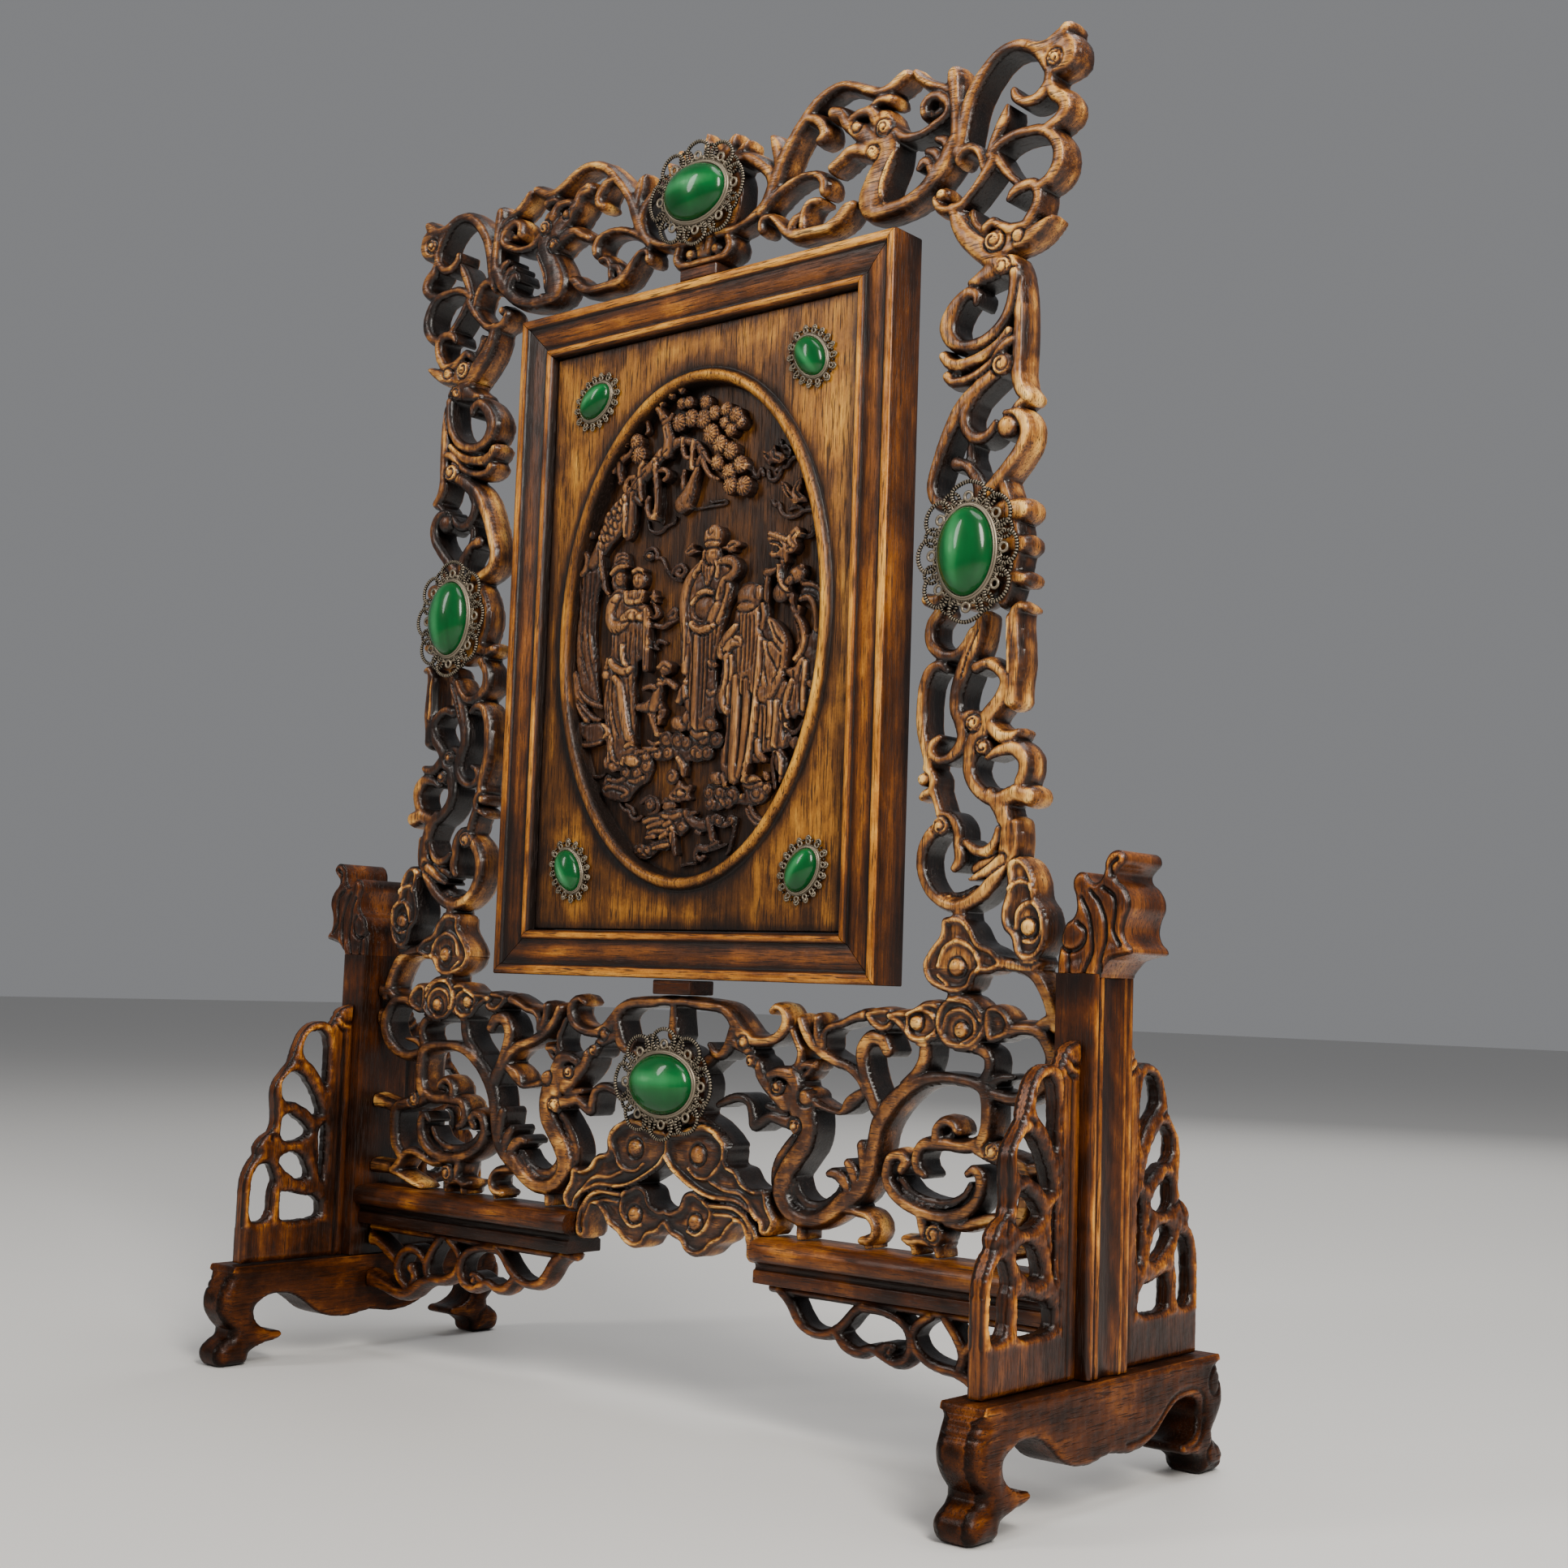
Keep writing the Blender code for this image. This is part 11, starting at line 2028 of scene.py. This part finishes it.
def big_setting(a, b):
    """Oval bezel with eight large beaded lobes laced with eight small ones."""
    at, L = oval_frame(a + 0.5, b + 0.5)
    out = []
    # bezel: plain band, then a fine beaded line at its foot
    out.append(tube([at(L * k / 72, 0.15, 0.75) for k in range(72)], 0.62, 8, True, 0.45))
    out.append(tube([at(L * k / 72, -0.2, 1.35) for k in range(72)], 0.34, 6, True, 0.62))
    out.append(rope([at(L * k / 90, 0.85, 0.5) for k in range(90)], 0.34, 0.62, True, 0.45, 3, 5))
    step = L / 8
    for k in range(8):
        c = k * step
        w = 1.0 if k % 2 == 0 else 0.97
        d = 7.0 if k % 4 == 0 else (6.6 if k % 2 == 0 else 7.1)
        lobe = [(-2.7, 0.5, 0.35), (-3.5, 1.9, 0.5), (-3.75, 3.7, 0.62), (-3.0, 5.6, 0.66), (-1.55, d - 0.35, 0.68), (0, d, 0.7)]
        pts = [at(c + t * w, n, o) for t, n, o in lobe] + [at(c - t * w, n, o) for t, n, o in reversed(lobe[:-1])]
        out.append(rope(curve3(pts, 7), 0.68, 0.86, base=0.50))
        out.append(tube(ring_path(at, c, 2.45, 1.25, 0.55), 0.46, 6, True, 0.55))
        for s in (-1, 1):
            pts = [at(c + s * t, n, 0.45) for t, n in ((1.15, 2.0), (1.7, 1.55), (2.1, 1.95), (2.35, 1.3), (2.3, 0.55))]
            out.append(tube(curve3(pts, 4), 0.38, 5, base=0.45))
        m = c + step / 2
        small = [(-1.0, 0.5, 0.1), (-1.75, 2.0, 0.12), (-2.0, 3.6, 0.16), (-1.2, 5.1, 0.2), (0, 5.6, 0.22)]
        pts = [at(m + t, n, o) for t, n, o in small] + [at(m - t, n, o) for t, n, o in reversed(small[:-1])]
        out.append(rope(curve3(pts, 6), 0.60, 0.84, base=0.38))
        pts = [at(m - 0.8, 0.7, 0.2), at(m, 2.9, 0.2), at(m + 0.8, 0.7, 0.2)]
        out.append(tube(curve3(pts, 6), 0.38, 5, base=0.4))
    return join(out)


def small_setting(a, b):
    """Oval bezel in a chain of little rings with beaded tips."""
    at, L = oval_frame(a + 0.35, b + 0.35)
    out = [tube([at(L * k / 56, 0.1, 0.55) for k in range(56)], 0.46, 8, True, 0.45),
           tube([at(L * k / 56, -0.15, 1.0) for k in range(56)], 0.24, 6, True, 0.62)]
    n = 16
    out.append(rope([at(L * k / 64, 0.62, 0.35) for k in range(64)], 0.26, 0.5, True, 0.5, 3, 5))
    for k in range(n):
        c = L * k / n
        out.append(tube(ring_path(at, c, 1.5, 0.74, 0.35, 12), 0.34, 5, True, 0.55))
        out.append(bead(at(c, 2.5, 0.35), 0.60, 0.8))
        m = c + L / n / 2
        out.append(bead(at(m, 2.05, 0.3), 0.46, 0.65))
        pts = [at(c + t, q, 0.3) for t, q in ((-0.62, 2.3), (-0.35, 2.95), (0, 3.25), (0.35, 2.95), (0.62, 2.3))]
        out.append(tube(curve3(pts, 3), 0.32, 5, base=0.55))
    return join(out)


def dome(a, b, h, rings=16, seg=72):
    """Polished oval stone: out is 0 at the girdle; the value is a painted highlight, a pale band down the stone, and
    painted shade towards the girdle.
    """
    V, tn = [(0.0, h, 0.0)], []

    def value(u, v, t):
        band = math.exp(-((u / a + 0.18) / 0.30) ** 2) * (1 - 0.75 * (v / b) ** 2)
        return 0.34 + 0.42 * band - 0.10 * t ** 4
    tn.append(value(0, 0, 0))
    for i in range(1, rings + 1):
        t = i / rings
        ang = 0.5 * math.pi * t
        rr, hh = math.sin(ang) ** 0.96, h * math.cos(ang) ** 0.92
        for k in range(seg):
            q = 2 * math.pi * k / seg
            u, v = a * rr * math.cos(q), b * rr * math.sin(q)
            V.append((u, hh, v)); tn.append(value(u, v, t))
    for k in range(seg):
        q = 2 * math.pi * k / seg
        V.append((0.985 * a * math.cos(q), -0.5, 0.985 * b * math.sin(q))); tn.append(0.25)
    V.append((0.0, -0.5, 0.0)); tn.append(0.3)
    tris = [(0, 1 + (k + 1) % seg, 1 + k) for k in range(seg)]
    for i in range(rings):
        for k in range(seg):
            p, q = 1 + i * seg + k, 1 + i * seg + (k + 1) % seg
            tris += [(p, q, q + seg), (p, q + seg, p + seg)]
    e = 1 + rings * seg
    tris += [(e + k, e + (k + 1) % seg, len(V) - 1) for k in range(seg)]
    return np.array(V), np.array(tris), np.array(tn)


def set_down(part, cx, cz, face, turn):
    """Own plane (u, out, v) to the screen; turn lifts the long axis v from level."""
    V, t, n = part
    a = math.radians(turn - 90.0)
    c, s = math.cos(a), math.sin(a)
    W = np.empty_like(V)
    W[:, 0] = cx + V[:, 0] * c - V[:, 2] * s
    W[:, 2] = cz + V[:, 0] * s + V[:, 2] * c
    W[:, 1] = face - V[:, 1]
    return W, t, n


def gems():
    big_f, big_d = big_setting(BIG[0], BIG[1]), dome(*BIG)
    sm_f, sm_d = small_setting(SMALL[0], SMALL[1]), dome(*SMALL, rings=12, seg=56)
    for tag, cx, cz, turn in GEMS:
        small = tag.startswith("corner")
        f, d, face = (sm_f, sm_d, SMALL_FACE) if small else (big_f, big_d, BIG_FACE)
        for nm, part, mat, slot_, up, ang in (("wire_setting_", f, WIRE, "setting_metal", 0.0, None),
                                              ("oval_stone_", d, STONE, "stone", 0.5, None)):
            V, t, n = set_down(part, cx, cz, face - up, turn)
            node = ("setting_" if nm[0] == "w" else "cabochon_") + tag
            ob = make_piece(nm + tag, V, t, n, mat, [node], slot_)
            fix_out(ob)
    print("piece big setting", len(big_f[1]), "small setting", len(sm_f[1]), "stone", len(big_d[1]))


BIG, SMALL = (9.0, 12.5, 6.2), (5.0, 7.0, 3.8)
BIG_FACE, SMALL_FACE = -7.0, GROUND_Y - 0.4
GEMS = [("side_right", 106.4, 247.9, 90), ("side_left", -106.4, 247.9, 90), ("top", 0.0, 373.4, 0),
        ("bottom", 0.0, 97.2, 0), ("corner_upper_left", -43.9, 314.2, 35), ("corner_upper_right", 45.9, 314.1, 130),
        ("corner_lower_left", -47.4, 162.0, 120), ("corner_lower_right", 48.6, 161.2, 55)]

# ------------------------------------------------------------------ the scene in the oval
def relief_heights(X, Z, step):
    """Height above the floor of the oval and the outline of everything raised."""
    H = np.zeros(X.shape)
    F = np.full(X.shape, -9.0)
    for kind, h, e, pts in RELIEF:
        if kind in "Tt":
            f, w, d, _ = limb_field(X, Z, pts)
            r = np.clip(d / np.maximum(w, 1e-6), 0, 1)
            top = h - np.minimum(0.95 * w + 0.1, 1.9) * (1 - np.sqrt(1 - r ** 2.2))
        elif kind == "B":
            f = plate_field(X, Z, pts)
            t = 1 - np.clip(f / e, 0, 1)
            top = h - min(0.85 * e, 0.6 * h) * (1 - np.sqrt(1 - t ** 2)) + 0.16 * ripple(X * 1.3, Z * 1.1, h)
        elif kind in "CFNSOP":
            p = pts[0]
            if kind in "NS":
                rx = rz = p[2]
                turn = 0.0
            else:
                rx, rz, turn = p[2], p[3], math.radians(p[4])
            dx, dz = X - p[0], Z - p[1]
            u = (dx * math.cos(turn) + dz * math.sin(turn))
            v = (-dx * math.sin(turn) + dz * math.cos(turn))
            r = np.hypot(u / rx, v / rz)
            near = r < 1.5
            if not near.any():
                continue
            f = (1 - r) * min(rx, rz)
            c = np.sqrt(np.maximum(1 - r ** 2, 0))
            if kind == "C":
                top = h - 0.8 * min(rx, rz) * (1 - c) * (1.0 if min(rx, rz) < 3 else 0.75)
            elif kind == "N":
                ang = np.arctan2(v, u)
                n = int(round(6 + 2.2 * rx))
                lines = 0.5 + 0.5 * np.cos(n * ang + 3 * p[0])
                f = f + 0.16 * (lines - 0.5) * np.minimum(rx, 2.0)
                top = h - 1.1 * np.clip(r, 0, 1) ** 4 - 0.85 * (1 - lines) ** 2 * smooth((r - 0.16) / 0.3) \
                    - 0.35 * np.exp(-(r / 0.2) ** 2) + 0.14 * np.sin(2.3 * p[0] + p[1])
            elif kind == "S":
                ang = np.arctan2(v, u) / (2 * math.pi) * p[4] + math.radians(p[3]) / (2 * math.pi)
                ph = (r * 1.65 - ang) % 1.0
                top = h - 0.7 * r ** 2 - 0.55 * np.exp(-((ph - 0.5) / 0.17) ** 2) * smooth((r - 0.15) / 0.2)
            elif kind == "O":
                ring = np.exp(-((r - 0.95) / 0.28) ** 2)
                H = np.where((r < 1.5) & (H > 1.0), H - h * ring + 0.18 * (r < 0.8), H)
                continue
            elif kind == "P":
                H = np.where(r < 1, H + (np.minimum(h, H) - H) * c ** 0.8, H)
                continue
            elif kind == "F":
                top = h - 0.75 * min(rx, rz) * (1 - c)
                a, b = u / rx, v / rz
                top = top + 0.16 * np.exp(-((b - 0.34) / 0.12) ** 2) * np.exp(-(a / 0.62) ** 4)
                top = top - 0.30 * (np.exp(-(((a - 0.36) / 0.20) ** 2 + ((b - 0.12) / 0.11) ** 2))
                                    + np.exp(-(((a + 0.36) / 0.20) ** 2 + ((b - 0.12) / 0.11) ** 2)))
                top = top + 0.42 * np.exp(-(a / 0.13) ** 2) * smooth((0.34 - b) / 0.3) * smooth((b + 0.26) / 0.14)
                top = top - 0.26 * np.exp(-((b + 0.48) / 0.08) ** 2) * np.exp(-(a / 0.26) ** 4)
                top = top + 0.12 * np.exp(-(((np.abs(a) - 0.5) / 0.2) ** 2 + ((b + 0.2) / 0.22) ** 2))
        elif kind in "Gg":
            f, w, d, _ = limb_field(X, Z, pts)
            r = np.clip(d / np.maximum(w * 1.25, 1e-6), 0, 1)
            H = np.where((H > 0.9) & (f > -0.4 * w), np.maximum(H - h * (1 - r ** 2), 0.4), H)
            continue
        top = np.maximum(top, 0.3)
        if kind == "t":
            H = np.where(f > 0, np.maximum(H, top), H)
        else:
            ditch = (f <= 0) & (f > -0.7) & (H > 0.8)
            H = np.where(ditch, np.maximum(H - 0.38 * (1 + f / 0.7), 0.4), H)
            H = np.where(f > 0, np.maximum(top, 0.3), H)
        F = np.maximum(F, f)
    # fill the narrow seam just outside the outline so edges stay upright
    H = np.where(F > 0, H, 0.0)
    grow = H.copy()
    for _ in range(2):
        g = grow.copy()
        for ax, s in ((0, 1), (0, -1), (1, 1), (1, -1)):
            g = np.maximum(g, np.roll(grow, s, ax))
        grow = np.where(H > 0, H, g)
    return grow, F


def relief_piece():
    step = 0.41
    a, b = OVAL_A - OVAL_BEAD, OVAL_B - OVAL_BEAD
    xs = np.arange(-a - 2 * step, a + 3 * step, step)
    zs = np.arange(OVAL_Z - b - 2 * step, OVAL_Z + b + 3 * step, step)
    X, Z = np.meshgrid(xs, zs, indexing="ij")
    H, F = relief_heights(X, Z, step)
    g = np.hypot(X / (a + 0.3), (Z - OVAL_Z) / (b + 0.3))
    rim = (1 - g) / np.maximum(np.hypot(X / (a * a), (Z - OVAL_Z) / (b * b)), 1e-6) * g
    F = np.minimum(F, rim)
    H = H + 0.09 * ripple(X * 1.6, Z * 1.4, 5.0)
    tone = wear_and_shade_of(F, 6.0 - H, step, base=0.44, span=2.0, gain=0.35, edge=0.0)
    # painted shade: the lower parts of the carving are darker than the raised ones, and its walls darken towards the
    # floor
    tone = np.clip(tone + 0.10 * (H - 2.6), 0, 1)
    walls = [0.36 + 0 * X, 0.16 + 0 * X, 0.06 + 0 * X]
    v, t, n = slab(xs, zs, F, FLOOR_Y - H, np.full(X.shape, FLOOR_Y + 0.4), tone, 0 * X, walls)
    ob = thin_back(make_piece("figures_in_the_oval", v, t, n, WOOD_R, ["relief_panel"], "relief_wood"), 0.88)
    print("piece relief", len(t), "triangles")
    return ob


FLOOR_Y = 1.0

# ------------------------------------------------------------------ making the pieces
board_piece("crest_carving", CREST + NECK, (0, 143.2), (SEAM_TOP + 0.02, 399.2), 0, WOOD_BX, ["crest_rail"],
            "carved_board_wood", seed=0.3, painted_light=(0.01, 0.10, 0.0))
for side, tag in ((1, "right"), (-1, "left")):
    board_piece("stile_carving_" + tag, STILE + NECK + CLOUDS, (84.4, 141.2), (SEAM_LOW + 0.02, SEAM_TOP - 0.02),
                side, WOOD_BZ, ["stile_" + tag], "carved_board_wood", seed=1.3 + side, painted_light=(0.0, 0.06, 0.0))
board_piece("lower_board_carving", BOARD + CLOUDS, (0, 139.0), (46.4, SEAM_LOW - 0.02), 0, WOOD_BX,
            ["lower_board"], "carved_board_wood", seed=2.3, painted_light=(-0.03, 0.06, 0.10),
            keep=lambda X, Z: np.where(np.abs(X) > RAIL_X0 - GAP, Z - 56.3, 9.0))
stout = [(kind, lev, [(x, z, 1.2 * w) for x, z, w in pts]) for kind, lev, pts in APRON]
for side, tag in ((1, "right"), (-1, "left")):
    board_piece("apron_carving_" + tag, stout, (40.0, FOOT_X0 - GAP), (16.0, 42.7), side, WOOD_X, ["apron_" + tag],
                "stand_wood", half=APRON_HALF, step=0.55, seed=3.3)
rails()
blocks()
feet()
spandrels()
posts()
panel_frame()
panel_ground()
relief_piece()
gems()

# ------------------------------------------------------------------ floor, light and camera
def stage():
    me = bpy.data.meshes.new("floor")
    me.from_pydata([(-6, -6, 0), (6, -6, 0), (6, 6, 0), (-6, 6, 0)], [], [(0, 1, 2, 3)])
    floor = bpy.data.objects.new("floor", me)
    bpy.context.scene.collection.objects.link(floor)
    mat = bpy.data.materials.new("pale_floor")
    mat.use_nodes = True
    b = mat.node_tree.nodes["Principled BSDF"]
    b.inputs["Base Color"].default_value = (0.66, 0.65, 0.63, 1)
    b.inputs["Roughness"].default_value = 0.6
    me.materials.append(mat)
    world = bpy.data.worlds.new("studio")
    bpy.context.scene.world = world
    world.use_nodes = True
    bg = world.node_tree.nodes["Background"]
    bg.inputs["Color"].default_value = (0.80, 0.81, 0.84, 1)
    bg.inputs["Strength"].default_value = 0.28

    def area(name, pos, target, size, energy, color=(1, 1, 1)):
        data = bpy.data.lights.new(name, "AREA")
        data.shape = "ELLIPSE"
        data.size, data.size_y = size
        data.energy = energy
        data.color = color
        ob = bpy.data.objects.new(name, data)
        bpy.context.scene.collection.objects.link(ob)
        ob.location = pos
        ob.rotation_euler = (Vector(target) - Vector(pos)).to_track_quat("-Z", "Y").to_euler()
    area("key_light", (-0.62, -1.05, 0.95), (0, 0, 0.2), (0.24, 0.95), 7.0, (1.0, 0.97, 0.93))
    area("side_light", (0.74, -0.42, 0.72), (0.12, 0, 0.27), (0.24, 0.70), 12.5, (1.0, 0.95, 0.88))
    area("top_light", (0.25, 0.10, 1.25), (0.05, 0, 0.2), (0.9, 0.7), 8, (1, 1, 1))
    area("back_light", (-0.35, 1.25, 0.85), (0, 0, 0.2), (0.8, 0.8), 5, (1.0, 0.98, 0.95))
    bpy.data.objects["back_light"].visible_glossy = False

    cam = bpy.data.cameras.new("camera")
    cam.sensor_width = 36.0
    cam.lens = 2569.26 / 1932 * 36.0
    cam.clip_start = 0.01
    ob = bpy.data.objects.new("camera", cam)
    bpy.context.scene.collection.objects.link(ob)
    yaw, pitch, roll = math.radians(40.0), math.radians(5.45), math.radians(1.89)
    fwd = Vector((-math.sin(yaw) * math.cos(pitch), math.cos(yaw) * math.cos(pitch), math.sin(pitch)))
    right0 = Vector((math.cos(yaw), math.sin(yaw), 0))
    up0 = right0.cross(fwd)
    right = right0 * math.cos(roll) + up0 * math.sin(roll)
    up = -right0 * math.sin(roll) + up0 * math.cos(roll)
    m = Matrix((right, up, -fwd)).transposed().to_4x4()
    m.translation = Vector((0.4313, -0.4695, 0.1286))
    ob.matrix_world = m
    bpy.context.scene.camera = ob


stage()
